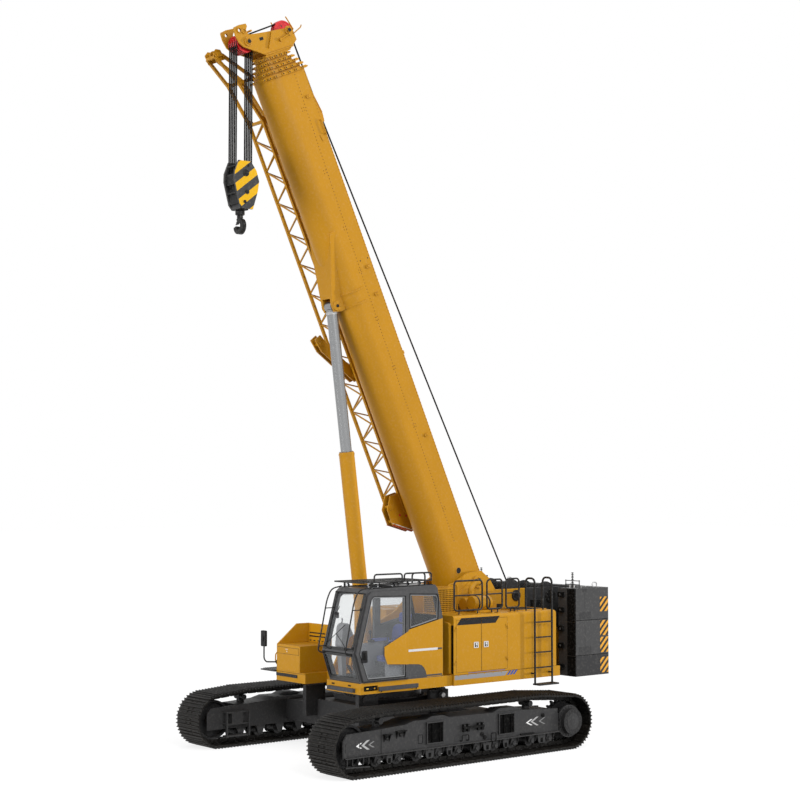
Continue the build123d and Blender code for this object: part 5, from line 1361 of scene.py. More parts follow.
        trim.piece("tool_box_trim", (YELLOW, DARK_MARK_AND_HOLE_SHADE, ZINC), "upper", bevel=0.002)
        step = Shape()
        step.span((-1.853, -1.503, 1.387), (-1.4015, -1.147, 1.428))
        step.span((-1.40, -1.512, 1.325), (-0.72, -1.5005, 1.385))
        step.span((-1.853, -1.56, 1.395), (-1.40, -1.503, 1.42))
        x, y = np.meshgrid(np.arange(-1.82, -1.42, 0.045), np.arange(-1.47, -1.17, 0.045), indexing="ij")
        step.beads(np.stack((x.ravel(), y.ravel(), np.full(x.size, 1.428)), -1), UP, 0.013, 0.005)
        step.piece("side_step", (RAIL_BLACK,), "upper", bevel=0.004)
        self._mirror()

    @staticmethod
    def _mirror() -> None:
        """Bent arm with a mirror head and its glass."""
        arm = Shape()
        arm.pipe(((-1.40, -1.48, 1.575), (-1.78, -1.48, 1.545), (-1.855, -1.48, 1.60), (-1.855, -1.48, 2.00)),
                 0.014,
                 0.07)
        arm.disc((-1.402, -1.48, 1.575), -EAST, 0.040, 0.010)
        head = rounded(((-1.935, 1.835), (-1.785, 1.835), (-1.785, 2.138), (-1.935, 2.138)), 0.025, 5, True)
        arm.prism(head, (0.0, -1.458, 0.0), EAST, UP, 0.044)
        glass = rounded(((-1.925, 1.845), (-1.795, 1.845), (-1.795, 2.128), (-1.925, 2.128)), 0.02, 5, True)
        arm.prism(glass, (0.0, -1.4575, 0.0), EAST, UP, 0.001, 1)
        arm.box((-1.855, -1.51, 1.985), (0.03, 0.02, 0.09))
        arm.piece("mirror_dressed", (PLASTIC, MIRROR), "upper", bevel=0.003,
                  replaces=("mirror",))


# ----------------------------------------------------------------- counterweight
@dataclass
class BallastTrim:
    """Front plates, grooves, stripes, eyes and two small masts of the counterweight."""

    side: float = 1.500
    front: float = 3.610
    rear: float = 4.550
    top: float = 2.900

    def build(self) -> None:
        """Dress both sides, the front, the rear and the top."""
        trim = Shape()
        for sign in (1.0, -1.0):
            self._flank(trim, sign)
            self._front(trim, sign)
        self._rear(trim)
        self._top(trim)
        trim.piece("ballast_trim", (BALLAST_FRONT, BALLAST_SEAM, BALLAST, ZINC), "upper", bevel=0.002)
        self._stripes()
        self._masts()

    def _flank(self, trim: Shape, sign: float) -> None:
        """Seams, an upright groove and three shallow panels on a side."""
        x = sign * self.side
        for z in (2.272, 1.585):
            trim.plate(((3.615, z - 0.006), (4.548, z - 0.006), (4.548, z + 0.006), (3.615, z + 0.006)), x,
                       sign * 0.0012, 0)
        trim.plate(((3.880, 1.60), (3.892, 1.60), (3.892, 2.896), (3.880, 2.896)), x, sign * 0.001, 1)
        for low, high, foot, top in ((3.72, 4.05, 2.295, 2.435), (3.71, 4.06, 1.60, 1.755),
                                     (3.82, 3.95, 2.83, 2.896)):
            trim.plate(((low, foot), (high, foot), (high, top), (low, top)), x, sign * 0.0014, 1)
        trim.plate(((3.611, 1.182), (3.632, 1.182), (3.632, 2.898), (3.611, 2.898)), x, sign * 0.001, 0)

    def _front(self, trim: Shape, sign: float) -> None:
        """Near-black plate on the front, with stacked lugs on its inner edge."""
        for low, high in ((1.184, 1.572), (1.582, 2.236), (2.244, 2.896)):
            x = sorted((sign * 1.285, sign * 1.497))
            trim.span((x[0], self.front - 0.004, low), (x[1], self.front, high), 0)
            x = sorted((sign * 1.045, sign * 1.280))
            trim.span((x[0], self.front - 0.002, low), (x[1], self.front, high), 1)
        for z in (2.72, 2.42, 2.05, 1.72, 1.30):
            x = sorted((sign * 1.06, sign * 1.20))
            trim.span((x[0], self.front - 0.05, z), (x[1], self.front - 0.002, z + 0.10), 0)
            trim.bolts([(sign * 1.13, self.front - 0.05, z + 0.05)], -NORTH, 0.018, 0.014, 2)

    def _rear(self, trim: Shape) -> None:
        """Seams, draw bar plate and tie bolts on the back."""
        y = self.rear
        for z in (2.240, 1.577):
            trim.span((-1.49, y, z - 0.005), (1.49, y + 0.0015, z + 0.005), 0)
        trim.span((-0.30, y, 1.28), (0.30, y + 0.012, 1.50), 1)
        trim.bolts([(x, y + 0.012, z) for x in (-0.26, 0.26) for z in (1.31, 1.47)], NORTH, 0.018, 0.014, 3)
        for x in (-0.9, 0.9):
            trim.disc((x, y, 1.95), NORTH, 0.09, 0.02, 1)
            trim.bolts([(x, y + 0.02, 1.95)], NORTH, 0.035, 0.022, 3)

    def _top(self, trim: Shape) -> None:
        """Four lifting eyes and two cover plates."""
        for x in (-1.25, 1.25):
            for y in (3.78, 4.42):
                eye = ((x, y - 0.06, self.top), (x, y - 0.06, self.top + 0.09),
                       (x, y + 0.06, self.top + 0.09),
                       (x, y + 0.06, self.top))
                trim.pipe(eye, 0.014, 0.05, 3)
            trim.box((x, 4.10, self.top + 0.005), (0.30, 0.42, 0.010), mark=1)
            trim.bolts([(x + dx, 4.10 + dy, self.top + 0.01) for dx in (-0.12, 0.12) for dy in (-0.18, 0.18)],
                       UP,
                       0.012, 0.010, 3)

    def _stripes(self) -> None:
        """Slanted black and yellow panels on the rear corners."""
        plates = Shape()
        for sign in (1.0, -1.0):
            x = sign * self.side
            for low, high in ((2.425, 2.715), (1.950, 2.250), (1.615, 1.920), (1.215, 1.520)):
                plates.plate(((4.312, low), (4.546, low), (4.546, high), (4.312, high)), x, sign * 0.0016)
                across = sorted((sign * 1.27, sign * 1.498))
                plates.span((across[0], self.rear, low), (across[1], self.rear + 0.0016, high), 1)
        plates.piece("ballast_stripes", (WARNING_STRIPES, WARNING_REAR), "upper")

    def _masts(self) -> None:
        """Low guard rails, each with a slim mast of stacked rings."""
        trim = Shape()
        for x, y, z, along in ((1.345, 3.70, self.top, EAST), (-1.345, 3.70, self.top, EAST)):
            foot = np.array((x, y, z))
            for step in (-0.185, 0.0, 0.185):
                trim.tube((foot + step * along, foot + step * along + 0.165 * UP), 0.009, 8)
            for height in (0.075, 0.150):
                trim.tube((foot - 0.20 * along + height * UP, foot + 0.20 * along + height * UP), 0.008, 8)
            trim.tube((foot, foot + 0.30 * UP), 0.007, 8)
            for k in range(7):
                trim.turned(((0.010, 0.0), (0.026, 0.006), (0.026, 0.016), (0.010, 0.022)),
                            foot + (0.10 + k * 0.032) * UP, UP, 12)
        trim.piece("ballast_masts", (RAIL_BLACK,), "upper")


# ----------------------------------------------------------------- cab
@dataclass
class CabTrim:
    """Panels, gaskets, rail, handle, lamps, guards, steps and the interior of the cab."""

    wall: float = 1.450
    door: float = 1.490
    front_low: tuple[float, float] = (-1.680, 1.430)
    front_mid: tuple[float, float] = (-1.860, 1.950)
    front_top: tuple[float, float] = (-1.560, 3.010)

    def build(self) -> None:
        """Dress the door, the shell, the front, the roof and the inside."""
        self._door()
        self._shell()
        self._front()
        self._guards()
        self._steps()
        self._inside()
        self._seat()

    def _door(self) -> None:
        """Front part of the yellow panel, window gasket and handle of the sliding door."""
        trim = Shape()
        x = self.door
        trim.plate(((-1.186, 2.050), (-0.633, 2.2985), (-0.633, 1.7085), (-1.120, 1.740), (-1.186, 1.900)),
                   x + 0.0002,
                   0.004)
        window = np.array(((-1.560, 1.500), (-1.740, 1.960), (-1.480, 2.900), (-1.420, 2.950),
                           (-0.700, 2.930),
                           (-0.700, 1.500)))
        trim.border(inset_outline(window, -0.008), 0.012, x + 0.0002, 0.003, 2)
        trim.border(inset_outline(window, 0.004), 0.020, x - 0.012, 0.003, 3)
        block = rounded(((-1.705, 1.800), (-1.690, 2.010), (-1.585, 2.010), (-1.575, 1.800)), 0.02, 5, True)
        trim.plate(block, x + 0.0002, 0.018, 1)
        trim.plate(((-1.675, 1.855), (-1.665, 1.970), (-1.615, 1.970), (-1.610, 1.855)), x + 0.018, 0.010, 2)
        trim.pipe(((x + 0.010, -1.640, 1.865), (x + 0.046, -1.640, 1.865), (x + 0.046, -1.640, 1.955),
                   (x + 0.010, -1.640, 1.955)), 0.008, 0.02, 1)
        trim.plate(((-1.636, 1.456), (-0.636, 1.456), (-0.636, 1.470), (-1.641, 1.470)), x + 0.0002, 0.004, 2)
        trim.bolts([(x + 0.0002, y, 1.483) for y in np.arange(-1.55, -0.68, 0.14)], EAST, 0.006, 0.005, 1)
        trim.piece("cab_door_trim", (YELLOW, PLASTIC, RUBBER, PALE_SEAL), "sliding_door", bevel=0.0015)

    def _shell(self) -> None:
        """Rear part of the yellow panel, silver rail, gaskets, seams and bolts on the shell."""
        trim = Shape()
        x = self.wall
        rear = ((-0.626, 2.302), (-0.563, 2.330), (0.215, 2.490), (0.215, 1.450), (-0.160, 1.447),
                (-0.196, 1.560),
                (-0.234, 1.620), (-0.290, 1.668), (-0.350, 1.688), (-0.626, 1.708))
        trim.plate(rear, x + 0.0002, 0.0036)
        trim.plate(((-0.672, 1.924), (0.090, 1.924), (0.090, 1.966), (-0.672, 1.966)), x + 0.0052, 0.0007, 1)
        trim.bolts([(x + 0.0038, 0.15, 1.945)], EAST, 0.010, 0.0015, 1)
        for sign in (1.0, -1.0):
            face = x if sign > 0 else 0.540
            window = np.array(((-0.560, 2.340), (-0.560, 2.960), (0.080, 2.930), (0.110, 2.860),
                               (0.100, 2.480)))
            trim.border(inset_outline(window, -0.010), 0.016, face, sign * 0.003, 2)
            trim.border(inset_outline(window, 0.006), 0.022, face - sign * 0.012, sign * 0.003, 3)
        far = np.array(((-1.560, 1.500), (-1.740, 1.960), (-1.480, 2.900), (-1.420, 2.950), (-0.700, 2.930),
                        (-0.700, 1.500)))
        trim.border(inset_outline(far, -0.010), 0.018, 0.540, -0.003, 2)
        trim.plate(((-0.632, 1.45), (-0.624, 1.45), (-0.624, 3.02), (-0.632, 3.02)), x + 0.0002, 0.0012, 2)
        for z in (1.60, 2.30):
            trim.box((0.5385, -0.60, z), (0.012, 0.08, 0.12), mark=4)
        roof = np.array(((-1.40, 3.085), (0.00, 3.112)))
        trim.tube(((x - 0.03, *roof[0]), (x - 0.03, *roof[1])), 0.012, 8, False, 2)
        trim.tube(((0.57, *roof[0]), (0.57, *roof[1])), 0.012, 8, False, 2)
        trim.piece("cab_shell_trim", (YELLOW, ZINC, RUBBER, PALE_SEAL, PLASTIC), "upper", bevel=0.0012)

    def _on_front(self, z: float, out: float) -> tuple[float, float]:
        """Place (y, z) on the cab's front face at a height, moved out of it."""
        low, high = (self.front_low, self.front_mid) if z < self.front_mid[1] else (self.front_mid,
                                                                                    self.front_top)
        share = (z - low[1]) / (high[1] - low[1])
        along = np.array((high[0] - low[0], high[1] - low[1]))
        along /= np.linalg.norm(along)
        y = low[0] + share * (high[0] - low[0])
        return y - along[1] * out, z + along[0] * out

    def _front(self) -> None:
        """Black borders of both windscreens, wiper, rubber strips and lamps on the front."""
        trim = Shape()
        for low, high in ((2.000, 3.000), (1.470, 1.930)):
            outer = ((0.553, low), (1.437, low), (1.437, high), (0.553, high))
            inner = ((0.612, low + 0.052), (1.378, low + 0.052), (1.378, high - 0.012), (0.612, high - 0.012))
            rings = []
            for outline, out in ((outer, 0.0), (outer, 0.005), (inner, 0.005), (inner, -0.018)):
                rings.append([(across, *self._on_front(z, out)) for across, z in outline])
            rings = np.array(rings)
            trim.loft(rings, 0, False, False, False)
        arm = [(1.22, *self._on_front(2.035, 0.020)), (1.16, *self._on_front(2.10, 0.030)),
               (0.86, *self._on_front(2.28, 0.024))]
        trim.pipe(arm, 0.006, 0.03, 1)
        blade = [(0.66, *self._on_front(2.12, 0.014)), (1.06, *self._on_front(2.44, 0.014))]
        trim.tube(blade, 0.007, 6, False, 1)
        trim.disc((1.22, *self._on_front(2.030, 0.004)), (0.0, -0.96, 0.27), 0.028, 0.022, 1)
        for z in (1.955, 3.02):
            y, height = self._on_front(min(z, 3.0), 0.006)
            trim.tube(((0.56, y, height), (1.43, y, height)), 0.010, 8, False, 1)
        trim.piece("cab_front_trim", (GLOSS_BLACK, RUBBER), "upper", bevel=0.0015)
        lamps = Shape()
        for x, y, z in ((1.31, -1.40, 3.122), (1.31, -1.18, 3.126), (1.31, -0.85, 3.130),
                        (1.31, -0.52, 3.138),
                        (1.31, -0.24, 3.142), (0.68, -1.40, 3.122), (0.68, -0.85, 3.130)):
            centre = np.array((x, y, z))
            lamps.turned(((0.016, 0.045), (0.028, 0.034), (0.032, 0.0), (0.032, -0.006)), centre, NORTH, 18)
            lamps.disc(centre + (0.0, -0.006, 0.0), -NORTH, 0.027, 0.005, 1)
            lamps.box(centre + (0.0, 0.02, 0.030), (0.012, 0.02, 0.030))
        lamps.pipe(((1.36, -1.46, 3.10), (1.36, -1.46, 3.135), (1.36, -0.05, 3.155), (1.36, -0.05, 3.11)),
                   0.008, 0.03)
        lamps.piece("cab_lamps", (PLASTIC, LAMP), "upper", bevel=0.0015)

    def _guards(self) -> None:
        """Roof rack with its grating and rails, and the bent guard bars before the windscreen."""
        rack = Shape()
        z = 3.192
        for x in (0.592, 1.388):
            rack.span((x - 0.012, -1.620, z - 0.014), (x + 0.012, -0.100, z + 0.013))
        for y in (-1.608, -1.16, -0.86, -0.112):
            rack.span((0.592, y - 0.012, z - 0.014), (1.388, y + 0.012, z + 0.013))
        for y in np.arange(-1.56, -0.14, 0.042):
            rack.box((0.99, y, z + 0.004), (0.78, 0.006, 0.016))
        for x in np.arange(0.66, 1.36, 0.11):
            rack.box((x, -0.86, z + 0.002), (0.006, 1.48, 0.012))
        for x in (0.600, 1.380):
            for y in (-1.400, -0.150):
                foot = 3.082 + 0.019 * (y + 1.47)
                rack.span((x - 0.014, y - 0.014, foot), (x + 0.014, y + 0.014, z - 0.013))
                rack.box((x, y, foot + 0.004), (0.07, 0.07, 0.010))
                rack.bolts([(x + dx, y, foot + 0.009) for dx in (-0.025, 0.025)], UP, 0.007, 0.006, 1)
        for y0, y1 in ((-1.330, -0.687), (-0.637, 0.000)):
            low = z + 0.01
            rack.pipe(((1.380, y0, low), (1.380, y0, 3.330), (1.380, y1, 3.330), (1.380, y1, low)), 0.015,
                      0.06)
        rack.span((1.366, -0.10, z - 0.014), (1.394, 0.012, z + 0.010))
        bends = ((-1.470, 3.100), (-1.700, 3.066), (-1.800, 2.870), (-2.000, 1.960), (-1.848, 1.926))
        for x in (0.600, 1.400):
            rack.pipe([(x, y, height) for y, height in bends], 0.013, 0.10)
            for height in (2.72, 2.05):
                y, level = self._on_front(height, 0.0)
                share = (height - 1.960) / (2.870 - 1.960)
                rack.tube(((x, y, level), (x, -2.000 + 0.200 * share, height)), 0.009, 8)
                rack.box((x, y - 0.004, level), (0.05, 0.014, 0.06))
        rack.piece("cab_guard_bars", (RAIL_BLACK, ZINC), "upper", bevel=0.0015,
                   replaces=("cab_guards",))

    def _steps(self) -> None:
        """Lamp in the deck's edge, side step, front step and small fittings below the cab."""
        trim = Shape()
        x = self.wall
        trim.span((x - 0.058, -1.612, 1.293), (x - 0.050, -1.303, 1.377), 1)
        trim.span((x - 0.048, -1.606, 1.318), (x + 0.030, -1.355, 1.360), 1)
        trim.disc((x - 0.016, -1.330, 1.335), EAST, 0.022, 0.020, 1)
        trim.box((x + 0.031, -1.56, 1.339), (0.004, 0.05, 0.022), mark=3)
        trim.box((x + 0.031, -1.40, 1.339), (0.004, 0.03, 0.022), mark=4)
        trim.span((x + 0.001, -1.290, 1.278), (x + 0.028, -0.385, 1.352), 0)
        for y in (-1.24, -0.44):
            trim.bolts([(x + 0.028, y, 1.268)], EAST, 0.010, 0.008, 1)
        front = -1.700
        trim.span((0.545, front - 0.060, 1.270), (1.310, front - 0.001, 1.338), 0)
        for across in (0.62, 1.10):
            trim.prism(((across, 1.362), (across + 0.085, 1.362), (across + 0.085, 1.390), (across, 1.390)),
                       (0.0, front, 0.0), EAST, UP, 0.0015, 1)
        trim.bolts([(across, front, 1.40) for across in np.arange(0.52, 1.42, 0.15)], -NORTH, 0.007, 0.006, 4)
        trim.span((x, -1.69, 1.4305), (x + 0.002, 0.40, 1.4365), 4)
        trim.piece("cab_steps", (STEP_GREY, BRACKET_BLACK, STEP_GREY, SIGN_YELLOW, YELLOW), "upper",
                   bevel=0.002)

    def _inside(self) -> None:
        """Leaning instrument panel, screens, levers, pedals, armrests and the small inner mirror."""
        trim = Shape()
        panel = ((-1.690, 2.030), (-1.655, 2.400), (-1.585, 2.455), (-1.520, 2.445), (-1.415, 2.235),
                 (-1.500, 2.200), (-1.555, 2.040))
        trim.plate(rounded(panel, 0.03, 4, True), 0.700, 0.190)
        trim.prism(((0.715, 0.0), (0.875, 0.0), (0.875, 0.13), (0.715, 0.13)), (0.0, -1.460, 2.285), EAST,
                   (0.0, -0.42, 0.907), -0.012, 1)
        trim.prism(((0.722, 0.0), (0.868, 0.0), (0.868, 0.11), (0.722, 0.11)), (0.0, -1.452, 2.295), EAST,
                   (0.0, -0.42, 0.907), -0.006, 3)
        trim.pipe(((0.80, -1.62, 2.45), (0.80, -1.60, 2.50), (0.76, -1.58, 2.53)), 0.014, 0.03, 0)
        for x in (0.775, 1.262):
            arm = rounded(((-0.92, 2.085), (-0.55, 2.085), (-0.55, 2.140), (-0.92, 2.140)), 0.02, 4, True)
            trim.plate(arm, x, 0.060, 2)
            trim.tube(((x + 0.03, -0.62, 1.86), (x + 0.03, -0.62, 2.09)), 0.016, 10, False, 1)
            trim.tube(((x + 0.03, -0.95, 2.10), (x + 0.03, -0.97, 2.24)), 0.011, 10, False, 1)
            trim.turned(((0.014, 0.0), (0.026, 0.02), (0.024, 0.06), (0.008, 0.075)),
                        (x + 0.03, -0.967, 2.22),
                        (0.0, -0.14, 0.99), 14, 1)
            trim.box((x + 0.03, -0.95, 2.095), (0.07, 0.11, 0.05), mark=1)
        for x in (0.93, 1.10):
            trim.tube(((x, -1.46, 1.49), (x, -1.56, 1.66)), 0.009, 8, False, 1)
            trim.prism(((x - 0.045, 0.0), (x + 0.045, 0.0), (x + 0.045, 0.16), (x - 0.045, 0.16)),
                       (0.0, -1.50, 1.57),
                       EAST, (0.0, -0.5, 0.866), -0.014, 1)
        trim.pipe(((0.70, -1.585, 2.75), (0.70, -1.64, 2.66), (0.70, -1.645, 2.62)), 0.007, 0.02, 1)
        mirror = rounded(((0.645, 2.535), (0.755, 2.535), (0.755, 2.645), (0.645, 2.645)), 0.02, 4, True)
        trim.prism(mirror, (0.0, -1.640, 0.0), EAST, UP, 0.016, 1)
        trim.span((0.60, -1.58, 1.4812), (1.39, 0.15, 1.4872), 4)
        trim.piece("cab_inside", (GREY_PLASTIC, PLASTIC, SEAT_BLUE, SCREEN, RUBBER), "upper", bevel=0.003)

    def _seat(self) -> None:
        """Suspension base with its bellows, shells, and three crowned blue pads with sewn channels."""
        base = Shape()
        base.span((0.840, -0.740, 1.4880), (1.200, -0.320, 1.530))
        level = np.arange(9)
        grow = np.where(level % 2 == 0, 0.0, 0.018)
        corners = np.array(((-1, -1), (1, -1), (1, 1), (-1, 1)))
        outline = corners * np.array((0.160, 0.190))
        rings = np.stack([np.column_stack((1.02 + outline[:, 0] + corners[:, 0] * out,
                                           -0.53 + outline[:, 1] + corners[:, 1] * out,
                                           np.full(4, 1.530 + 0.018 * k))) for k, out in enumerate(grow)])
        base.loft(rings, 1, False)
        base.span((0.800, -0.840, 1.674), (1.240, -0.330, 1.715))
        back = ((-0.395, 1.70), (-0.300, 2.40), (-0.275, 2.40), (-0.365, 1.70))
        base.plate(back, 0.830, 0.380)
        for x in (0.96, 1.08):
            base.tube(((x, -0.283, 2.36), (x, -0.262, 2.52)), 0.008, 8, False, 2)
        base.piece("seat_base", (PLASTIC, RUBBER, BARE), "upper", bevel=0.004,
                   replaces=("operator_seat",))
        lean = math.atan2(0.095, 0.70)
        pads = (
            ("seat_cushion", (1.02, -0.600, 1.775), (0.235, 0.265, 0.062), 0.0, (0.055, 0.0), 3),
            ("seat_back", (1.02, -0.400, 2.110), (0.225, 0.062, 0.275), lean, (0.0, 0.045), 3),
            ("seat_headrest", (1.02, -0.318, 2.500), (0.135, 0.050, 0.095), lean, (0.0, 0.02), 1),
        )
        for name, centre, half, tilt, wing, channels in pads:
            pad = Pad(centre, half, tilt, wing, channels).build(name)


@dataclass(frozen=True)
class Pad:
    """Stuffed pad: a cube's skin pushed to a rounded block.

    Its faces swell and its sides pull in at the seams.
    """

    centre: tuple[float, float, float]
    half: tuple[float, float, float]
    tilt: float
    wing: tuple[float, float]
    channels: int
    cuts: int = 20

    def build(self, name: str) -> bpy.types.Object:
        """Make the pad and hang it on the superstructure.

        Each face of a cube is a grid; its points go to the superellipsoid
        |x|^n + |y|^n + |z|^n = 1 with n = 5, then the broad faces bulge by a
        cosine crown and sink along evenly spaced channels by narrow bells,
        and a belt round the rim sinks as a piped seam.

        Args:
            name: Of the piece.

        Returns:
            The pad.
        """
        pad = Shape()
        steps = np.linspace(-1.0, 1.0, self.cuts + 1)
        u, v = np.meshgrid(steps, steps, indexing="ij")
        n = self.cuts + 1
        row, column = np.meshgrid(np.arange(self.cuts), np.arange(self.cuts), indexing="ij")
        a = row * n + column
        faces = np.stack((a, a + 1, a + n + 1, a + n), -1).reshape(-1, 4)
        broad = 2 if self.half[2] < self.half[1] else 1
        length = 3 - broad
        for axis in range(3):
            for sign in (-1.0, 1.0):
                cube = np.empty((n, n, 3))
                cube[..., axis] = sign
                cube[..., (axis + 1) % 3] = u
                cube[..., (axis + 2) % 3] = v
                power = 5.0
                scale = np.sum(np.abs(cube) ** power, axis=-1) ** (-1.0 / power)
                skin = cube * scale[..., None]
                crown = np.cos(skin[..., 0] * 1.45) * np.cos(skin[..., length] * 1.45)
                lines = np.linspace(-1.0, 1.0, self.channels + 2)[1:-1]
                dents = np.exp(-((skin[..., length, None] - lines) / 0.045) ** 2).sum(-1)
                rim = np.exp(-(skin[..., broad] / 0.12) ** 2)
                place = skin * np.array(self.half)
                side = np.sign(skin[..., broad]) * np.abs(skin[..., broad]) ** 0.5
                place[..., broad] += side * (0.016 * crown - 0.006 * dents - 0.004)
                pull = 1.0 - 0.022 * rim - 0.018 * np.cos(skin[..., length] * 1.5) * (np.abs(skin[..., 0]) > 0.9)
                place[..., 0] *= pull
                place[..., length] *= 1.0 - 0.022 * rim
                wings = np.clip(np.abs(skin[..., 0]) - 0.55, 0.0, None) ** 2
                if broad == 2:
                    place[..., 2] += wings * self.wing[0] * (skin[..., 2] > 0)
                else:
                    place[..., 1] -= wings * self.wing[1] * 4.0 * (skin[..., 1] < 0)
                pad.add(place.reshape(-1, 3), faces, 0, True)
        made = pad.piece(name, (SEAT_BLUE,), None, angle=180.0)
        self._settle(made)
        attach(made, "upper")
        return made

    def _settle(self, made: bpy.types.Object) -> None:
        """Join the six faces along their edges, then lean and move the points in the mesh itself."""
        mesh = made.data
        join = bmesh.new()
        join.from_mesh(mesh)
        bmesh.ops.remove_doubles(join, verts=join.verts, dist=1e-5)
        bmesh.ops.recalc_face_normals(join, faces=join.faces)
        join.to_mesh(mesh)
        join.free()
        places = np.empty(len(mesh.vertices) * 3)
        mesh.vertices.foreach_get("co", places)
        places = places.reshape(-1, 3)
        cos, sin = math.cos(self.tilt), math.sin(self.tilt)
        y, z = places[:, 1].copy(), places[:, 2].copy()
        places[:, 1], places[:, 2] = cos * y + sin * z, -sin * y + cos * z
        mesh.vertices.foreach_set("co", (places + np.array(self.centre)).ravel())
        mesh.update()


# ----------------------------------------------------------------- boom
SECTION_TABLE = (
    # body, half width, depth, top above the pivot line, front end, collar's rise
    ("boom", 0.340, 0.870, 0.227, 10.420, 0.040),
    ("tele_2", 0.304, 0.798, 0.191, 10.505, 0.036),
    ("tele_3", 0.268, 0.726, 0.155, 10.590, 0.032),
    ("tele_4", 0.232, 0.654, 0.119, 10.675, 0.028),
    ("tele_5", 0.196, 0.582, 0.083, 10.760, 0.024),
)


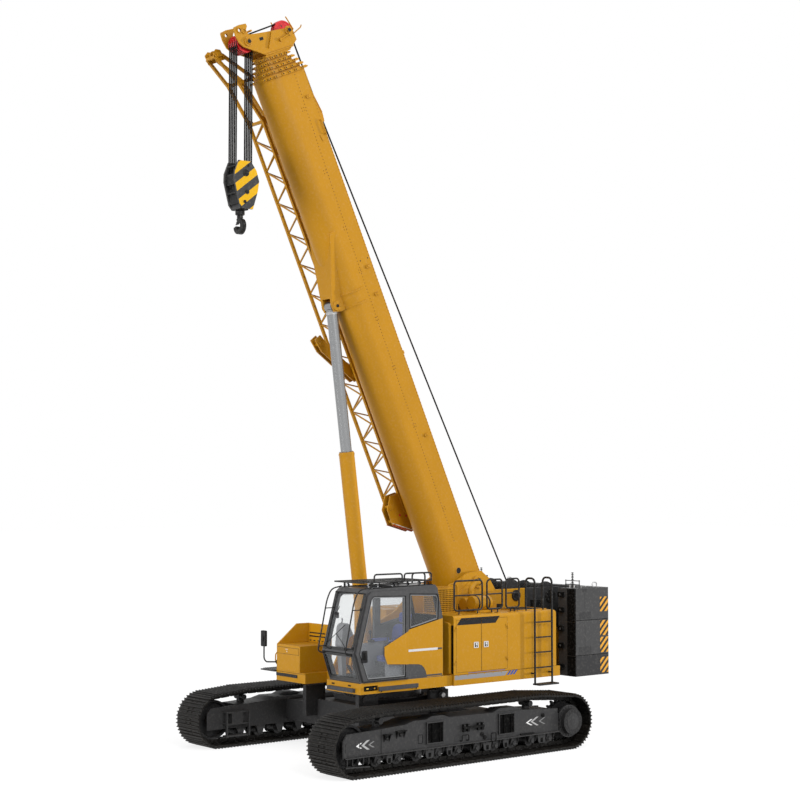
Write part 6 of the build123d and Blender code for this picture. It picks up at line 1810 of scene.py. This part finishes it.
@dataclass
class BoomTrim:
    """Weld dots, straps, lugs, pads and bolts on the boom's sections and cylinder."""

    half: float = BOOM_HALF
    top: float = BOOM_TOP

    def build(self) -> None:
        """Dress the base section, the collars, the cylinder and the foot."""
        self._welds()
        self._base()
        for body, half, depth, top, end, rise in SECTION_TABLE:
            self._collar(body, half, depth, top, end, rise)
        self._cylinder()

    def _welds(self) -> None:
        """Dotted weld line and pairs of dots along each side, in a darker yellow as painted shade, and beads along
        the top edges.
        """
        dots = Shape()
        along = np.arange(0.95, 10.34, 0.062)
        down = np.interp(along, (0.9, 5.4, 7.5, 10.4), (0.128, 0.104, 0.080, 0.020))
        for sign in (1.0, -1.0):
            line = PIVOT + along[:, None] * ALONG + down[:, None] * DOWN + sign * self.half * EAST
            dots.beads(line, sign * EAST, 0.0105, 0.003, 1)
            edge = np.arange(0.15, 10.34, 0.070)
            rim = PIVOT + edge[:, None] * ALONG - (self.top - 0.004) * DOWN + sign * (self.half - 0.004) * EAST
            dots.beads(rim, sign * EAST - DOWN, 0.016, 0.009)
        for start in (1.60, 3.35, 4.55, 5.55, 6.50, 7.35, 8.45, 9.65):
            for sign in (1.0, -1.0):
                pair = [boom_at(sign * self.half, start + step, 0.075 + lift)
                        for step in (0.0, 0.055) for lift in (0.0, 0.055)]
                dots.beads(np.array(pair), sign * EAST, 0.010, 0.004, 1)
        dots.piece("boom_welds", (BOOM_YELLOW, WELD_DOT_SHADE), "boom", angle=60.0)

    def _base(self) -> None:
        """Lugs, straps, handle, foot hole with a dark disc as painted shade in it, pads and rope guide's rails of
        the base section.
        """
        trim = Shape()
        for sign in (1.0, -1.0):
            x = sign * self.half
            for along, down in ((6.540, -0.105), (6.000, -0.090), (3.10, -0.09), (9.86, -0.10)):
                trim.box(boom_at(x + sign * 0.012, along, down), (0.026, 0.050, 0.105), BOOM_AXES)
                trim.disc(boom_at(x + sign * 0.024, along, down), (sign, 0, 0), 0.017, 0.010)
            trim.beads(np.array([boom_at(x, 6.692, -0.165), boom_at(x, 6.698, 0.018)]), (sign, 0, 0), 0.014,
                       0.002, 1)
            # Dark disc in the foot hole: painted shade.
            trim.disc(boom_at(x, 0.373, 0.269), (sign, 0, 0), 0.058, 0.002, 1)
            trim.ring(boom_at(x, 0.373, 0.269), (sign, 0, 0), 0.074, 0.058, 0.006)
            trim.ring(boom_at(x, 0.0, 0.0), (sign, 0, 0), 0.200, 0.125, 0.012)
            around = np.linspace(0.0, 2.0 * np.pi, 12, endpoint=False)
            heads = [boom_at(x + sign * 0.012, 0.165 * math.cos(a), 0.165 * math.sin(a)) for a in around]
            trim.bolts(heads, (sign, 0, 0), 0.012, 0.010)
            grip = (boom_at(x, 9.39, -0.180), boom_at(x + sign * 0.045, 9.39, -0.180),
                    boom_at(x + sign * 0.045, 9.12, -0.180), boom_at(x, 9.12, -0.180))
            trim.pipe(grip, 0.010, 0.03)
            fan = ((9.135, -0.060), (9.085, -0.150), (9.010, -0.130), (9.010, -0.080))
            trim.prism(fan, boom_at(x, 0.0, 0.0), ALONG, DOWN, sign * 0.010)
            for along in (6.225, 5.975):
                self._strap(trim, sign, along)
            boss = boom_at(sign * 0.1725, 6.090, 0.760)
            trim.disc(boss, (sign, 0, 0), 0.090, 0.018)
            heads = [boss + sign * 0.018 * EAST + 0.062 * (math.cos(a) * ALONG + math.sin(a) * DOWN)
                     for a in np.linspace(0.0, 2.0 * np.pi, 6, endpoint=False)]
            trim.bolts(heads, (sign, 0, 0), 0.010, 0.009)
            trim.disc(boss + sign * 0.018 * EAST, (sign, 0, 0), 0.030, 0.010, 1)
        for along in np.arange(1.6, 9.2, 1.25):
            trim.box(boom_at(0.0, along, -self.top - 0.004), (0.30, 0.060, 0.008), BOOM_AXES)
        for x in (-0.012, 0.132):
            trim.tube((boom_at(x, 9.50, -0.455), boom_at(x, 10.40, -0.300)), 0.008, 8)
        for x in (-0.30, 0.30):
            trim.box(boom_at(x, 4.753, -self.top - 0.022), (0.030, 0.070, 0.044), BOOM_AXES)
            trim.disc(boom_at(x - 0.018, 4.753, -self.top - 0.030), EAST, 0.018, 0.036)
        trim.piece("boom_base_trim", (BOOM_YELLOW, DARK_MARK_AND_HOLE_SHADE), "boom", bevel=0.002)

    def _strap(self, trim: Shape, sign: float, along: float) -> None:
        """Flat bar that follows the boom's round bottom from its side to the wedge.

        The bottom is an arc of the half width's radius below the sides; the
        bar's section is carried along that arc.
        """
        bend_down = -self.top + 0.870 - self.half
        turn = np.linspace(0.0, math.radians(58.0), 14)
        start = np.linspace(0.0, 1.0, 5)[:-1]
        x = np.concatenate((np.full(4, self.half), self.half * np.cos(turn)))
        down = np.concatenate((0.176 + start * (bend_down - 0.176), bend_down + self.half * np.sin(turn)))
        out_x = np.concatenate((np.ones(4), np.cos(turn)))
        out_down = np.concatenate((np.zeros(4), np.sin(turn)))
        rings = []
        for lift, shift in ((0.0, -0.014), (0.012, -0.014), (0.012, 0.014), (0.0, 0.014)):
            rings.append(PIVOT + (sign * (x + lift * out_x))[:, None] * EAST + (along + shift) * ALONG
                         + (down + lift * out_down)[:, None] * DOWN)
        trim.loft(np.stack(rings, 1), 0, False)

    @staticmethod
    def _collar(body: str, half: float, depth: float, top: float, end: float, rise: float) -> None:
        """Pad blocks, bolts and ears round one section's front collar."""
        trim = Shape()
        middle = end - 0.025
        bend_down = -top + depth - half
        for sign in (1.0, -1.0):
            x = sign * (half + rise)
            for share in (0.12, 0.42, 0.72, 1.0):
                down = -top + share * (bend_down + top)
                trim.box(boom_at(x + sign * 0.010, middle, down), (0.024, 0.038, 0.062), BOOM_AXES)
                trim.bolts([boom_at(x + sign * 0.022, middle, down)], (sign, 0, 0), 0.010, 0.012, 1)
            for angle in (0.40, 0.68, 0.96):
                out = sign * math.cos(angle) * EAST + math.sin(angle) * DOWN
                radius = half + rise + 0.009
                place = boom_at(0.0, middle, bend_down) + out * radius
                axes = np.stack((out, ALONG, np.cross(out, ALONG)))
                trim.box(place, (0.022, 0.038, 0.056), axes)
                trim.bolts([place + out * 0.011], out, 0.009, 0.011, 1)
            ear = ((end - 0.046, -top - rise), (end - 0.046, -top - rise - 0.085),
                   (end - 0.030, -top - rise - 0.105),
                   (end - 0.012, -top - rise - 0.085), (end - 0.006, -top - rise))
            trim.prism(ear, boom_at(sign * (half - 0.055), 0.0, 0.0), ALONG, DOWN, 0.014)
            trim.bolts([boom_at(sign * (half - 0.055) - 0.002, end - 0.028, -top - rise - 0.07)], -EAST,
                       0.009, 0.008, 1)
        for x in (-half * 0.45, 0.0, half * 0.45):
            trim.box(boom_at(x, middle, -top - rise - 0.009), (0.060, 0.036, 0.020), BOOM_AXES)
        trim.piece(f"collar_{body}", (BOOM_YELLOW, RAIL_BLACK), body, bevel=0.0015)

    @staticmethod
    def _cylinder() -> None:
        """Gland ring, bolts, band, wiper ring and eye caps of the cylinder."""
        foot = np.array((0.0, -0.430, 1.900))
        eye = boom_at(0.0, 6.090, 0.760)
        reach = (eye - foot) / np.linalg.norm(eye - foot)
        back = np.cross(reach, EAST)
        trim = Shape()
        end = foot + reach * 3.660
        trim.ring(end - reach * 0.040, reach, 0.150, 0.1452, 0.036, steps=40)
        trim.ring(end, reach, 0.140, 0.112, 0.022, steps=40)
        around = np.linspace(0.0, 2.0 * np.pi, 10, endpoint=False)
        heads = [end + 0.126 * (math.cos(a) * EAST + math.sin(a) * back) + reach * 0.022 for a in around]
        trim.bolts(heads, reach, 0.009, 0.010, 1)
        trim.ring(foot + reach * 0.20, reach, 0.152, 0.1452, 0.060, steps=40)
        trim.piece("cylinder_trim", (BOOM_YELLOW, RAIL_BLACK), "luff_barrel", bevel=0.002)
        rod = Shape()
        collar = eye - reach * 0.150
        rod.ring(collar, reach, 0.116, 0.1055, 0.050, steps=40)
        rod.disc(eye + 0.101 * EAST, EAST, 0.085, 0.010)
        rod.disc(eye - 0.101 * EAST, -EAST, 0.085, 0.010)
        rod.piece("rod_trim", (BARE,), "luff_rod", bevel=0.002)


# ----------------------------------------------------------------- boom head, jib and hook block
@dataclass
class HeadTrim:
    """Ribs, bosses, guards and bolts on the boom's head."""

    plate: float = 0.225
    axles: tuple[tuple[float, float], ...] = ((11.133, 0.690), (11.100, -0.260))

    def build(self) -> None:
        """Dress both side plates and the cross bars between them."""
        trim = Shape()
        for sign in (1.0, -1.0):
            x = sign * self.plate
            for along, down in self.axles:
                trim.disc(boom_at(x, along, down), (sign, 0, 0), 0.082, 0.022)
                heads = [boom_at(x + sign * 0.022, along + 0.064 * math.cos(a), down + 0.064 * math.sin(a))
                         for a in np.linspace(0.3, 2.0 * np.pi + 0.3, 6, endpoint=False)]
                trim.bolts(heads, (sign, 0, 0), 0.009, 0.008)
                trim.disc(boom_at(sign * 0.270, along, down), (sign, 0, 0), 0.036, 0.010, 1)
            trim.prism(((10.905, 0.300), (10.925, 0.300), (11.175, 0.130), (11.165, 0.112), (10.905, 0.282)),
                       boom_at(x, 0.0, 0.0), ALONG, DOWN, sign * 0.030)
            trim.prism(((10.800, -0.250), (10.815, -0.250), (10.815, 0.420), (10.800, 0.420)),
                       boom_at(x, 0.0, 0.0),
                       ALONG, DOWN, sign * 0.026)
            trim.prism(((11.080, 0.340), (11.135, 0.340), (11.135, 0.425), (11.080, 0.425)),
                       boom_at(x, 0.0, 0.0),
                       ALONG, DOWN, sign * 0.004, 1)
            link = (boom_at(x + sign * 0.02, 10.985, -0.010), boom_at(x + sign * 0.02, 11.035, -0.250))
            trim.tube(link, 0.014, 10)
            for place in link:
                trim.disc(place - sign * 0.02 * EAST, (sign, 0, 0), 0.030, 0.040)
            for along, down in ((11.368, 0.790), (11.33, 0.700)):
                trim.ring(boom_at(x, along, down), (sign, 0, 0), 0.050, 0.034, 0.016)
            edge = ((11.430, 0.600), (11.442, 0.760), (11.427, 0.880))
            trim.tube([boom_at(x - sign * 0.015, *place) for place in edge], 0.018, 8)
        for along, down in ((10.900, 0.470), (11.300, 0.520), (10.950, 0.020)):
            trim.tube((boom_at(-0.20, along, down), boom_at(0.20, along, down)), 0.018, 12, False, 0)
        guard = (boom_at(-0.235, 11.085, -0.375), boom_at(-0.235, 11.345, -0.300),
                 boom_at(0.235, 11.345, -0.300),
                 boom_at(0.235, 11.085, -0.375))
        trim.pipe(guard[:2], 0.012, 0.02)
        trim.pipe(guard[2:], 0.012, 0.02)
        spike = (boom_at(0.232, 11.02, -0.36), boom_at(0.232, 11.085, -0.56), boom_at(0.232, 11.12, -0.585))
        trim.pipe(spike, 0.011, 0.04)
        trim.piece("head_trim", (BOOM_YELLOW, RAIL_BLACK), "tele_5", bevel=0.002)
        self._sheaves()

    def _sheaves(self) -> None:
        """Hubs and retaining rings on the outer sheaves of both stacks, and darker red discs as painted shade in
        the sheaves' holes.
        """
        for name, body, (along, down), radius, reach in (
            ("front_sheave_trim", "lower_sheaves", self.axles[0], 0.180, (-0.1392, 0.1392)),
            ("rear_sheave_trim", "upper_sheaves", self.axles[1], 0.215, (-0.0272, 0.0832)),
        ):
            trim = Shape()
            for x, sign in zip(reach, (-1.0, 1.0)):
                centre = boom_at(x, along, down)
                trim.ring(centre, (sign, 0, 0), 0.075, 0.047, 0.010)
                trim.ring(centre, (sign, 0, 0), radius - 0.004, radius - 0.030, 0.006)
                # Darker red discs: painted shade in the sheave's holes.
                holes = [centre + 0.110 * (math.cos(a) * ALONG + math.sin(a) * DOWN)
                         for a in np.linspace(0.0, 2.0 * np.pi, 6, endpoint=False)]
                trim.beads(np.array(holes), (sign, 0, 0), 0.020, 0.002, 1)
            trim.piece(name, (SHEAVE_RED, SHEAVE_HOLE_SHADE), body, bevel=0.0015)


@dataclass
class JibTrim:
    """Head roller, foot edges, pins and clamps of the stowed lattice jib."""

    foot_x: tuple[float, float] = (-0.438, -0.622)

    def build(self) -> None:
        """Dress the jib's foot, hangers and head."""
        trim = Shape()
        foot = ((1.290, 0.080), (1.290, 0.450), (1.600, 0.820))
        for x in self.foot_x:
            for offset, mark in ((0.0, 1), (0.030, 2)):
                band = [np.array(place) + (offset, -offset * 0.4) for place in foot]
                path = [boom_at(x, *place) for place in band]
                trim.tube(path, 0.011, 6, False, mark)
            for along, down in ((1.640, 0.740), (1.930, 0.700), (1.400, 0.200)):
                trim.ring(boom_at(x, along, down), EAST, 0.062, 0.036, 0.010 if x > -0.5 else -0.010)
            for along, down in ((1.55, 0.30), (1.62, 0.44), (1.70, 0.58)):
                trim.beads(np.array([boom_at(x, along, down)]), EAST, 0.026, 0.004, 1)
        for along in (2.66, 8.66):
            for down in (-0.075, 0.015):
                trim.box(boom_at(-0.422, along, down), (0.020, 0.14, 0.016), BOOM_AXES)
            trim.bolts([boom_at(-0.40, along + step, -0.086) for step in (-0.04, 0.04)], -DOWN, 0.012, 0.012,
                       3)
        end = 11.080
        trim.tube((boom_at(-0.40, end + 0.02, 0.925), boom_at(-0.77, end + 0.02, 0.925)), 0.040, 16)
        for x in (-0.45, -0.72):
            tab = ((end - 0.10, 0.800), (end + 0.09, 0.840), (end + 0.13, 0.930), (end + 0.08, 1.020),
                   (end - 0.10, 1.010))
            trim.prism(tab, boom_at(x, 0.0, 0.0), ALONG, DOWN, -0.012)
            trim.bolts([boom_at(x, end + 0.02, 0.925)], EAST, 0.022, 0.014, 3)
        trim.turned(((0.085, -0.020), (0.095, -0.016), (0.070, -0.006), (0.070, 0.006), (0.095, 0.016),
                     (0.085, 0.020)),
                    boom_at(-0.585, end + 0.02, 0.925), EAST, 28)
        for along, inner, outer, low, high in ((9.72, -0.45, -0.90, 0.47, 0.06),
                                               (10.5, -0.45, -0.80, 0.70, 0.35)):
            for x in (inner, outer):
                gusset = ((along - 0.09, high), (along + 0.09, high), (along + 0.02, high + 0.11))
                trim.prism(gusset, boom_at(x, 0.0, 0.0), ALONG, DOWN, -0.010 if x < -0.6 else 0.010)
                gusset = ((along - 0.09, low), (along + 0.09, low), (along + 0.02, low - 0.11))
                trim.prism(gusset, boom_at(x, 0.0, 0.0), ALONG, DOWN, -0.010 if x < -0.6 else 0.010)
        trim.piece("jib_trim", (BOOM_YELLOW, RED_MARK, WHITE_MARK, ZINC), "boom", bevel=0.002)


@dataclass
class BlockTrim:
    """Plates, nuts and pins of the hook block, and the hook's nut and latch."""


    def build(self) -> None:
        """Work out the block's axle from the boom's head, then dress cheeks and hook."""
        head = boom_at(0.0, 11.133, 0.690)
        y, z = float(head[1]), float(head[2]) - 2.190 - 0.180
        trim = Shape()
        for sign in (1.0, -1.0):
            x = sign * 0.185
            for dy, dz, radius in ((0.0, 0.0, 0.062), (0.03, -0.34, 0.040), (-0.02, -0.52, 0.030),
                                   (0.05, 0.14, 0.022)):
                trim.disc((x, y + dy, z + dz), (sign, 0, 0), radius, 0.012)
                trim.bolts([(x + sign * 0.012, y + dy, z + dz)], (sign, 0, 0), radius * 0.5, 0.012)
        for dz, wide in ((0.185, 0.30), (-0.30, 0.30)):
            trim.tube(((-wide / 2, y - 0.17, z + dz - 0.06), (wide / 2, y - 0.17, z + dz - 0.06)), 0.018, 10)
            trim.tube(((-wide / 2, y + 0.15, z + dz - 0.06), (wide / 2, y + 0.15, z + dz - 0.06)), 0.018, 10)
        trim.span((-0.144, y - 0.140, z - 0.56), (0.144, y - 0.120, z - 0.20))
        trim.span((-0.144, y - 0.205, z - 0.22), (0.144, y - 0.185, z - 0.02))
        trim.span((-0.120, y - 0.100, z - 0.655), (0.120, y + 0.100, z - 0.641))
        trim.piece("block_trim", (HOOK_BLACK,), "block", bevel=0.003)
        hook = Shape()
        foot = z - 0.6403
        hook.turned(((0.075, -0.100), (0.085, -0.090), (0.085, -0.030), (0.070, -0.018)), (0.0, y, foot), UP,
                    24)
        hook.turned(((0.050, -0.160), (0.058, -0.135), (0.050, -0.100)), (0.0, y, foot), UP, 24)
        centre = foot - 0.300
        latch = ((-0.030, centre + 0.070), (-0.120, centre + 0.055), (-0.128, centre + 0.035),
                 (-0.045, centre + 0.040))
        hook.prism(latch, (0.0, y + 0.013, 0.0), EAST, UP, 0.026, 1)
        hook.disc((-0.030, y - 0.044, centre + 0.060), -NORTH, 0.018, 0.008, 1)
        hook.piece("hook_trim", (HOOK_BLACK, RAIL_BLACK), "hook", bevel=0.003)


# ----------------------------------------------------------------- winches
@dataclass
class WinchTrim:
    """Rope wound on each drum, flange bolts and brakes, and fittings round the boom's foot."""

    rope: float = 0.012

    def build(self) -> None:
        """Wind both drums and dress the frames."""
        for name, body, y, z, drum, flange in (
            ("winch_main_trim", "main_winch", 3.000, 2.785, 0.190, 0.275),
            ("winch_aux_trim", "aux_winch", 3.950, 2.715, 0.185, 0.270),
        ):
            wound = Shape()
            turns = 22
            run = np.linspace(0.0, turns, turns * 20)
            coil = np.stack((-0.285 + 0.57 * run / turns, y + (drum + self.rope) * np.cos(2.0 * np.pi * run),
                             z + (drum + self.rope) * np.sin(2.0 * np.pi * run)), -1)
            wound.tube(coil, self.rope, 7)
            wound.piece(f"{body}_rope", (ROPE,), body)
            trim = Shape()
            for sign in (1.0, -1.0):
                centre = (sign * 0.325, y, z)
                heads = [(sign * 0.325, y + 0.225 * math.cos(a), z + 0.225 * math.sin(a))
                         for a in np.linspace(0.0, 2.0 * np.pi, 12, endpoint=False)]
                trim.bolts(heads, (sign, 0, 0), 0.011, 0.008)
                trim.ring(centre, (sign, 0, 0), 0.150, 0.085, 0.012)
            trim.piece(name, (HUB_GREY,), body, bevel=0.002)
        self._frames()

    @staticmethod
    def _frames() -> None:
        """Bearing covers, valve blocks and pipes on the cheeks' outer faces."""
        trim = Shape()
        for sign in (1.0, -1.0):
            x = sign * 0.450
            for y, z, radius, mark in ((3.000, 2.745, 0.110, 1), (3.950, 2.700, 0.130, 1),
                                       (1.980, 3.050, 0.120, 0)):
                trim.disc((x, y, z), (sign, 0, 0), radius, 0.030, mark)
                heads = [(x + sign * 0.030, y + radius * 0.75 * math.cos(a), z + radius * 0.75 * math.sin(a))
                         for a in np.linspace(0.0, 2.0 * np.pi, 8, endpoint=False)]
                trim.bolts(heads, (sign, 0, 0), 0.011, 0.009, mark)
            trim.disc((x + sign * 0.03, 1.980, 3.050), (sign, 0, 0), 0.070, 0.014, 2)
            for low, high, foot, top in ((2.30, 2.55, 2.42, 2.60), (3.40, 3.62, 2.50, 2.64)):
                trim.span((min(x, x + sign * 0.09), low, foot), (max(x, x + sign * 0.09), high, top), 2)
                trim.bolts([(x + sign * 0.09, y, z) for y in (low + 0.04, high - 0.04) for z in (foot + 0.04,
                                                                                                 top - 0.04)],
                           (sign, 0, 0), 0.010, 0.008, 1)
            for lift in (0.0, 0.035, 0.070):
                pipe = ((x + sign * 0.030, 1.02, 2.56 + lift), (x + sign * 0.030, 2.20, 2.56 + lift),
                        (x + sign * 0.030, 2.32, 2.50 + lift))
                trim.pipe(pipe, 0.010, 0.10, 1)
            for y in (1.20, 1.60, 2.00):
                trim.box((x + sign * 0.020, y, 2.595), (0.050, 0.030, 0.13), mark=1)
            rib = ((1.15, 2.60), (1.75, 3.05), (1.78, 3.02), (1.20, 2.57))
            trim.plate(rib, x, sign * 0.012)
            trim.plate(((0.62, 2.26), (1.08, 2.26), (1.08, 2.275), (0.62, 2.275)), x, sign * 0.020)
        trim.piece("upper_frame_trim", (YELLOW, RAIL_BLACK, HOOK_BLACK), "upper", bevel=0.003)


# ----------------------------------------------------------------- the model's own nodes
@dataclass
class Dresser:
    """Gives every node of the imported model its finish."""

    table: dict[str, Finish | Glazing] = field(default_factory=lambda: {
        "track_left": TRACK_STEEL, "track_right": TRACK_STEEL, "track_frames": FRAME_BLACK,
        "rollers": FRAME_BLACK, "idlers": HUB_GREY, "sprockets": HUB_GREY, "carbody": FRAME_BLACK,
        "turntable_frame": YELLOW, "side_decks": YELLOW, "engine_hood": YELLOW,
        "hood_door_front": YELLOW, "hood_door_rear": YELLOW, "engine_block": ENGINE,
        "right_housing": YELLOW, "tool_box": YELLOW, "counterweight_base": BALLAST_DARK,
        "counterweight_middle": BALLAST, "counterweight_top": BALLAST, "winch_main": HUB_GREY,
        "winch_aux": HUB_GREY, "winch_frame": FRAME_BLACK, "hoist_rope": ROPE, "handrails": RAIL_BLACK,
        "ladder": RAIL_BLACK, "cab_shell": CAB_GREY,
        "cab_glass": CLEAR, "cab_door": CAB_GREY, "door_glass": SMOKED, "operator_seat": SEAT_BLUE,
        "control_console": GREY_PLASTIC, "cab_guards": RAIL_BLACK, "mirror": PLASTIC,
        "boom_base": BOOM_YELLOW, "boom_section_2": BOOM_YELLOW, "boom_section_3": BOOM_YELLOW,
        "boom_section_4": BOOM_YELLOW, "boom_section_5": BOOM_YELLOW, "luff_cylinder_barrel": BOOM_YELLOW,
        "luff_cylinder_rod": CHROME, "boom_head": BOOM_YELLOW, "head_sheaves": SHEAVE_RED,
        "rear_sheaves": SHEAVE_RED, "rope_falls": ROPE, "hook_block": BLOCK_STRIPES,
        "crane_hook": HOOK_BLACK, "guide_roller": BARE, "fly_jib": BOOM_YELLOW,
    })

    def build(self, nodes: dict[str, bpy.types.Object]) -> None:
        """Assign the finishes.

        Args:
            nodes: The frame's node objects by name.
        """
        for name, node in nodes.items():
            node.data.materials.clear()
            node.data.materials.append(PALETTE.get(self.table[name]))
        LOG.info("dressed %d nodes", len(nodes))


# ----------------------------------------------------------------- studio
@dataclass
class Studio:
    """Camera, lights and floor."""

    eye: tuple[float, float, float] = (23.863, -19.079, 4.796)
    turn: tuple[float, float, float] = (93.303, 0.0, 50.794)
    lens: float = 72.0
    key_power: float = 3700.0
    key_from: tuple[float, float, float] = (26.0, -6.0, 19.0)
    key_size: float = 12.0
    front_power: float = 4600.0
    front_from: tuple[float, float, float] = (-3.0, -27.0, 4.0)
    sun_power: float = 2.4
    sun_way: tuple[float, float, float] = (-0.385, -0.923, -0.03)
    sky: float = 0.95
    sky_way: tuple[float, float, float] = (0.62, 0.12, 0.78)

    def build(self) -> None:
        """Set up the view, the world and the floor."""
        scene = bpy.context.scene
        scene.view_settings.view_transform = "Standard"
        scene.view_settings.look = "None"
        self._camera(scene)
        self._lamp("key", self.key_from, self.key_power, self.key_size, True)
        self._lamp("front", self.front_from, self.front_power, 10.0, False)
        self._sun(scene)
        self._world(scene)
        self._floor()

    def _camera(self, scene: bpy.types.Scene) -> None:
        """Place the camera and aim it at the machine."""
        data = bpy.data.cameras.new("camera")
        data.lens = self.lens
        data.sensor_width = 36.0
        data.clip_end = 400.0
        camera = bpy.data.objects.new("camera", data)
        camera.location = self.eye
        camera.rotation_euler = [math.radians(angle) for angle in self.turn]
        scene.collection.objects.link(camera)
        scene.camera = camera

    @staticmethod
    def _lamp(name: str, place: Point, power: float, size: float, glossy: bool) -> None:
        """Soft square light that looks at the machine's middle."""
        data = bpy.data.lights.new(name, "AREA")
        data.energy = power
        data.size = size
        lamp = bpy.data.objects.new(name, data)
        lamp.location = place
        lamp.visible_glossy = glossy
        facing = np.array((0.0, 0.0, 4.0)) - np.array(place)
        lamp.rotation_euler = (math.atan2(float(np.hypot(*facing[:2])), -facing[2]), 0.0,
                               math.atan2(facing[1], facing[0]) - math.pi / 2)
        bpy.context.scene.collection.objects.link(lamp)

    def _sun(self, scene: bpy.types.Scene) -> None:
        """Low narrow light from behind that draws the ladder's crisp shadow on the house."""
        data = bpy.data.lights.new("sun", "SUN")
        data.energy = self.sun_power
        data.angle = math.radians(0.6)
        sun = bpy.data.objects.new("sun", data)
        sun.visible_glossy = False
        facing = np.array(self.sun_way)
        sun.rotation_euler = (math.atan2(float(np.hypot(*facing[:2])), -facing[2]), 0.0,
                              math.atan2(facing[1], facing[0]) - math.pi / 2)
        scene.collection.objects.link(sun)

    def _world(self, scene: bpy.types.Scene) -> None:
        """White for camera, glossy and transmitted rays, softer for the rest."""
        world = bpy.data.worlds.new("studio")
        scene.world = world
        world.use_nodes = True
        tree = Nodes(world.node_tree)
        seen = tree.node("ShaderNodeLightPath")
        plain = tree.node("ShaderNodeBackground")
        plain.inputs["Strength"].default_value = 1.0
        plain.inputs["Color"].default_value = (1.0, 1.0, 1.0, 1.0)
        soft = tree.node("ShaderNodeBackground")
        soft.inputs["Strength"].default_value = self.sky
        way = tree.dot(tree.node("ShaderNodeTexCoord").outputs["Generated"], self.sky_way)
        share = tree.ramp(way, -0.35, 0.85, 0.0, 1.0)
        tree.link(tree.mix(share, (0.16, 0.16, 0.165), (1.0, 1.0, 1.0)), soft.inputs["Color"])
        clear = tree.math("MAXIMUM", seen.outputs["Is Camera Ray"], seen.outputs["Is Transmission Ray"])
        clear = tree.math("MAXIMUM", clear, seen.outputs["Is Glossy Ray"])
        blend = tree.node("ShaderNodeMixShader")
        tree.link(clear, blend.inputs[0])
        tree.link(soft.outputs[0], blend.inputs[1])
        tree.link(plain.outputs[0], blend.inputs[2])
        out = tree.node("ShaderNodeOutputWorld")
        tree.link(blend.outputs[0], out.inputs["Surface"])

    @staticmethod
    def _floor() -> None:
        """Wide pale floor that keeps the machine's shadow."""
        mesh = bpy.data.meshes.new("floor")
        half = 160.0
        corners = np.array(((-1, -1, 0), (1, -1, 0), (1, 1, 0), (-1, 1, 0))) * half
        mesh.from_pydata(corners.tolist(), [], [(0, 1, 2, 3)])
        floor = bpy.data.objects.new("floor", mesh)
        bpy.context.scene.collection.objects.link(floor)
        material = bpy.data.materials.new("floor")
        material.use_nodes = True
        tree = Nodes(material.node_tree)
        seen = tree.node("ShaderNodeLightPath")
        glow = tree.node("ShaderNodeEmission")
        glow.inputs["Strength"].default_value = 0.80
        shade = tree.node("ShaderNodeBsdfDiffuse")
        shade.inputs["Color"].default_value = (0.28, 0.28, 0.28, 1.0)
        pale = tree.node("ShaderNodeAddShader")
        tree.link(glow.outputs[0], pale.inputs[0])
        tree.link(shade.outputs[0], pale.inputs[1])
        dim = tree.node("ShaderNodeBsdfDiffuse")
        dim.inputs["Color"].default_value = (0.35, 0.34, 0.33, 1.0)
        blend = tree.node("ShaderNodeMixShader")
        clear = tree.math("MAXIMUM", seen.outputs["Is Camera Ray"], seen.outputs["Is Transmission Ray"])
        clear = tree.math("MAXIMUM", clear, seen.outputs["Is Glossy Ray"])
        tree.link(clear, blend.inputs[0])
        tree.link(dim.outputs[0], blend.inputs[1])
        tree.link(pale.outputs[0], blend.inputs[2])
        out = tree.node("ShaderNodeOutputMaterial")
        tree.link(blend.outputs[0], out.inputs["Surface"])
        mesh.materials.append(material)


def main() -> None:
    """Load the model, dress it and set up the studio."""
    logging.basicConfig(level=logging.INFO, format="%(message)s")
    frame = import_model()
    Studio().build()
    Dresser().build(frame["nodes"])
    for part in (TrackChain(), Ropes(), Chevrons(), TrackFrameTrim(), HouseTrim(), BallastTrim(), CabTrim(),
                 BoomTrim(), HeadTrim(), JibTrim(), BlockTrim(), WinchTrim()):
        part.build()
        LOG.info("built %s", type(part).__name__)


if __name__ == "__main__":
    main()
